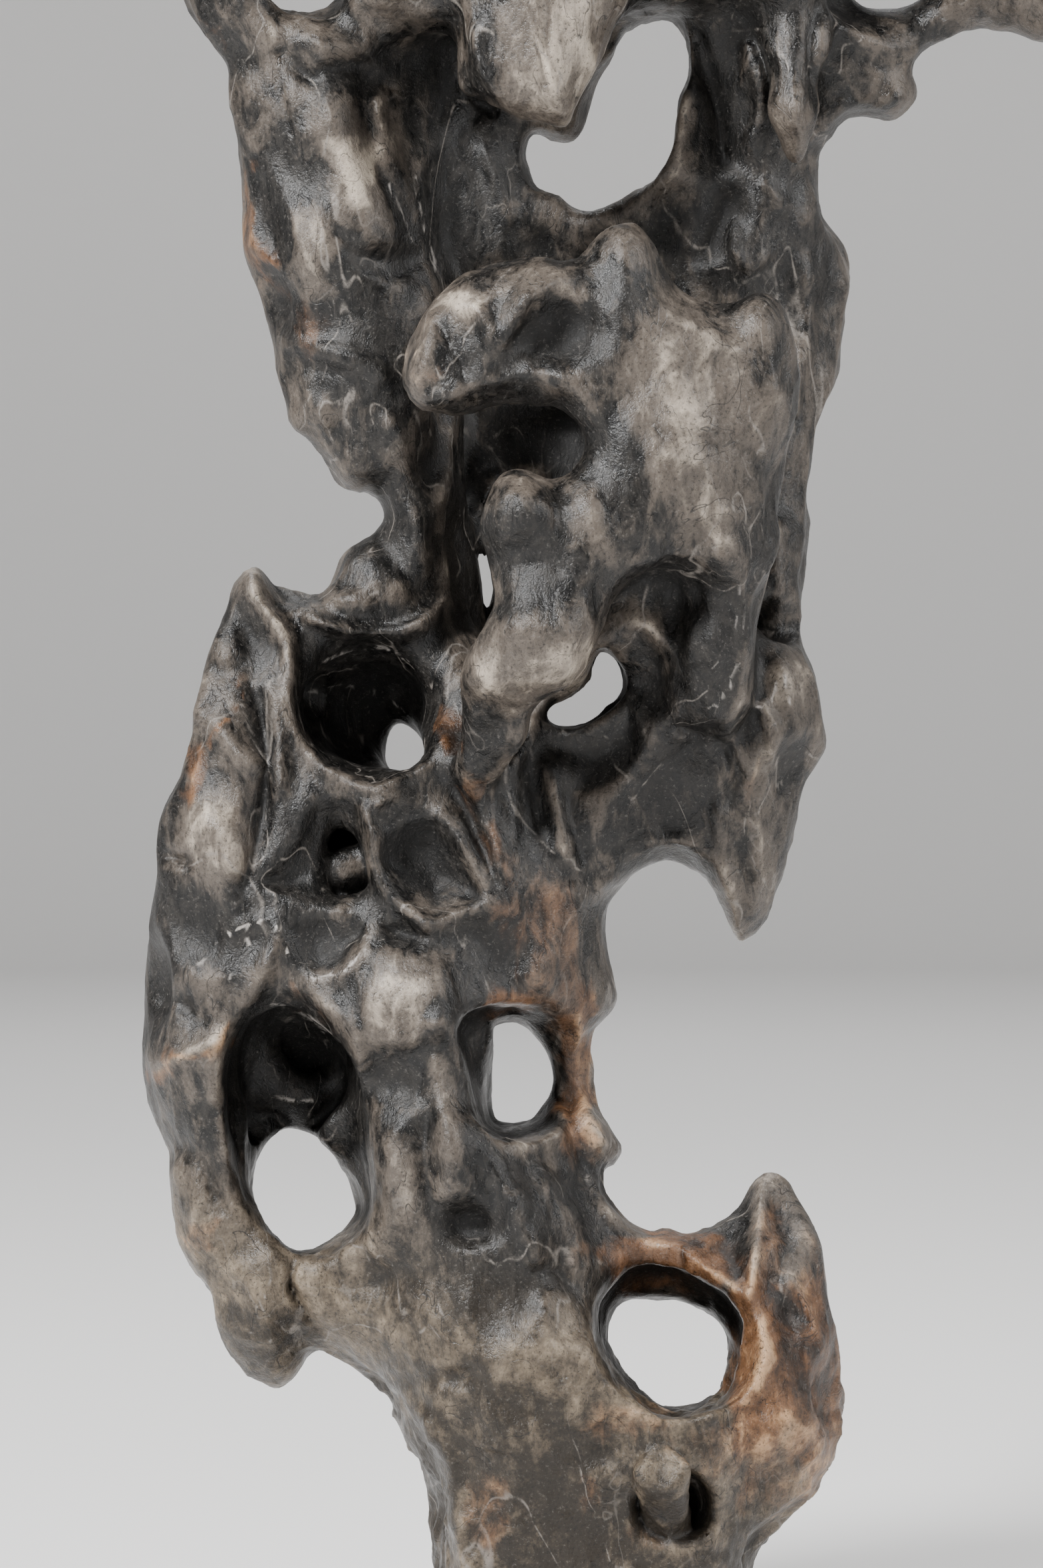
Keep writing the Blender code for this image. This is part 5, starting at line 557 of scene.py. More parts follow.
# Folds on the front, each a chain of (x, z, width, lift); a lift below zero is a crease.
FRONT_FOLDS = [
    # Left column
    [(-81, 608, 4, 2), (-79, 597, 4, 4), (-76, 585, 5, 5), (-72, 574, 5, 5), (-67, 562, 5, 3),
     (-64, 550, 5, 2)],
    [(-86, 604, 4, -2), (-84, 592, 4, -3), (-82, 580, 4, -3), (-78, 569, 4, -3), (-73, 560, 4, -2)],
    [(-99, 600, 6, 3), (-95, 588, 8, 5.5), (-90, 576, 9, 7), (-84, 566, 8, 3)],
    [(-52, 595, 4, 2), (-57, 585, 5, 3.5), (-63, 575, 5, 4.5), (-65, 566, 5, 3.5), (-62, 546, 5, 2),
     (-58, 534, 5, 2)],
    [(-146, 632, 5, 3), (-130, 606, 7, 4), (-126, 585, 6, 4), (-112, 560, 6, 4), (-108, 540, 6, 3)],
    [(-116, 620, 4, -3), (-107, 611, 4, -5), (-104, 610, 4, -5)],
    [(-112, 632, 5, 3), (-100, 622, 5, 4), (-88, 622, 5, 4), (-76, 626, 5, 3)],
    [(-128, 546, 4, 3), (-121, 540, 4, 5), (-116, 532, 4, 3)],
    [(-114, 511, 4, 3), (-100, 508, 4, 5), (-88, 505, 4, 5), (-78, 499, 4, 3)],
    [(-108, 496, 4, 3), (-102, 484, 4, 5), (-98, 472, 4, 3)],
    [(-95, 470, 6, 3), (-91, 462, 7, 5.5), (-84, 458, 6, 4)],
    [(-76, 481, 4, 3), (-72, 478, 4, 3)],
    [(-52, 478, 3, 5), (-53, 465, 3, 6.5), (-54, 455, 3, 5), (-56, 446, 3, 3), (-55, 436, 3, 5),
     (-54, 414, 3, 5)],
    [(-72, 450, 5, 3), (-64, 440, 6, 4), (-60, 428, 6, 3)],
    [(-84, 440, 5, -3), (-74, 432, 5, -4), (-66, 418, 5, -3)],
    # Finger and the mass behind it
    [(-46, 640, 3, 3), (-44, 626, 3, 5), (-42, 615, 3, 5), (-37, 606, 3, 5), (-32, 601, 3, 3)],
    [(-50, 632, 4, -5), (-48, 618, 4, -6.5), (-46, 606, 4, -6.5), (-38, 598, 4, -5)],
    [(-22, 640, 13, 4), (-17, 614, 10, 5.5), (-12, 598, 6, 4)],
    [(40, 626, 4, -5), (44, 610, 5, -7), (48, 595, 5, -7), (50, 580, 5, -5.5)],
    [(59, 622, 3, 5), (63, 610, 4, 6.5), (64, 596, 3, 5), (60, 584, 3, 3)],
    [(66, 570, 3, 5), (71, 564, 3, 5)],
    [(54, 556, 2.5, 3), (54, 546, 2.5, 5), (58, 539, 2.5, 5), (64, 542, 2.5, 3)],
    [(34, 590, 4, 3), (28, 574, 5, 4), (16, 562, 6, 4), (0, 556, 5, 3)],
    [(76, 616, 3, 3), (77, 600, 4, 5), (79, 587, 5, 5.5)],
    [(88, 590, 3, 3), (95, 600, 3, 5), (108, 601, 3, 5), (118, 603, 3, 3)],
    [(84, 636, 4, -5), (82, 616, 3, -5), (84, 600, 3, -3)],
    [(92, 632, 4, 5), (110, 622, 5, 4), (124, 620, 5, 3)],
    [(-44, 596, 4, -3), (-40, 584, 4, 3), (-34, 570, 4, 5), (-30, 558, 4, 3)],
    [(80, 540, 4, 3), (82, 515, 4, 5), (76, 490, 4, 5), (70, 470, 4, 3)],
    [(70, 440, 5, 3), (72, 420, 5, 4), (69, 400, 5, 4)],
    # Arm
    [(-63, 528, 4, 3), (-60, 518, 4, 5), (-62, 508, 5, 5.5), (-66, 498, 5, 5.5), (-65, 490, 5, 4),
     (-58, 486, 4, 3)],
    [(-50, 525, 5, 3), (-43, 524, 4, 5), (-38, 516, 3.5, 5), (-38, 505, 3.5, 4), (-42, 498, 4, 2)],
    [(-4, 538, 4, 3), (-16, 534, 4, 5), (-25, 526, 4, 6), (-31, 516, 3.5, 5), (-34, 506, 3.5, 2)],
    [(-62, 489, 4, 3), (-50, 491, 5, 4), (-38, 496, 5, 5), (-24, 499, 5, 5), (-12, 497, 5, 5),
     (-3, 490, 5, 4), (2, 482, 4, 2)],
    # Front plate
    [(12, 553, 6, 3), (14, 537, 7, 4), (13, 520, 8, 3), (9, 502, 8, 2)],
    [(20, 548, 5, 3), (22, 530, 6, 3), (30, 521, 5, 4), (40, 516, 4, 5), (48, 510, 4, 5),
     (54, 508, 4, 3)],
    [(66, 522, 4, 3), (68, 508, 4, 3), (70, 492, 4, 5), (67, 476, 4, 3)],
    [(30, 504, 15, 4), (32, 480, 15, 4), (30, 460, 14, 3)],
    [(58, 470, 5, -3), (56, 450, 5, -3), (57, 434, 5, -1.5)],
    [(-3, 453, 5, 2), (3, 440, 5, 2), (8, 429, 5, 1.5)],
    [(-13, 458, 5, -4), (-12, 446, 5, -2), (-14, 434, 6, -1)],
    [(35, 444, 3, 3), (42, 446, 3, 3)],
    [(50, 448, 3, 3), (56, 446, 3, 3)],
    [(0, 404, 3, 3), (6, 416, 3, 3), (16, 427, 3, 5), (32, 431, 3, 5), (48, 431, 3, 3)],
    # Knob and lobe
    [(-45, 394, 6, 1.5), (-36, 401, 6, 2), (-24, 405, 6, 2), (-12, 404, 6, 2), (-2, 399, 5, 1.5)],
    [(-47, 384, 5, 2), (-34, 381, 6, 1), (-20, 382, 6, 2), (-6, 388, 5, 3)],
    # Recess and ribs under the lobe
    [(-58, 367, 5, 4), (-54, 358, 5, 5), (-48, 348, 5, 6), (-42, 337, 5, 6), (-37, 325, 5, 5),
     (-34, 312, 5, 3)],
    [(-22, 370, 4, 3), (-27, 360, 4, 5), (-30, 351, 4, 6), (-31, 342, 5, 6), (-30, 332, 5, 5),
     (-29, 320, 5, 3)],
    [(-22, 356, 5, -3), (-22, 344, 5, -4), (-20, 330, 5, -3)],
    [(-16, 352, 4, 3), (-14, 343, 4, 5), (-12, 333, 4, 6.5), (-10, 323, 4, 6.5), (-6, 314, 4, 3)],
    [(-8, 342, 4, -2.5), (-7, 330, 4, -3), (-4, 320, 4, -2)],
    [(-51, 343, 4, -4), (-45, 332, 4, -5), (-40, 320, 4, -5), (-36, 308, 4, -3)],
    [(-56, 333, 4, 3), (-50, 326, 4, 5), (-45, 317, 4, 5), (-41, 308, 4, 4), (-37, 299, 4, 2)],
    [(-30, 300, 7, 2), (-22, 284, 7, 3), (-16, 268, 6, 3), (-10, 256, 5, 2)],
    [(-42, 288, 6, -3), (-34, 277, 6, -4), (-28, 268, 5, -2)],
    # Round the middle window
    [(14, 407, 3, 2), (22, 405, 3, 3), (28, 398, 4, 4), (31, 388, 4, 4), (33, 376, 4, 4),
     (30, 368, 4, 2)],
    [(24, 367, 4, 3), (21, 356, 5, 3), (15, 347, 5, 2)],
    [(36, 424, 3, 3), (38, 408, 4, 5), (37, 392, 4, 6.5)],
    [(46, 424, 9, 3), (46, 404, 9, 4), (46, 384, 8, 4)],
    [(39, 384, 6, 5.5), (45, 376, 6, 7)],
    [(34, 366, 2.5, -5), (40, 364.5, 2.5, -6.5), (46, 366, 2.5, -5)],
    [(57, 422, 3, 3), (58, 400, 3, 5), (57, 380, 3, 3)],
    [(58, 377, 3, 3), (65, 374, 3, 5), (69, 364, 3, 6.5), (68, 352, 3, 5), (64, 340, 3, 3)],
    [(72, 392, 6, 4), (75, 376, 7, 5.5), (78, 362, 6, 4)],
    [(52, 358, 3, -5), (56, 348, 3, -5), (52, 338, 3, -3)],
    [(4, 306, 4, 3), (12, 317, 4, 5), (23, 323, 4, 5), (35, 323, 4, 5), (45, 317, 4, 5),
     (51, 307, 4, 3)],
    [(48, 334, 4, 3), (50, 318, 4, 3), (52, 306, 4, 6.5), (55, 292, 3, 6.5)],
    [(62, 330, 5, 3), (64, 312, 5, 4), (60, 296, 4, 3)],
    # Horn and the left mouth
    [(-128, 425, 3, 5), (-126, 416, 3, 6.5), (-120, 408, 4, 9.5), (-114, 399, 4, 8),
     (-113, 388, 4, 8), (-113, 376, 4, 8), (-110, 364, 4, 8), (-104, 356, 4, 8),
     (-97, 350, 4, 6.5)],
    [(-132, 412, 6, -1.5), (-128, 400, 6, -4), (-126, 390, 6, -4)],
    [(-128, 384, 4, -3), (-124, 373, 4, -5), (-122, 360, 4, -6), (-122, 345, 4, -6),
     (-124, 330, 4, -6), (-127, 318, 4, -5), (-131, 306, 4, -3)],
    [(-119, 378, 3, 3), (-117, 360, 4, 5), (-117, 344, 4, 3)],
    [(-112, 411, 3, 3), (-104, 407, 3, 6.5), (-94, 403, 3, 8), (-82, 402, 3, 8), (-71, 402, 3, 8),
     (-62, 406, 3, 6.5), (-55, 413, 3, 6.5), (-50, 412, 3, 3)],
    [(-100, 416, 4, 3), (-92, 414, 4, 5), (-84, 412, 4, 3)],
    [(-97, 351, 3, 5), (-88, 345, 4, 8), (-80, 343, 4, 8), (-72, 348, 4, 8), (-62, 353, 4, 6.5),
     (-55, 363, 3, 3)],
    [(-80, 337, 2.5, 3), (-73, 341, 2.5, 3)],
    [(-150, 346, 7, 3), (-143, 330, 9, 5.5), (-138, 316, 9, 7), (-137, 304, 7, 3)],
    [(-158, 318, 2.5, -3), (-152, 316, 2.5, -5)],
    [(-146, 392, 5, -3), (-138, 386, 5, -4), (-132, 390, 4, -3)],
    [(-148, 372, 5, 3), (-140, 366, 5, 4), (-132, 356, 5, 4), (-124, 352, 4, 5)],
    # Wall between the slot and the bowl, and the rim below them
    [(-85, 336, 3, 5), (-82, 326, 3, 8), (-82, 316, 3, 8), (-79, 308, 3, 8), (-72, 300, 3, 6.5),
     (-62, 293, 3, 5)],
    [(-138, 289, 3, 1), (-128, 293, 3, 2), (-120, 294, 3, 2), (-116, 288, 3, 2),
     (-113, 279, 4, 2.5), (-107, 273, 4, 2.5), (-99, 271, 4, 2.5), (-91, 275, 4, 2.5),
     (-85, 282, 4, 2.5), (-80, 289, 4, 2)],
    [(-119, 288, 3, 1.5), (-122, 276, 4, 5), (-128, 264, 4, 3)],
    [(-60, 292, 4, 5), (-50, 296, 4, 5), (-40, 299, 4, 3)],
    # Plateau
    [(-88, 281, 5, 2), (-76, 280, 6, 3), (-63, 279, 5, 2)],
    [(-89, 254, 5, 2), (-80, 249.5, 5, 4), (-70, 248.5, 5, 4.5), (-60, 251, 4, 4)],
    [(-60, 255, 3.5, 6), (-57.5, 254.5, 3.5, 6)],
    [(-55, 258, 3, 3), (-52, 248, 3, 6.5), (-49, 238, 3, 5), (-44, 226, 3, 5), (-39, 214, 3, 3)],
    [(-47, 256, 3, 3), (-41, 263, 3, 5), (-30, 264, 3, 5), (-19, 260, 3, 3)],
    # Round the low left mouth
    [(-113, 268, 4, 3), (-104, 266, 4, 6.5), (-96, 259, 4, 9.5), (-90, 251, 4, 8),
     (-87, 242, 4, 6.5), (-86, 232, 3, 5)],
    [(-128, 264, 5, 3), (-138, 253, 5, 4), (-141, 240, 5, 5.5), (-139, 222, 5, 5.5),
     (-136, 206, 5, 5.5), (-130, 194, 4, 5), (-124, 182, 4, 5), (-116, 172, 4, 6.5),
     (-106, 167, 4, 6.5), (-96, 171, 4, 5), (-88, 180, 4, 5)],
    [(-148, 222, 4, -1.5), (-142, 221, 4, -3)],
    [(-159, 217, 3, -5), (-155, 209, 3, -6.5)],
    [(-163, 240, 3, 3), (-152, 244, 3, 5), (-141, 248, 3, 5)],
    [(-154, 200, 5, 3), (-150, 184, 5, 4), (-146, 172, 5, 3)],
    [(-146, 206, 3, -3), (-142, 192, 3, -5), (-138, 184, 3, -3)],
    [(-130, 160, 7, 3), (-124, 147, 8, 4), (-120, 134, 7, 4)],
    [(-112, 168, 2.5, -5), (-113, 156, 2.5, -6.5), (-107, 147, 2.5, -5), (-102, 140, 2.5, -3)],
    [(-160, 266, 4, -3), (-152, 262, 4, -5), (-146, 256, 4, -3)],
    # Column between the low openings
    [(-59, 241, 4, 3), (-56, 228, 4, 5), (-53, 215, 5, 7), (-50, 202, 6, 6), (-48, 192, 6, 3)],
    [(-63, 216, 4, -3), (-62, 200, 4, -4), (-60, 187, 4, -4)],
    [(-45, 218, 4, 2), (-39, 206, 4, 4), (-34, 196, 4, 4), (-28, 186, 4, 4), (-24, 172, 4, 2)],
    [(-42, 200, 4, -3), (-36, 188, 4, -3)],
    [(-76, 208, 7, 3), (-74, 190, 8, 4), (-76, 172, 7, 3)],
    [(-22, 176, 3, 3), (-21, 166, 3, 5)],
    [(-17, 151, 5, 5.5), (-17, 146, 4, 5)],
    [(-24, 198, 4, -3), (-15, 181, 4, -4), (-10, 163, 4, -4), (-4, 149, 4, -2)],
    [(-17, 196, 5, 3), (-8, 180, 5, 4), (-2, 164, 5, 3)],
    [(-37, 213, 3, 5), (-28, 209, 3, 8), (-20, 209, 3, 8), (-12, 214, 3, 6.5)],
    [(-5, 258, 3, 3), (-4, 244, 3, 6.5), (-3, 232, 3, 6.5), (0, 220, 3, 6.5), (5, 211, 3, 6.5)],
    [(-9, 238, 3, -3), (-8, 222, 3, -5), (-5, 208, 3, -6.5), (-2, 196, 3, -3)],
    # Ring and its horn
    [(3, 195, 3, 5), (6, 186, 3, 8), (13, 178, 3, 9.5), (24, 173, 4, 9.5), (34, 171, 3, 9.5),
     (42, 164, 3, 9.5), (50, 158, 3, 9.5), (58, 153, 3, 6.5)],
    [(64, 195, 4, 5), (64, 184, 3, 8), (62, 172, 3, 9.5), (61, 160, 3, 9.5), (60, 153, 3, 6.5)],
    [(61, 150, 4, 6.5), (65, 140, 4, 9.5), (66, 130, 4, 9.5), (63, 120, 4, 8), (57, 113, 4, 6.5),
     (46, 109, 4, 5)],
    [(74, 160, 3, 3), (81, 150, 3, 6.5), (86, 138, 3, 6.5), (89, 124, 3, 5), (88, 112, 3, 3)],
    [(70, 188, 4, -3), (74, 172, 4, -5), (70, 158, 4, -3)],
    [(8, 116, 4, 3), (19, 108, 4, 6.5), (32, 107, 4, 8), (46, 108, 4, 6.5)],
    [(0, 134, 8, 4), (8, 120, 8, 4)],
    [(74, 106, 8, 4), (64, 92, 8, 5.5), (50, 82, 8, 3)],
    # Lower body
    [(-70, 116, 4, 3), (-61, 103, 4, 6.5), (-53, 90, 4, 6.5), (-51, 74, 4, 6.5), (-49, 58, 4, 5),
     (-48, 30, 5, 3)],
    [(-74, 106, 5, -7), (-66, 92, 5, -10), (-58, 76, 5, -10), (-56, 58, 5, -10), (-56, 30, 5, -7),
     (-60, 4, 5, -4)],
    [(-30, 40, 7, 4), (-24, 18, 8, 4), (-24, 2, 8, 3)],
    [(10, 44, 7, 3), (20, 24, 8, 4), (30, 6, 8, 3)],
    [(46, 60, 6, 3), (50, 40, 6, 4), (46, 16, 6, 3)],
    # Crown
    [(-130, 660, 7, 3), (-122, 684, 8, 5.5), (-104, 696, 8, 5.5), (-86, 716, 7, 3)],
    [(-60, 744, 8, 3), (-48, 712, 9, 5.5), (-34, 684, 9, 5.5), (-28, 656, 10, 4)],
    [(-10, 740, 7, 3), (2, 708, 8, 5.5), (14, 684, 8, 5.5), (12, 656, 8, 4)],
    [(60, 712, 7, 3), (56, 690, 8, 5.5), (66, 668, 8, 5.5), (72, 646, 7, 4)],
    [(106, 704, 7, 3), (130, 686, 8, 5.5), (160, 684, 7, 4)],
]
# Bowls: (x, z, half width, half height, depth) and any lean; a bump where the depth is negative.
FRONT_BOWLS = [
    (-86, 160, 14, 8, 5), (-24, 288, 9, 14, 3), (34, 410, 10, 14, 4), (24, 338, 24, 10, 3),
    (-148, 290, 10, 13, 4), (-110, 440, 8, 8, 4), (-132, 172, 8, 7, 3), (-26, 112, 12, 6, 4, -20),
    (0, 96, 15, 8, 5), (60, 86, 9, 8, 3), (-32, 44, 12, 9, 4), (20, 36, 12, 11, 4),
    (-72, 690, 16, 15, 8, 20), (34, 696, 15, 14, 8, -10), (-16, 716, 10, 14, 6),
    (-114, 684, 7, 9, 4), (92, 690, 14, 10, 6), (160, 664, 14, 9, 5), (-22, 668, 8, 14, 5, 10),
    (-62, 652, 10, 14, 5), (-14, 124, 8, 5, 3), (-50, 122, 12, 4, 3), (-42, 60, 9, 6, 4),
    (-46, 268, 9, 8, 3), (-28, 449, 13, 13, -9), (-26, 429, 14, 6, 2.5), (-12, 515, 15, 11, 12, 12),
    (-73, 264, 20, 13, -5), (-76, 233, 11, 9, 4), (-45, 180, 12, 7.5, 10, -8),
]
# Basins: depth, width of the wall, outline (x, z).
FRONT_BASINS = [
    (7, 5, [(-104, 615), (-97, 618), (-89, 621), (-80, 616), (-71, 607), (-76, 602), (-86, 601),
            (-96, 605)]),
    (5, 5, [(-128, 577), (-122, 574), (-117, 560), (-113, 545), (-118, 540), (-124, 545),
            (-128, 556)]),
    (5, 4, [(-98, 556), (-90, 550), (-78, 549), (-68, 549), (-62, 542), (-66, 532), (-80, 534),
            (-92, 540)]),
    (5, 5, [(-66, 474), (-58, 476), (-56, 464), (-57, 452), (-64, 453), (-68, 462)]),
    (8, 7, [(42, 566), (50, 572), (60, 569), (62, 556), (56, 546), (46, 539), (36, 540),
            (36, 552)]),
    (5, 8, [(-50, 368), (-44, 372), (-34, 372), (-28, 370), (-30, 362), (-36, 353), (-41, 347),
            (-46, 352)]),
    (9, 7, [(20, 368), (21, 358), (14, 348), (4, 341), (-6, 340), (-12, 350), (-20, 352),
            (-22, 362), (-16, 368), (-4, 366), (8, 372), (14, 382)]),
    (12, 8, [(-127, 309), (-119, 317), (-112, 328), (-107, 337), (-98, 342), (-89, 340), (-84, 333),
             (-83, 318), (-81, 308), (-84, 300), (-96, 297), (-110, 299), (-120, 303)]),
    (6, 6, [(-114, 292), (-104, 297), (-92, 296), (-82, 291), (-86, 281), (-94, 274), (-104, 273),
            (-111, 279)]),
    (20, 14, [(-81, 318), (-77, 327), (-69, 332), (-58, 334), (-50, 327), (-44, 317), (-38, 304),
              (-42, 299), (-50, 297), (-60, 293), (-70, 301), (-78, 309)]),
    (8, 5, [(-79, 293), (-70, 294), (-62, 290), (-61, 286), (-68, 283.5), (-77, 285)]),
    (6, 3, [(-25, 157), (-20, 165), (-12, 163), (-10, 157), (-14, 160), (-20, 160)]),
    (6, 4, [(37, 172), (44, 176), (54, 179), (58, 172), (57, 161), (50, 161), (43, 166)]),
    (5, 4, [(70, 150), (74, 152), (78, 144), (82, 132), (83, 120), (79, 114), (75, 119), (72, 130),
            (69, 140)]),
]
# Spines and hollows as above, but with (y, z) on the sides and (x, y) on the top.
LEFT_SPINES = [
    [(-22, 400, 8, 7), (-24, 350, 9, 9), (-6, 300, 9, 9), (6, 250, 9, 9), (-8, 200, 8, 7),
     (-14, 150, 8, 7)],
    [(24, 350, 7, 7), (30, 290, 8, 7), (26, 230, 7, 7)],
    [(-10, 640, 8, 7), (-4, 590, 8, 9), (16, 540, 8, 7), (12, 500, 8, 7)],
    [(36, 120, 9, 7), (20, 80, 9, 9), (-10, 50, 9, 7), (-24, 14, 9, 5.5)],
]
LEFT_HOLLOWS = [
    (14, 320, 12, 20, 10), (-22, 270, 9, 16, 9), (22, 190, 10, 14, 9), (20, 590, 12, 18, 10),
    (-12, 530, 8, 12, 8), (24, 100, 12, 12, 10), (-26, 74, 12, 12, 9), (6, 24, 14, 10, 8),
    (8, 676, 12, 8, 8), (44, 480, 10, 16, 9), (38, 560, 8, 16, 9),
]
RIGHT_SPINES = [
    [(24, 560, 9, 9), (40, 520, 9, 9), (30, 470, 9, 9), (14, 430, 8, 9), (0, 380, 8, 9),
     (8, 330, 7, 7)],
    [(-20, 180, 8, 7), (-4, 150, 9, 9), (14, 118, 9, 9), (8, 84, 9, 9), (22, 46, 9, 7),
     (26, 8, 9, 5.5)],
    [(-60, 510, 6, 5.5), (-44, 470, 6, 7), (-50, 430, 6, 5.5)],
    [(14, 640, 7, 5.5), (30, 610, 7, 7)],
]
RIGHT_HOLLOWS = [
    (46, 480, 12, 16, 10), (6, 490, 9, 14, 9), (34, 400, 12, 18, 10), (-14, 350, 9, 12, 8),
    (24, 150, 12, 16, 10), (-26, 116, 12, 14, 9), (-16, 60, 14, 12, 9), (30, 80, 10, 10, 8),
    (4, 26, 12, 12, 8), (4, 240, 10, 14, 6), (18, 662, 9, 7, 6),
]
TOP_HOLLOWS = [(-96, 8, 10, 14, 9), (4, 10, 12, 14, 10), (60, 20, 14, 12, 10), (150, 22, 10, 9, 8)]
TOP_SPINES = [
    [(-130, 6, 7, 5.5), (-84, 18, 8, 7), (-40, 4, 9, 7), (10, -8, 8, 5.5)],
    [(30, 30, 8, 7), (90, 10, 8, 7), (130, 26, 7, 5.5), (170, 20, 6, 5.5)],
]
# Folds and basins on the back, in (x, z) as seen from the front.
BACK_FOLDS = [
    # Crown
    [(-140, 660, 8, 4), (-120, 690, 8, 6), (-96, 700, 8, 7), (-70, 722, 8, 6), (-44, 736, 8, 4)],
    [(-70, 722, 7, 4), (-58, 690, 8, 8), (-62, 660, 8, 8), (-72, 634, 8, 6)],
    [(-20, 744, 8, 3), (-6, 712, 8, 7), (10, 688, 8, 9), (34, 676, 8, 9), (62, 684, 8, 7),
     (90, 700, 8, 4)],
    [(34, 676, 7, 6), (40, 648, 8, 8), (56, 624, 8, 8), (60, 596, 8, 6)],
    [(120, 690, 7, 4), (150, 678, 8, 6), (176, 664, 6, 4)],
    # Left column
    [(-124, 630, 8, 4), (-114, 596, 8, 8), (-118, 560, 8, 8), (-108, 524, 8, 8), (-98, 494, 7, 6),
     (-84, 470, 7, 5), (-74, 446, 6, 5)],
    [(-72, 632, 7, 6), (-66, 600, 7, 8), (-74, 566, 7, 8), (-66, 534, 7, 7), (-54, 506, 7, 5)],
    [(-114, 596, 6, 5), (-96, 584, 6, 7), (-74, 588, 6, 6)],
    # Rear mass
    [(86, 600, 7, 5), (76, 572, 8, 8), (84, 540, 8, 9), (74, 508, 8, 9), (80, 476, 7, 8),
     (72, 446, 7, 7), (74, 414, 7, 5)],
    [(-40, 548, 7, 5), (-14, 536, 8, 8), (14, 544, 8, 9), (42, 532, 8, 8), (72, 520, 7, 6)],
    [(14, 544, 7, 6), (20, 512, 8, 8), (6, 486, 8, 8), (-14, 466, 8, 5)],
    [(74, 508, 7, 6), (50, 492, 8, 8), (36, 462, 8, 9), (46, 432, 8, 8), (34, 404, 8, 8),
     (10, 386, 7, 5)],
    [(46, 432, 7, 5), (66, 418, 7, 7)],
    # Main body
    [(84, 380, 7, 4), (70, 352, 8, 8), (44, 344, 8, 8), (20, 356, 7, 7), (-6, 352, 7, 6)],
    [(70, 352, 7, 6), (66, 322, 7, 7), (60, 296, 5, 4)],
    [(-6, 352, 7, 5), (-30, 338, 8, 8), (-56, 350, 8, 9), (-84, 338, 8, 9), (-106, 316, 8, 8),
     (-130, 322, 8, 8), (-150, 342, 7, 5)],
    [(-84, 338, 7, 6), (-80, 308, 8, 8), (-92, 282, 8, 9), (-84, 256, 8, 8), (-64, 240, 8, 6)],
    [(-130, 322, 7, 6), (-142, 292, 8, 8), (-138, 260, 8, 8), (-150, 230, 8, 7), (-146, 196, 7, 7),
     (-138, 166, 7, 5)],
    [(-30, 338, 7, 6), (-26, 308, 8, 8), (-40, 284, 8, 8), (-34, 262, 7, 6)],
    [(-138, 260, 6, 5), (-116, 266, 7, 7), (-92, 282, 7, 6)],
    [(-26, 308, 6, 5), (-2, 300, 7, 6), (4, 280, 6, 5)],
    # Lower body
    [(-64, 240, 8, 6), (-70, 210, 8, 8), (-58, 182, 9, 9), (-64, 152, 9, 8), (-46, 128, 9, 8),
     (-48, 98, 9, 7), (-40, 70, 9, 6)],
    [(-58, 182, 7, 6), (-34, 168, 8, 8), (-12, 172, 8, 8), (6, 190, 7, 5)],
    [(-12, 172, 7, 6), (-8, 146, 8, 8), (8, 124, 8, 8), (30, 104, 8, 8), (54, 112, 8, 7),
     (74, 134, 8, 8), (80, 164, 7, 6), (70, 188, 6, 4)],
    [(30, 104, 7, 6), (22, 76, 8, 8), (34, 50, 8, 8), (24, 24, 8, 6), (30, 0, 8, 4)],
    [(-40, 70, 8, 6), (-20, 52, 8, 7), (-24, 24, 8, 6), (-20, 0, 8, 4)],
    [(54, 112, 6, 5), (62, 86, 7, 6), (50, 62, 7, 5)],
]
BACK_BASINS = [
    (14, 9, [(-50, 716), (-28, 720), (-16, 700), (-22, 672), (-44, 660), (-54, 684)]),
    (9, 8, [(-16, 660), (8, 668), (26, 656), (30, 640), (8, 638), (-12, 642)]),
    (12, 8, [(-108, 588), (-90, 578), (-80, 560), (-84, 534), (-100, 524), (-108, 548)]),
    (8, 7, [(-104, 624), (-86, 626), (-76, 606), (-84, 594), (-102, 600)]),
    (14, 9, [(-20, 520), (-2, 530), (10, 516), (-2, 492), (-22, 480), (-38, 496)]),
    (12, 8, [(32, 524), (56, 516), (62, 500), (44, 488), (28, 496)]),
    (12, 8, [(52, 478), (68, 470), (66, 440), (52, 440), (44, 460)]),
    (15, 9, [(-8, 458), (18, 472), (28, 446), (24, 416), (2, 404), (-14, 424)]),
    (9, 7, [(52, 404), (66, 402), (70, 376), (58, 366), (44, 376)]),
    (14, 9, [(-72, 330), (-50, 338), (-36, 320), (-46, 296), (-64, 282), (-76, 300)]),
    (13, 8, [(-124, 308), (-104, 304), (-98, 288), (-108, 274), (-128, 276), (-134, 292)]),
    (11, 8, [(-74, 274), (-52, 272), (-46, 252), (-60, 250), (-78, 256)]),
    (9, 7, [(-140, 376), (-126, 380), (-118, 352), (-130, 336), (-144, 348)]),
    (14, 9, [(-54, 170), (-34, 158), (-18, 158), (-20, 138), (-38, 132), (-54, 146)]),
    (12, 9, [(-36, 118), (-10, 128), (8, 110), (14, 86), (0, 66), (-24, 70), (-38, 92)]),
    (11, 8, [(40, 94), (54, 94), (54, 72), (38, 62), (30, 78)]),
    (10, 8, [(-12, 46), (12, 52), (20, 30), (8, 6), (-12, 12)]),
]
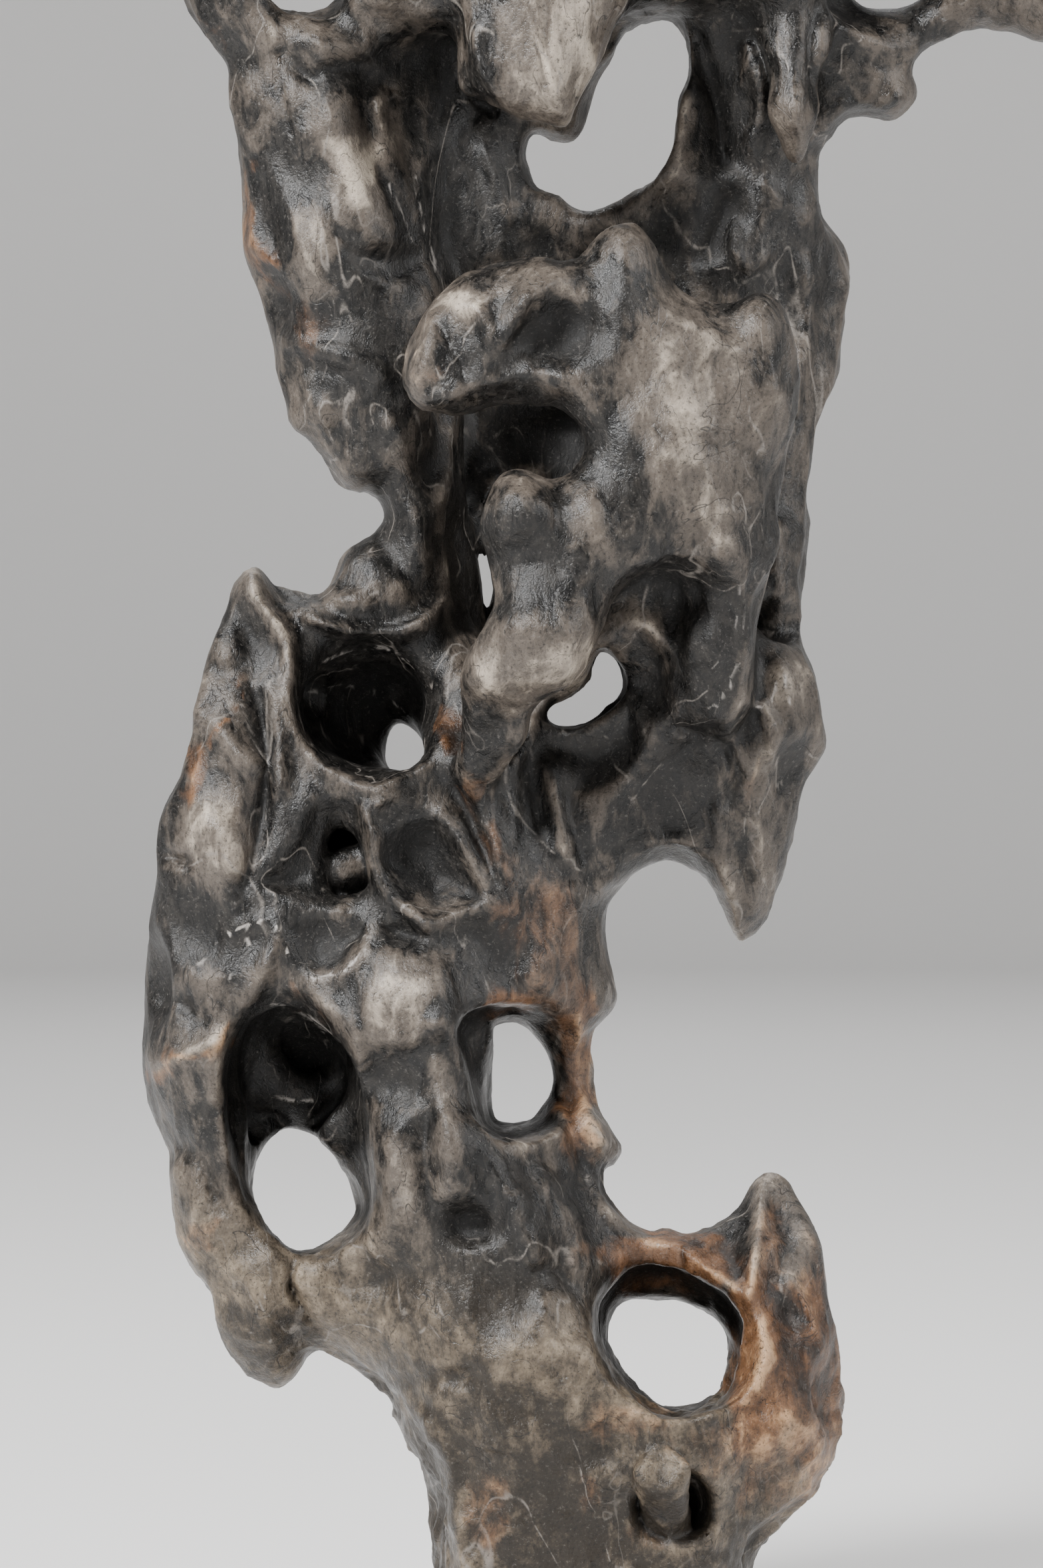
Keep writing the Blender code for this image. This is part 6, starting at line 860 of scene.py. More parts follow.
# Spines on the rear masses, each a chain of (x, y, z, radius).
REAR_SPINES = [
    [(-24, 20, 569, 5), (-2, 22, 554, 6), (18, 22, 559, 6), (31, 10, 577, 7), (38, 8, 602, 7),
     (44, 8, 628, 7)],
    [(72, 14, 642, 8), (66, 10, 610, 8), (64, 14, 584, 8), (74, 20, 556, 8), (80, 30, 520, 8)],
    [(-50, 22, 600, 6), (-38, 22, 580, 6), (-34, 24, 556, 7), (-20, 28, 540, 6)],
]
# Deep bores, each a chain of (x, y, z, radius).
BORES = [
    [(-84, -66, 377, 24), (-83, -26, 377, 24), (-78, 0, 371, 18), (-72, 20, 363, 9)],
    [(-112, -16, 240, 24), (-111, 2, 234, 22)],
    [(-92, -20, 318, 8), (-94, 4, 328, 8), (-92, 24, 344, 7)],
    [(-17, -110, 474, 11), (-16, -40, 474, 13), (-15, 20, 475, 12), (-10, 40, 478, 7)],
    [(-172, 2, 372, 6), (-140, 0, 374, 7), (-104, -2, 378, 8)],
    [(100, -14, 486, 6), (70, -8, 492, 7), (36, -2, 500, 7), (6, 10, 512, 7), (-12, 6, 522, 9)],
    [(96, 6, 404, 5), (70, 0, 406, 7), (44, 10, 410, 8)],
    [(-176, 6, 210, 5), (-150, 4, 212, 7), (-128, 2, 216, 8)],
    [(-78, -2, 60, 5), (-56, 4, 64, 7), (-40, 8, 70, 5)],
]
# Ledges inside the openings and round the middle window.
INNER_WALLS = [
    [(-97, -16, 311, 5), (-91, -22, 313, 5), (-85, -18, 315, 5)],
    [(2, -26, 402, 4), (13, -20, 405, 5), (23, -18, 401, 6), (28, -18, 388, 6), (25, -18, 376, 5)],
    [(-128, 8, 246, 8), (-122, 12, 232, 8), (-110, 14, 226, 7), (-98, 16, 232, 6)],
]
# Single limbs, each a chain of (x, y, z, radius).
THIN_COLUMN = [
    (-22, 4, 266, 8), (-13, 0, 258, 8), (-7, -2, 249, 7), (-5, -2, 238, 6), (-5.5, -2, 227, 6),
    (-10, 0, 215, 7), (-19, 4, 208, 8),
]
RING_BRIDGE = [(116, 22, 625, 5), (128, 22, 633, 5), (138, 22, 638, 7)]
HORN_ROOT = [(-114, 4, 410, 6), (-112, 14, 402, 10), (-108, 20, 388, 12), (-102, 24, 372, 12)]
SPOUT = [(-28, -62, 386, 15), (-37, -52, 369, 12.5), (-41.5, -43, 355, 8.5), (-43, -36, 345, 4.5)]
SECOND_FINGER = [(78, -4, 652, 11), (78, -8, 622, 9), (78, -10, 596, 7), (78, -6, 579, 4)]
# The slot's outline, and the socket with its round peg.
SLOT = [
    (-101, 314), (-101, 322), (-97, 329), (-92, 330), (-87, 328), (-83.5, 322), (-81.5, 312),
    (-82, 305), (-89, 301), (-97, 302), (-100, 307),
]
SOCKET = (31, -58, 74)
SOCKET_RADII = (13.5, 26, 14)
PEG_ROOT = (28, -44, 67)
PEG_TIP = (26.5, -74, 87)
PEG_RADIUS = 9.6


def raise_masses(stone):
    """The solid masses, back to front, each rounded and joined to the one before."""
    stone.plate(MAIN_BODY, MAIN_DEPTHS, edge=34, blend=3)
    stone.plate(BACK_MASS, BACK_DEPTHS, edge=24, blend=10)
    stone.plate(LEFT_COLUMN, COLUMN_DEPTHS, edge=36, blend=10)
    stone.plate(CROWN, CROWN_DEPTHS, edge=34, blend=12)
    stone.limb(HORN_ROOT, blend=10)
    stone.limb(SECOND_FINGER, blend=6)
    stone.plate(TOP_FINGER, FINGER_DEPTHS, edge=24, blend=8)
    stone.plate(OVERHANG, OVERHANG_DEPTHS, edge=14, blend=10)
    stone.plate(FRONT_PLATE, PLATE_DEPTHS, edge=18, blend=8)
    stone.limb(SPOUT, blend=8)


def open_windows(stone):
    """The openings: a wide mouth on the front, and what goes right through."""
    stone.through(TOP_LEFT_RING, back=BEHIND, blend=22)
    stone.through(TOP_RIGHT_MOUTH, back=12, blend=8)
    stone.through(TOP_RIGHT_RING, back=BEHIND, blend=12)
    stone.through(TOP_WINDOW, back=BEHIND, blend=14)
    stone.through(MIDDLE_WINDOW, back=BEHIND, blend=12)
    stone.through(LEFT_MOUTH, back=-24, blend=14)
    stone.through(LOW_LEFT_MOUTH, back=-10, blend=16)
    stone.through(LOW_LEFT_SKY, back=BEHIND, blend=14)
    stone.through(CENTRE_MOUTH, back=-14, blend=12)
    stone.through(CENTRE_WINDOW, back=BEHIND, blend=12)
    stone.through(RING_MOUTH, back=-6, blend=10)
    stone.through(RING_WINDOW, back=BEHIND, blend=14)


def wear_skin(stone):
    """Folds, hollows and basins on every face but the front, the bores and the rear spines."""
    stone.carve("back", BACK_FOLDS, (), BACK_BASINS)
    stone.carve("left", LEFT_SPINES, LEFT_HOLLOWS)
    stone.carve("right", RIGHT_SPINES, RIGHT_HOLLOWS)
    stone.carve("top", TOP_SPINES, TOP_HOLLOWS)
    for balls in BORES:
        stone.limb(balls, blend=8, cutting=True)
    for balls in REAR_SPINES:
        stone.limb(balls, blend=8)


def open_pits(stone):
    """The slot and the socket, cut into the finished skin, then the ledges and the peg."""
    stone.through(SLOT, back=-2, blend=8)
    stone.hollow(SOCKET, SOCKET_RADII, blend=6)
    for balls in INNER_WALLS:
        stone.limb(balls, blend=6)
    stone.rod(PEG_ROOT, PEG_TIP, PEG_RADIUS, blend=2)


def clear_windows(stone):
    """The clear part of each opening, cut again so that no spine narrows it, and what spans it."""
    for corners in (TOP_WINDOW, MIDDLE_WINDOW, LEFT_SKY, LOW_LEFT_SKY, CENTRE_WINDOW, RING_WINDOW):
        stone.through(corners, back=BEHIND, blend=4)
    stone.limb(THIN_COLUMN, blend=4)
    stone.limb(RING_BRIDGE, blend=5)


def stone_field(cell):
    """The whole stone on a grid this fine."""
    stone = Stone(cell)
    raise_masses(stone)
    open_windows(stone)
    outline = stone.field.min(axis=1)
    wear_skin(stone)
    stone.soften(reach=1.6)
    stone.carve("front", FRONT_FOLDS, FRONT_BOWLS, FRONT_BASINS)
    stone.keep_within(outline)
    open_pits(stone)
    clear_windows(stone)
    stone.roughen(spacing=46, height=1.4, seed=3)
    stone.crease(spacing=(34, 30, 44), height=2.0, seed=5)
    stone.crease(spacing=(17, 17, 13), height=1.8, seed=6, below=150)
    stone.roughen(spacing=(15, 15, 20), height=0.5, seed=4)
    return stone


def skin_of(stone):
    """Corner points and four-sided faces of the surface where the field is zero."""
    field = stone.field
    inside = field < 0
    corners = [(i, j, k) for i in (0, 1) for j in (0, 1) for k in (0, 1)]
    spans = [tuple(slice(n, n - 1 or None) for n in corner) for corner in corners]
    count = sum(inside[span].astype(np.int8) for span in spans)
    cells = np.argwhere((count > 0) & (count < 8))
    number = np.full(count.shape, -1, np.int32)
    number[tuple(cells.T)] = np.arange(len(cells))
    values = np.stack([field[tuple((cells + corner).T)] for corner in corners], axis=1)
    total = np.zeros((len(cells), 3), np.float64)
    crossings = np.zeros(len(cells))
    for a, first in enumerate(corners):
        for b, second in enumerate(corners):
            if b <= a or sum(abs(m - n) for m, n in zip(first, second)) != 1:
                continue
            crossed = (values[:, a] < 0) != (values[:, b] < 0)
            change = values[:, a] - values[:, b] + 1e-12 * ~crossed
            share = np.where(crossed, values[:, a] / change, 0)
            place = np.array(first) + share[:, None] * (np.array(second) - np.array(first))
            total += place * crossed[:, None]
            crossings += crossed
    points = (cells + total / crossings[:, None]) * stone.cell + np.array(LOW)
    return points, faces_between(inside, number)


def faces_between(inside, number):
    """Four-sided faces across each grid edge that crosses the surface; number holds the points."""
    faces = []
    for axis in range(3):
        before, after = [slice(1, -1)] * 3, [slice(1, -1)] * 3
        before[axis], after[axis] = slice(None, -1), slice(1, None)
        crossed = inside[tuple(before)] != inside[tuple(after)]
        place = np.argwhere(crossed)
        solid_first = inside[tuple(before)][crossed]
        u, v = (axis + 1) % 3, (axis + 2) % 3
        place[:, u] += 1
        place[:, v] += 1
        ring = []
        for step_u, step_v in ((-1, -1), (0, -1), (0, 0), (-1, 0)):
            cell = place.copy()
            cell[:, u] += step_u
            cell[:, v] += step_v
            ring.append(number[tuple(cell.T)])
        ring = np.stack(ring, axis=1)
        ring[~solid_first] = ring[~solid_first][:, ::-1]
        faces.append(ring)
    return np.concatenate(faces)


def largest_body(points, faces):
    """Drops specks and closed bubbles: only the surface with the most points stays."""
    label = np.arange(len(points))
    ends = np.concatenate([faces[:, [0, 1]], faces[:, [1, 2]], faces[:, [2, 3]]])
    while True:
        low = np.minimum(label[ends[:, 0]], label[ends[:, 1]])
        new = label.copy()
        np.minimum.at(new, ends[:, 0], low)
        np.minimum.at(new, ends[:, 1], low)
        new = new[new]
        if (new == label).all():
            break
        label = new
    body = np.bincount(label).argmax()
    kept = label == body
    index = np.cumsum(kept) - 1
    return points[kept], index[faces[kept[faces[:, 0]]]]


def true_place(points):
    """From where a point is seen in the plane y = 0 to where it lies at its own depth."""
    scale = (EYE_DISTANCE + points[:, 1]) / EYE_DISTANCE
    x = EYE_ACROSS + (points[:, 0] - EYE_ACROSS) * scale
    z = EYE_HEIGHT + (points[:, 2] - EYE_HEIGHT) * scale
    return np.stack([x, points[:, 1], z], axis=1)


def placed(name, data):
    """A new object in the scene."""
    thing = bpy.data.objects.new(name, data)
    bpy.context.scene.collection.objects.link(thing)
    return thing


def mesh_object(name, points, faces):
    mesh = bpy.data.meshes.new(name)
    mesh.from_pydata(points.tolist(), [], faces.tolist())
    return placed(name, mesh)


def coarsen(thing, most):
    """Fewer, larger triangles that keep the shape."""
    thing.data.calc_loop_triangles()
    modifier = thing.modifiers.new("coarsen", "DECIMATE")
    modifier.ratio = most / len(thing.data.loop_triangles)
    modifier.use_collapse_triangulate = True
    graph = bpy.context.evaluated_depsgraph_get()
    mesh = bpy.data.meshes.new_from_object(thing.evaluated_get(graph))
    thing.modifiers.clear()
    thing.data = mesh


def cut_foot(thing, level):
    """A flat foot at this height, closed with one level face."""
    work = bmesh.new()
    work.from_mesh(thing.data)
    parts = list(work.verts) + list(work.edges) + list(work.faces)
    cut = bmesh.ops.bisect_plane(
        work, geom=parts, dist=1e-7, plane_co=(0, 0, level), plane_no=(0, 0, 1), clear_inner=True
    )
    rim = [part for part in cut["geom_cut"] if isinstance(part, bmesh.types.BMEdge)]
    bmesh.ops.holes_fill(work, edges=rim, sides=0)
    bmesh.ops.triangulate(work, faces=work.faces)
    bmesh.ops.recalc_face_normals(work, faces=work.faces)
    work.to_mesh(thing.data)
    work.free()


# Cracks, lips and narrow folds, each a chain of (x, z, width, lift).
FINE_FOLDS = [
    [(-15, 638, 1.2, -1.5), (-17, 622, 1.2, -2), (-18, 608, 1.2, -1.5)],
    [(-40, 634, 1.5, 1), (-43, 622, 1.5, 1.5), (-41, 612, 1.5, 1)],
    [(-118, 612, 1.5, -1.5), (-113, 592, 1.5, -2), (-109, 586, 1.5, -1)],
    [(-82, 634, 1.5, 1), (-84, 622, 1.5, 1.5), (-80, 612, 1.5, 1)],
    [(-104, 566, 1.5, 1), (-101, 552, 1.5, 1.5), (-103, 536, 1.5, 1)],
    [(-60, 522, 1.2, -1.5), (-55, 514, 1.2, -2), (-49, 504, 1.2, -2), (-46, 492, 1.2, -1)],
    [(-24, 534, 1.2, 1.2), (-31, 523, 1.2, 1.5), (-36, 512, 1.2, 1.5)],
    [(-21, 533, 1.2, 1), (-28, 522, 1.2, 1.5), (-33, 511, 1.2, 1)],
    [(-104, 506, 1.5, 1), (-92, 503, 1.5, 1.5), (-82, 497, 1.5, 1)],
    [(-106, 502, 1.5, -1), (-94, 499, 1.5, -1.5), (-84, 493, 1.5, -1)],
    [(29, 516, 1.5, -1.5), (34, 513, 1.5, -1.5)],
    [(21, 482, 1.3, -1.5), (25, 478, 1.3, -2), (28, 475, 1.3, -1.5)],
    [(33, 470, 1.2, -1), (38, 474, 1.2, -1.5), (43, 474, 1.2, -1.5), (47, 470, 1.2, -1)],
    [(36, 459, 1.2, -1), (42, 460, 1.2, -1.5), (47, 456, 1.2, -1)],
    [(-13, 427, 1.5, -2), (-10, 423, 1.5, -2)],
    [(-30, 399, 1, -1), (-27, 395, 1, -1.5), (-25, 391, 1, -1)],
    [(-36, 380, 1, -1), (-31, 382, 1, -1.2), (-26, 380, 1, -1)],
    [(34, 366, 1.5, -2), (40, 364.5, 1.5, -3), (46, 366, 1.5, -2)],
    [(-157, 318, 1.3, -2), (-152, 316, 1.3, -2)],
    [(-124, 374, 1.3, 1.5), (-121, 368, 1.3, 1.5)],
    [(-80, 337, 1.5, 2), (-74, 341, 1.5, 2)],
    [(-81, 218, 1.5, 2), (-73, 214, 1.5, 2)],
    [(-67, 241, 1.5, 1.5), (-66, 234, 1.5, 2)],
    [(-110, 167, 1.2, -1.5), (-113, 157, 1.2, -2), (-108, 148, 1.2, -1.5), (-102, 140, 1.2, -1)],
    [(-20, 140, 1.2, -1), (-17, 132, 1.2, -1.5)],
    [(-62, 236, 1.5, 1), (-58, 222, 1.5, 1.5), (-56, 208, 1.5, 1)],
    [(-36, 212, 1.5, 1), (-32, 200, 1.5, 1.5), (-27, 190, 1.5, 1)],
    [(-20, 192, 1.5, 1), (-15, 178, 1.5, 1.5), (-10, 164, 1.5, 1)],
]


# Relief on the surface: (height, size of the swellings, seed) of each layer. The ripple lies below
# RIPPLE_TOP. SMOOTH_SHARES move each point towards its neighbours' mean, then away from it.
SCOOPS = [(0.9, (19, 19, 36), 11), (0.4, (9, 9, 22), 12)]
SCOOP_MIDDLE = 0.3
RIPPLE = [(0.7, (10, 10, 6), 16), (0.4, (5, 5, 3.5), 17)]
RIPPLE_TOP = 165
SMOOTH_SHARES = (0.5, -0.53)


def noise(points, size, seed):
    """Smooth random values from about -1 to 1, whose swellings are this size, along each axis."""
    place = points / np.broadcast_to(size, 3) + seed * NOISE_SHIFT
    whole = np.floor(place).astype(np.int64)
    part = place - whole
    bend = part**3 * (part * (part * 6 - 15) + 10)
    slopes = np.random.RandomState(seed).normal(size=(NOISE_SLOPES, 3))
    slopes /= np.linalg.norm(slopes, axis=1)[:, None]
    total = np.zeros(len(points))
    for corner in itertools.product((0, 1), repeat=3):
        mixed = (whole + corner) * NOISE_PRIMES
        index = (mixed[:, 0] ^ mixed[:, 1] ^ mixed[:, 2]) % NOISE_SLOPES
        weight = np.prod(np.where(corner, bend, 1 - bend), axis=1)
        total += weight * ((part - corner) * slopes[index]).sum(axis=1)
    return total * NOISE_GAIN


def warped(points, size, reach, seed):
    """The points pushed about by soft swellings of this size, by up to reach."""
    push = [noise(points, size, seed + n) for n in range(3)]
    return points + reach * np.stack(push, axis=1)


def crests(points, size, seed):
    """Sharp crests between smooth scoops, from 0 in a scoop to 1 on a crest."""
    return (1 - np.minimum(np.abs(noise(points, size, seed)) * 1.5, 1)) ** 2


class Surface:
    """The points of a mesh in millimetres, with what is needed to shape them."""

    def __init__(self, mesh):
        self.mesh = mesh
        points = np.empty((len(mesh.vertices), 3), np.float32)
        mesh.vertices.foreach_get("co", points.ravel())
        self.points = points.astype(float) / MM
        self.ends = np.empty((len(mesh.edges), 2), np.int32)
        mesh.edges.foreach_get("vertices", self.ends.ravel())
        self.count = np.bincount(self.ends.ravel(), minlength=len(self.points)).astype(float)

    def mean(self, values):
        """The mean of each point's neighbours."""
        a, b = self.ends.T
        length = len(values)
        sums = [np.bincount(a, v[b], length) + np.bincount(b, v[a], length) for v in values.T]
        return np.stack(sums, axis=1) / self.count[:, None]

    def smooth(self, rounds):
        """Takes off the small steps without shrinking the form."""
        for _ in range(rounds):
            for share in SMOOTH_SHARES:
                self.points += share * (self.mean(self.points) - self.points)

    def write(self):
        self.mesh.vertices.foreach_set("co", (self.points * MM).astype(np.float32).ravel())
        self.mesh.update()

    def normals(self):
        self.write()
        found = np.empty((len(self.points), 3), np.float32)
        self.mesh.vertex_normals.foreach_get("vector", found.ravel())
        return found.astype(float)

    def curvature(self, rounds):
        """How far each point stands out: above 0 on a crest, below 0 in a hollow."""
        around = self.points
        for _ in range(rounds):
            around = self.mean(around)
        return ((self.points - around) * self.normals()).sum(axis=1)

    def store(self, name, values):
        attribute = self.mesh.attributes.new(name, "FLOAT", "POINT")
        attribute.data.foreach_set("value", values.astype(np.float32))


def seen(points):
    """(x, y, z) in the layout, as seen from the eye, of points in the frame."""
    true = points + ORIGIN
    scale = (EYE_DISTANCE + true[:, 1]) / EYE_DISTANCE
    x = EYE_ACROSS + (true[:, 0] - EYE_ACROSS) / scale
    z = EYE_HEIGHT + (true[:, 2] - EYE_HEIGHT) / scale
    return np.stack([x, true[:, 1], z], axis=1)


def relief(points):
    """Scoops, streaks and grain over the whole surface, and a ripple low down."""
    flow = warped(points, (40, 40, 60), 16, 3)
    height = np.zeros(len(points))
    for share, size, seed in SCOOPS:
        height += share * (crests(flow, size, seed) - SCOOP_MIDDLE)
    height += 0.35 * noise(points, 12, 13)
    height += 0.18 * noise(flow, (4.5, 4.5, 12), 14)
    low = ease((RIPPLE_TOP - points[:, 2]) / LOW_FADE)
    for share, size, seed in RIPPLE:
        height += low * share * noise(flow, size, seed)
    return height


def keep_in_box(points):
    """Holds the points inside the solid's box."""
    low, high = (np.array(corner, float) / MM for corner in cad_box)
    return np.clip(points, low + BOX_GAP, high - BOX_GAP)


def make_surface(rock):
    """The piece that is shown: the skin with its relief, in fewer triangles, on a flat foot."""
    points, faces = largest_body(*skin_of(rock))
    thing = mesh_object("stone_surface", (true_place(points) - ORIGIN) * MM, faces)
    surface = Surface(thing.data)
    surface.smooth(2)
    normals = surface.normals()
    surface.points += normals * relief(surface.points)[:, None]
    surface.write()
    coarsen(thing, SURFACE_TRIANGLES)
    cut_foot(thing, 0.0)
    surface = Surface(thing.data)
    surface.points = keep_in_box(surface.points)
    surface.write()
    thing.data.shade_smooth()
    return thing


# The front share is 1 down to FRONT_DEPTH behind the skin that is seen. The sandy share is 1 low on
# the stone, below SANDY_TOP less SANDY_LEAN times x. LOW_FADE is the fade of that and the ripple.
FRONT_DEPTH = 20
FRONT_FADE = 25
SANDY_TOP = 175
SANDY_LEAN = 0.3
LOW_FADE = 60

# Patches on the front: (x, z, half width, half height, strength).
# The pale patches are pale stone and also painted highlights on faces that catch the light.
PALE_AND_HIGHLIGHT_PATCHES = [
    (-18, 624, 24, 32, 1.0), (40, 484, 28, 42, 0.8), (14, 544, 8, 10, 0.6), (-20, 390, 28, 13, 0.9),
    (-90, 578, 9, 13, 1.6), (-64, 503, 6, 16, 0.6), (-46, 526, 12, 6, 1.4), (-12, 531, 12, 6, 0.6),
    (-30, 516, 4, 10, 0.5), (73, 380, 6, 12, 0.9), (-142, 324, 16, 20, 1.4),
    (-74, 263, 13, 14, 1.5), (-24, 459, 7, 4, 0.8), (-2, 447, 7, 12, 0.6), (-58, 302, 14, 8, 0.6),
    (-92, 312, 9, 6, 1.0), (-24, 208, 15, 6, 1.0), (8, 112, 16, 8, 0.3), (-148, 204, 9, 26, 0.3),
    (79, 590, 6, 14, 0.6), (102, 614, 20, 12, 0.3), (-114, 604, 18, 28, 0.35),
    (-106, 546, 8, 16, 0.7), (27.5, 89, 8, 5, 0.5), (-50, 200, 6, 16, 0.3), (-24, 134, 34, 9, 0.35),
    (-110, 632, 12, 8, 0.6), (-75, 590, 3, 12, 0.8), (-60, 586, 4, 12, 0.6), (22, 566, 14, 7, 0.7),
    (36, 588, 6, 16, 0.5), (56, 352, 10, 12, 0.4), (14, 340, 24, 8, 0.35), (-120, 280, 8, 14, 0.4),
    (66, 310, 5, 20, 0.4), (0, 216, 6, 12, 0.7), (66, 194, 6, 8, 0.7), (46, 168, 8, 6, 0.6),
    (-130, 344, 8, 14, 0.6), (-88, 412, 14, 4, 0.6),
]
# The dark patches are dark stone and also painted shade in the mouths, pits and recesses and below
# overhangs.
DARK_AND_SHADE_PATCHES = [
    (-44, 572, 20, 28, 1.0), (-12, 514, 17, 12, 1.0), (-22, 480, 18, 14, 1.0),
    (-30, 441, 11, 13, 0.8), (-18, 426, 13, 13, 0.6), (46, 400, 11, 30, 0.9),
    (-80, 378, 28, 28, 1.0), (-112, 232, 25, 32, 0.9), (-124, 138, 17, 18, 0.8),
    (-40, 362, 11, 14, 0.9), (-74, 232, 11, 8, 0.7), (-46, 179, 14, 9, 1.0), (-72, 218, 13, 5, 0.6),
    (-150, 288, 15, 13, 0.6), (-84, 512, 18, 26, 0.5), (-86, 542, 16, 9, 0.8),
    (-90, 610, 15, 8, 0.9), (10, 472, 10, 11, 0.5), (14, 532, 9, 10, 0.5), (50, 558, 11, 16, 0.8),
    (46, 608, 9, 22, 0.8), (-34, 104, 20, 20, 0.5), (-8, 66, 26, 26, 0.5), (40, 40, 30, 22, 0.5),
    (22, 82, 12, 14, 0.5), (-62, 60, 8, 44, 0.9), (-106, 318, 15, 16, 0.8), (-62, 325, 17, 8, 0.6),
    (30, 426, 12, 8, 0.7), (-42, 606, 5, 26, 0.6), (75.5, 132, 5, 22, 0.7), (8, 138, 8, 26, 0.3),
    (44, 376, 10, 12, 0.8), (60, 540, 12, 12, 0.4), (-8, 356, 14, 10, 0.8), (-56, 262, 9, 8, 0.6),
    (30, 70, 14, 10, 1.0), (-70, 287, 9, 4, 1.0), (-118, 556, 6, 16, 0.6), (-108, 286, 8, 8, 0.5),
    (-132, 404, 8, 16, 0.4), (-78, 440, 14, 16, 0.5), (-48, 440, 6, 36, 0.8),
    (-144, 222, 6, 5, 0.6), (-18, 160, 6, 4, 0.7), (92, 640, 12, 6, 0.6),
]
STAIN_PATCHES = [
    (30, 166, 32, 12, 1.0), (64, 126, 14, 40, 0.9), (84, 118, 12, 50, 0.75), (68, 84, 20, 16, 0.5),
    (68, 172, 6, 20, 0.5), (-4, 236, 8, 38, 0.7), (-53, 364, 5, 8, 0.8), (-44, 342, 5, 12, 0.5),
    (-36, 322, 6, 14, 0.5), (-30, 296, 8, 20, 0.5), (-14, 282, 13, 34, 0.5), (12, 106, 18, 8, 0.5),
    (-40, 72, 10, 18, 0.5), (50, 96, 20, 10, 0.5), (0, 78, 8, 6, 0.4), (20, 60, 10, 6, 0.4),
    (-30, 262, 16, 7, 0.8), (-146, 176, 9, 7, 0.5), (-106, 518, 9, 12, 0.5), (-60, 505, 9, 22, 0.3),
    (60, 340, 8, 14, 0.25),
]
# Streaks on the front, each (width, strength) and a chain of (x, z).
# The pale streaks run along the carved crests: pale stone and painted highlights on the ridges.
PALE_AND_HIGHLIGHT_STREAKS = [
    (5, 0.6, [(-128, 424), (-120, 408), (-113, 398), (-113, 374), (-106, 358)]),
    (4, 0.5, [(-97, 350), (-86, 344), (-76, 344)]), (4, 0.5, [(-100, 406), (-88, 403), (-68, 402)]),
    (3, 0.5, [(-55, 413), (-48, 411)]), (4, 0.9, [(50, 314), (54, 296), (56, 284)]),
    (3, 0.9, [(-15, 350), (-13, 334), (-10, 320)]), (3, 0.9, [(-30, 372), (-34, 354), (-38, 342)]),
    (4, 0.9, [(-104, 265), (-95, 257), (-87, 244)]),
    (3, 0.9, [(-88, 250), (-78, 249), (-66, 253), (-57, 255)]),
    (3, 0.8, [(-56, 238), (-51, 216), (-48, 204)]), (3, 0.9, [(6, 186), (14, 178), (26, 172)]),
    (3, 1.0, [(40, 165), (52, 157), (60, 155)]), (3, 1.0, [(64, 194), (63, 176), (61, 158)]),
    (3, 0.9, [(65, 146), (67, 132), (63, 120)]), (3, 0.7, [(-138, 252), (-150, 244), (-164, 238)]),
    (2, 0.8, [(-52, 478), (-53, 458), (-57, 444), (-54, 414)]),
    (3, 0.7, [(-5, 256), (-4, 236), (1, 216)]), (3, 0.7, [(-82, 290), (-90, 276), (-104, 271)]),
    (2, 0.7, [(-8, 456), (0, 440), (8, 426)]), (2, 0.6, [(4, 462), (-4, 446), (-8, 430)]),
    (3, 0.8, [(72, 490), (73, 478), (70, 466)]), (3, 0.6, [(-46, 640), (-44, 622), (-34, 602)]),
    (3, 0.7, [(16, 407), (26, 402), (29, 388)]), (3, 0.6, [(-142, 250), (-139, 220), (-134, 200)]),
]
STAIN_STREAKS = [
    (3, 0.8, [(-153, 344), (-144, 362), (-130, 384)]),
    (5, 0.7, [(-129, 576), (-128, 552), (-118, 532)]),
    (4, 0.7, [(-164, 236), (-150, 243), (-138, 250)]),
    (4, 0.5, [(-118, 270), (-104, 262), (-93, 246)]), (3, 0.6, [(86, 150), (88, 130), (86, 110)]),
    (3, 0.5, [(-146, 632), (-138, 616)]),
]
# Veins, each (width, strength) and a chain of (x, z).
VEINS = [
    (0.6, 0.9, [(-137, 288), (-128, 293), (-119, 294), (-115, 286), (-112, 278), (-104, 272),
                (-94, 273), (-86, 282), (-77, 294)]),
    (1.0, 0.8, [(-106, 380), (-92, 382), (-80, 380), (-70, 372)]),
    (1.0, 0.8, [(-104, 390), (-92, 395), (-78, 396), (-68, 391)]),
    (1.0, 0.7, [(-130, 290), (-128, 284), (-136, 272)]),
    (1.0, 0.8, [(-122, 262), (-116, 262), (-106, 257), (-98, 251)]),
    (1.0, 0.8, [(-120, 228), (-110, 226), (-102, 227)]),
    (1.0, 0.7, [(-81, 602), (-80, 582), (-74, 566), (-66, 548)]),
    (1.0, 0.7, [(-66, 574), (-64, 560), (-58, 538)]),
    (0.9, 0.6, [(56, 420), (54, 400), (46, 388), (36, 382)]),
    (0.9, 0.6, [(58, 414), (56, 392), (48, 374)]),
    (0.9, 0.7, [(44, 374), (52, 378), (56, 390)]),
    (0.9, 0.8, [(70, 384), (68, 376), (62, 374)]),
    (0.9, 0.8, [(73, 386), (74, 376), (68, 366)]),
    (0.9, 0.6, [(-132, 152), (-122, 146), (-112, 140)]),
    (0.9, 0.6, [(-130, 140), (-120, 136), (-110, 130)]),
    (0.9, 0.6, [(-124, 156), (-120, 142), (-122, 128)]),
    (0.9, 0.7, [(14, 484), (10, 478), (16, 470)]),
    (0.9, 0.7, [(-152, 272), (-144, 280), (-140, 290)]),
]


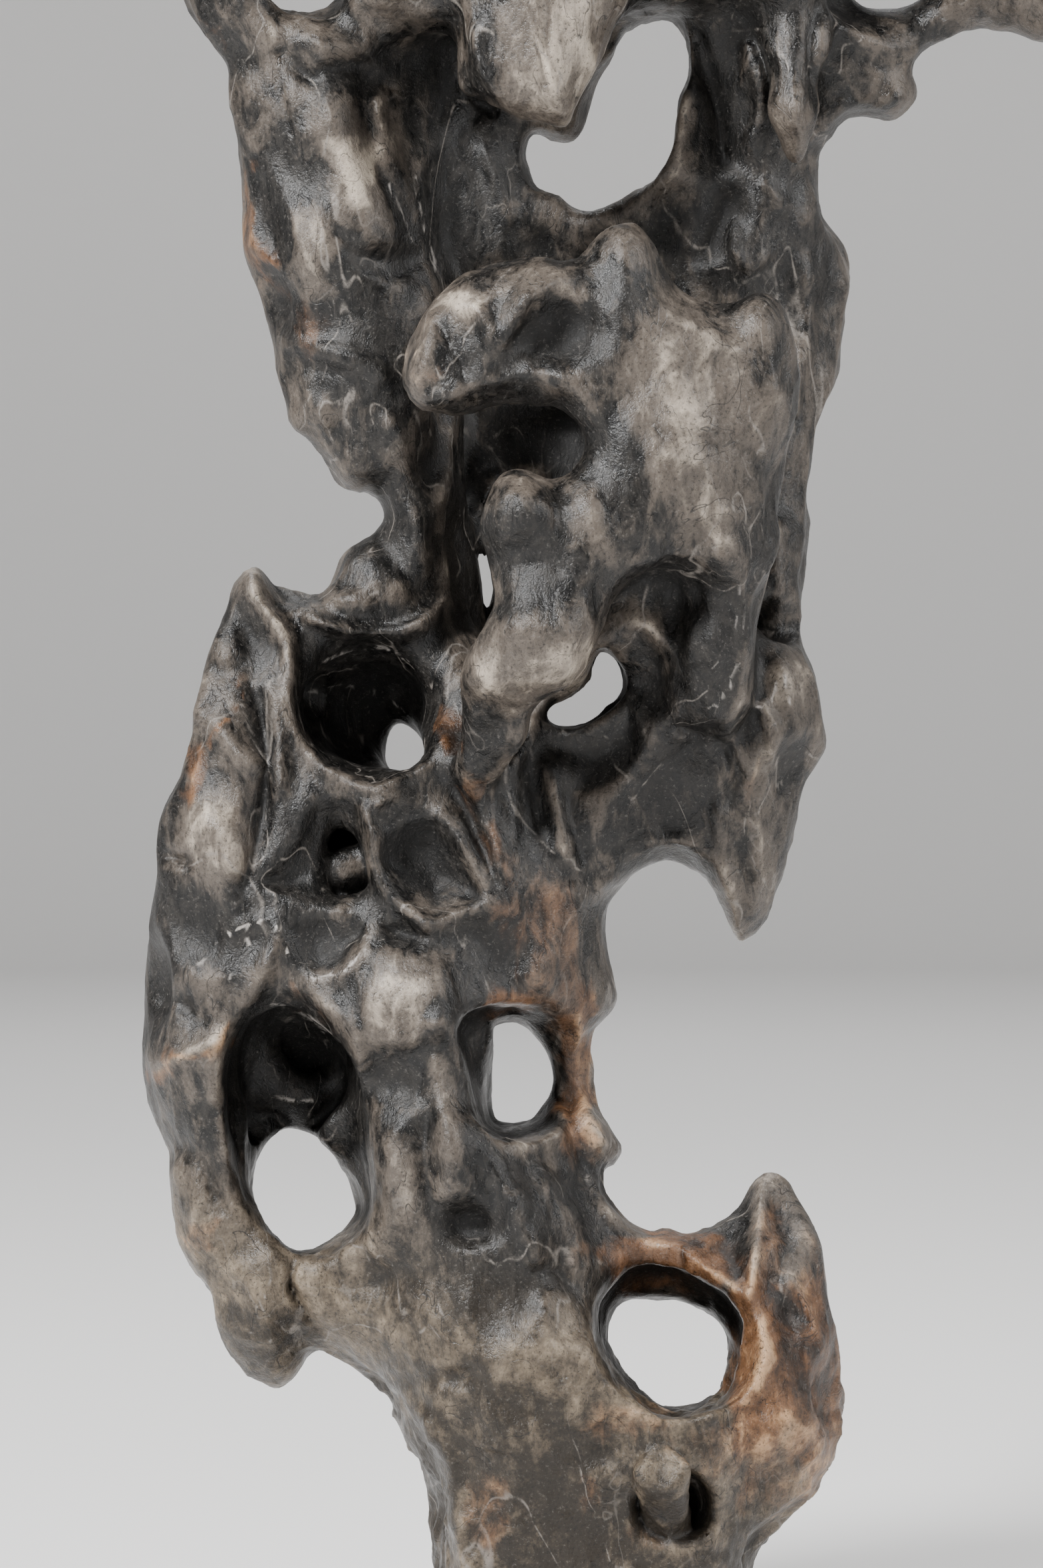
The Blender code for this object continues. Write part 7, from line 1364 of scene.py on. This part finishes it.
def front_share(rock, place):
    """1 on the skin that is seen from the front, falling to 0 behind it."""
    inside = rock.field < 0
    depth = np.where(inside.any(axis=1), rock.y[inside.argmax(axis=1)], BEHIND)
    across, up = (
        np.clip(np.rint((place[:, axis] - LOW[axis]) / rock.cell).astype(int), 0, last - 1)
        for axis, last in zip((0, 2), depth.shape)
    )
    return ease((FRONT_DEPTH + FRONT_FADE - (place[:, 1] - depth[across, up])) / FRONT_FADE)


def patch_share(x, z, patches):
    """The strongest patch at each place: full in its middle half, gone 1.45 sizes out."""
    share = np.zeros(len(x))
    for at_x, at_z, wide, high, strength in patches:
        reach = np.sqrt(((x - at_x) / wide) ** 2 + ((z - at_z) / high) ** 2)
        share = np.maximum(share, strength * ease(1.6 - 1.1 * reach))
    return share


def streak_share(x, z, streaks):
    """The strongest streak at each place."""
    share = np.zeros(len(x))
    for width, strength, chain in streaks:
        points = [(*place, width, strength) for place in chain]
        share = np.maximum(share, fold_lift(x, z, points))
    return share


def mark(thing, rock):
    """Stores what the finish needs at each point: crests, hollows and the share of each mark,
    painted highlight and painted shade among them.
    """
    surface = Surface(thing.data)
    place = seen(surface.points)
    front = front_share(rock, place)
    moved = warped(place, (13, 13, 13), 7, 31)
    moved = warped(moved, (5, 5, 5), 2.4, 35)
    x, z = moved[:, 0], moved[:, 2]
    # The pale mark holds pale stone and painted highlights.
    pale = patch_share(x, z, PALE_AND_HIGHLIGHT_PATCHES)
    # Painted highlights along the crests, partly pale stone.
    streak = streak_share(*nudged(place, 2.0), PALE_AND_HIGHLIGHT_STREAKS)
    # The dark mark holds dark stone and painted shade.
    dark = patch_share(x, z, DARK_AND_SHADE_PATCHES)
    stain = np.maximum(patch_share(x, z, STAIN_PATCHES), streak_share(x, z, STAIN_STREAKS))
    vein = streak_share(*nudged(place, 1.2), VEINS)
    marks = {"pale": np.maximum(pale, streak), "dark": dark, "stain": stain, "vein": vein}
    for name, share in marks.items():
        surface.store(name, front * share)
    surface.store("front", front)
    surface.store("sandy", ease((SANDY_TOP - place[:, 2] - SANDY_LEAN * place[:, 0]) / LOW_FADE))
    surface.store("crest", surface.curvature(5))
    surface.store("bulk", surface.curvature(30))


def nudged(place, reach):
    """x and z of the places, moved a little."""
    moved = warped(place, 9, reach, 41)
    return moved[:, 0], moved[:, 2]


class Tree:
    """Short hands for building a node tree."""

    def __init__(self, material):
        self.nodes = material.node_tree.nodes
        self.links = material.node_tree.links

    def add(self, kind, settings=None, **inputs):
        node = self.nodes.new(kind)
        for name, value in (settings or {}).items():
            setattr(node, name, value)
        for name, value in inputs.items():
            number = int(name[2:]) if name.startswith("in") else name
            if isinstance(value, bpy.types.NodeSocket):
                self.links.new(value, node.inputs[number])
            else:
                node.inputs[number].default_value = value
        return node

    def attribute(self, name):
        return self.add("ShaderNodeAttribute", {"attribute_name": name}).outputs["Fac"]

    def math(self, operation, a, b=0.0):
        return self.add("ShaderNodeMath", {"operation": operation}, in0=a, in1=b).outputs[0]

    def plus(self, a, b):
        return self.math("ADD", a, b)

    def times(self, a, b):
        return self.math("MULTIPLY", a, b)

    def sum(self, *terms):
        """The sum of (value, factor) terms."""
        total = self.times(*terms[0])
        for value, factor in terms[1:]:
            total = self.plus(total, self.times(value, factor))
        return total

    def step(self, value, low, high, to_low=0.0, to_high=1.0):
        """A smooth step from to_low at low to to_high at high."""
        ends = {"in1": low, "in2": high, "in3": to_low, "in4": to_high}
        settings = {"interpolation_type": "SMOOTHSTEP"}
        return self.add("ShaderNodeMapRange", settings, in0=value, **ends).outputs[0]

    def mix(self, share, a, b):
        settings = {"data_type": "RGBA", "blend_type": "MIX"}
        return self.add("ShaderNodeMix", settings, in0=share, in6=a, in7=b).outputs[2]

    def noise(self, where, scale, detail, rough, twist=0.0):
        sockets = {"Scale": scale, "Detail": detail, "Roughness": rough, "Distortion": twist}
        return self.add("ShaderNodeTexNoise", None, Vector=where, **sockets).outputs["Fac"]

    def lines(self, where, scale, width, twist):
        """1 along thin winding lines, 0 between them."""
        middle = self.math("SUBTRACT", self.noise(where, scale, 3.0, 0.5, twist), 0.5)
        return self.step(self.math("ABSOLUTE", middle), width, 0.0)


def colour(red, green, blue):
    return (red, green, blue, 1)


def grey(value, warm=0.0):
    return colour(value * (1 + warm), value, value * (1 - warm))


# The stone's colours, each kind from dark to light.
COAL, CHARCOAL = grey(0.003, 0.03), grey(0.02, 0.12)
ASH, MILK = colour(0.085, 0.07, 0.057), colour(0.42, 0.36, 0.29)
DARK_UMBER, UMBER = colour(0.026, 0.02, 0.014), colour(0.22, 0.17, 0.115)
DARK_RUST, RUST = colour(0.022, 0.011, 0.006), colour(0.15, 0.068, 0.028)
PALE_RUST = colour(0.42, 0.25, 0.13)
DULL_VEIN, BRIGHT_VEIN = colour(0.2, 0.18, 0.16), colour(0.42, 0.39, 0.36)
# The hollow colour is painted shade, laid into hollows by their curvature.
PIT, HOLLOW_SHADE, CRACK, GRAIN = grey(0.006), grey(0.006, 0.06), grey(0.008), grey(0.24, 0.08)
SPECULAR = 0.34
BUMP_DISTANCE = 0.0016


def stone_tone(tree, place, clouds, bands, fine):
    """How pale each place is, from the noise, the markings (partly painted highlight and shade),
    painted highlight on the crests and painted shade in the hollows.
    """
    # Painted highlight on the crests, partly worn paler stone: the tone rises with the crest
    # curvature.
    crest_highlight = tree.step(tree.attribute("crest"), 0.1, 1.4)
    tone = tree.sum((clouds, 0.75), (bands, 0.6), (fine, 0.25), (tree.attribute("pale"), 0.2))
    # The dark mark lowers the tone: dark stone and painted shade.
    tone = tree.sum((tone, 1.0), (tree.attribute("dark"), -0.22), (crest_highlight, 0.05))
    # Painted shade in broad hollows and painted light on broad bulges, by curvature.
    tone = tree.plus(tone, tree.step(tree.attribute("bulk"), -4.0, 4.0, -0.07, 0.07))
    tone = tree.plus(tone, tree.step(tree.attribute("front"), 0.1, 0.9, 0.1, 0))
    coarse = tree.math("SUBTRACT", tree.noise(place, 150, 4, 0.7), 0.44)
    return tree.plus(tone, tree.times(coarse, tree.times(tree.attribute("sandy"), 0.7)))


def body_colour(tree, tone, fine):
    """Charcoal, ash and milk-white stone, and brown stone low down."""
    dark = tree.mix(tree.step(fine, 0.35, 0.68), COAL, CHARCOAL)
    ash = tree.mix(tree.step(tone, 0.78, 1.0), dark, ASH)
    milk = tree.mix(tree.step(tone, 0.98, 1.28), ash, MILK)
    umber = tree.mix(tree.step(tone, 0.72, 1.3), DARK_UMBER, UMBER)
    return tree.mix(tree.times(tree.attribute("sandy"), 0.8), milk, umber)


def with_veins(tree, body, flow, clouds, bands, fine):
    """Veins and threads from noise, and the veins that are drawn."""
    veins = tree.times(tree.lines(flow, 15, 0.006, 0.5), tree.step(bands, 0.42, 0.6, 0, 0.8))
    threads = tree.times(tree.lines(flow, 30, 0.008, 0.3), tree.step(clouds, 0.5, 0.62, 0, 0.3))
    veined = tree.mix(tree.math("MAXIMUM", veins, threads), body, DULL_VEIN)
    drawn = tree.times(tree.attribute("vein"), tree.step(fine, 0.3, 0.5))
    return tree.mix(tree.step(drawn, 0.35, 0.8, 0, 0.8), veined, BRIGHT_VEIN)


def with_rust(tree, body, tone, bands, fine):
    """Rust-brown stains."""
    stain = tree.sum((tree.attribute("stain"), 1.0), (bands, 0.9), (fine, 0.3))
    rust = tree.mix(tree.step(tone, 0.66, 0.98), DARK_RUST, RUST)
    rust = tree.mix(tree.step(tone, 0.92, 1.15), rust, PALE_RUST)
    return tree.mix(tree.step(stain, 0.85, 1.5, 0, 0.8), body, rust)


def new_material(name):
    """A material and its surface node."""
    material = bpy.data.materials.new(name)
    material.use_nodes = True
    return material, material.node_tree.nodes["Principled BSDF"]


def limestone():
    """The finish of the stone. Noise scales are per metre of the object's own coordinates."""
    material, surface = new_material("limestone")
    tree = Tree(material)
    place = tree.add("ShaderNodeTexCoord").outputs["Object"]
    lie = {"Rotation": (0.25, 0.35, 0), "Scale": (1, 1, 0.55)}
    flow = tree.add("ShaderNodeMapping", None, Vector=place, **lie).outputs[0]
    clouds = tree.noise(flow, 22, 8, 0.62, 0.9)
    bands = tree.noise(flow, 62, 7, 0.64, 2.0)
    fine = tree.noise(flow, 200, 5, 0.68, 1.0)
    speck = tree.noise(place, 800, 3, 0.7)
    bulk = tree.attribute("bulk")

    tone = stone_tone(tree, place, clouds, bands, fine)
    skin = body_colour(tree, tone, fine)
    skin = with_veins(tree, skin, flow, clouds, bands, fine)
    skin = with_rust(tree, skin, tone, bands, fine)
    # Painted shade: the hollows are darkened by their curvature.
    skin = tree.mix(tree.step(bulk, -0.8, -4.0, 0, 0.8), skin, HOLLOW_SHADE)
    cracks = tree.times(tree.lines(flow, 34, 0.005, 1.2), tree.step(clouds, 0.42, 0.56, 0, 0.8))
    skin = tree.mix(cracks, skin, CRACK)
    skin = tree.mix(tree.step(speck, 0.56, 0.74, 0, 0.24), skin, GRAIN)
    skin = tree.mix(tree.step(speck, 0.47, 0.3, 0, 0.7), skin, PIT)
    tree.links.new(skin, surface.inputs["Base Color"])

    polish = tree.step(tree.sum((fine, 0.7), (clouds, 0.3)), 0.35, 0.65, 0.24, 0.46)
    dull = tree.step(bulk, -0.5, -3.0, 0, 0.22)
    rough = tree.sum((polish, 1.0), (dull, 1.0), (tree.attribute("dark"), 0.08))
    tree.links.new(rough, surface.inputs["Roughness"])
    surface.inputs["Specular IOR Level"].default_value = SPECULAR

    height = tree.sum((fine, 0.6), (speck, 0.45), (bands, 0.6), (cracks, -0.2))
    bump = tree.add("ShaderNodeBump", None, Strength=0.5, Distance=BUMP_DISTANCE, Height=height)
    tree.links.new(bump.outputs[0], surface.inputs["Normal"])
    return material


# The room, in metres: the flat floor's radius, the radius of the bend and the wall's height.
ROOM_RADIUS = 6.0
ROOM_BEND = 2.0
ROOM_HEIGHT = 5.0
FLOOR_GREY = 0.8
FLOOR_ROUGHNESS = 0.7
AIR_GREY = 0.13

# Lights: name, place and size in metres, and watts. They look at AIM; the wall lights face away.
LIGHTS = [
    ("key", (-1.4, -1.5, 2.0), (0.6, 0.6), 150),
    ("rim", (1.8, -0.7, 1.4), (0.5, 1.2), 32),
    ("top", (0.1, 0.9, 2.4), (1.4, 0.8), 45),
]
AIM = (0, 0, 0.4)
WALL_LIGHT_PLACE = (2.6, 3.2)
WALL_LIGHT_AIM = (6.5, 0.8)
WALL_LIGHT_SIZE = (2.0, 1.0)
WALL_LIGHT_POWER = 80


def make_room():
    """A round pale floor that curves up into a wall."""
    bend = np.radians(np.arange(0, 91, 7.5))
    rim = [(0.0, 0.0)]
    rim += [(ROOM_RADIUS + ROOM_BEND * np.sin(a), ROOM_BEND * (1 - np.cos(a))) for a in bend]
    rim += [(ROOM_RADIUS + ROOM_BEND, ROOM_HEIGHT)]
    work = bmesh.new()
    verts = [work.verts.new((r, 0, z)) for r, z in rim]
    edges = [work.edges.new(pair) for pair in zip(verts[:-1], verts[1:])]
    turn = {"cent": (0, 0, 0), "axis": (0, 0, 1), "angle": 2 * np.pi, "steps": 96}
    bmesh.ops.spin(work, geom=verts + edges, use_merge=True, **turn)
    bmesh.ops.remove_doubles(work, verts=work.verts, dist=1e-5)
    bmesh.ops.recalc_face_normals(work, faces=work.faces)
    mesh = bpy.data.meshes.new("floor")
    work.to_mesh(mesh)
    work.free()
    mesh.shade_smooth()
    floor = placed("floor", mesh)
    paint, surface = new_material("pale_floor")
    surface.inputs["Base Color"].default_value = grey(FLOOR_GREY, 0.01)
    surface.inputs["Roughness"].default_value = FLOOR_ROUGHNESS
    mesh.materials.append(paint)


def make_light(name, place, size, power, aim=AIM):
    light = bpy.data.lights.new(name, "AREA")
    light.shape = "RECTANGLE"
    light.size, light.size_y = size
    light.energy = power
    thing = placed(name, light)
    thing.location = place
    thing.rotation_euler = (Vector(aim) - Vector(place)).to_track_quat("-Z", "Y").to_euler()
    thing.visible_camera = False


def light_walls():
    """Four lights that face away from the stone and brighten the wall all round."""
    for x, y in ((0, 1), (0, -1), (1, 0), (-1, 0)):
        place, aim = ((out * x, out * y, up) for out, up in (WALL_LIGHT_PLACE, WALL_LIGHT_AIM))
        make_light("backdrop", place, WALL_LIGHT_SIZE, WALL_LIGHT_POWER, aim)


def make_world():
    world = bpy.data.worlds.new("soft_air")
    world.use_nodes = True
    world.node_tree.nodes["Background"].inputs["Color"].default_value = grey(AIR_GREY)
    bpy.context.scene.world = world


def make_camera():
    """The eye of the layout, with VIEW_HEIGHT filling the picture from top to bottom."""
    camera = bpy.data.cameras.new("camera")
    camera.sensor_width = SENSOR
    camera.lens = SENSOR * EYE_DISTANCE / VIEW_HEIGHT
    thing = placed("camera", camera)
    thing.location = (np.array((EYE_ACROSS, -EYE_DISTANCE, EYE_HEIGHT)) - ORIGIN) * MM
    thing.rotation_euler = (np.pi / 2, 0, 0)
    bpy.context.scene.camera = thing


make_camera()
make_world()
for light in LIGHTS:
    make_light(*light)
light_walls()
make_room()

rock = stone_field(SURFACE_CELL)
rock.carve("front", FINE_FOLDS)
stone = make_surface(rock)
mark(stone, rock)
stone.data.materials.append(limestone())
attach(stone, "root")
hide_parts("stone")
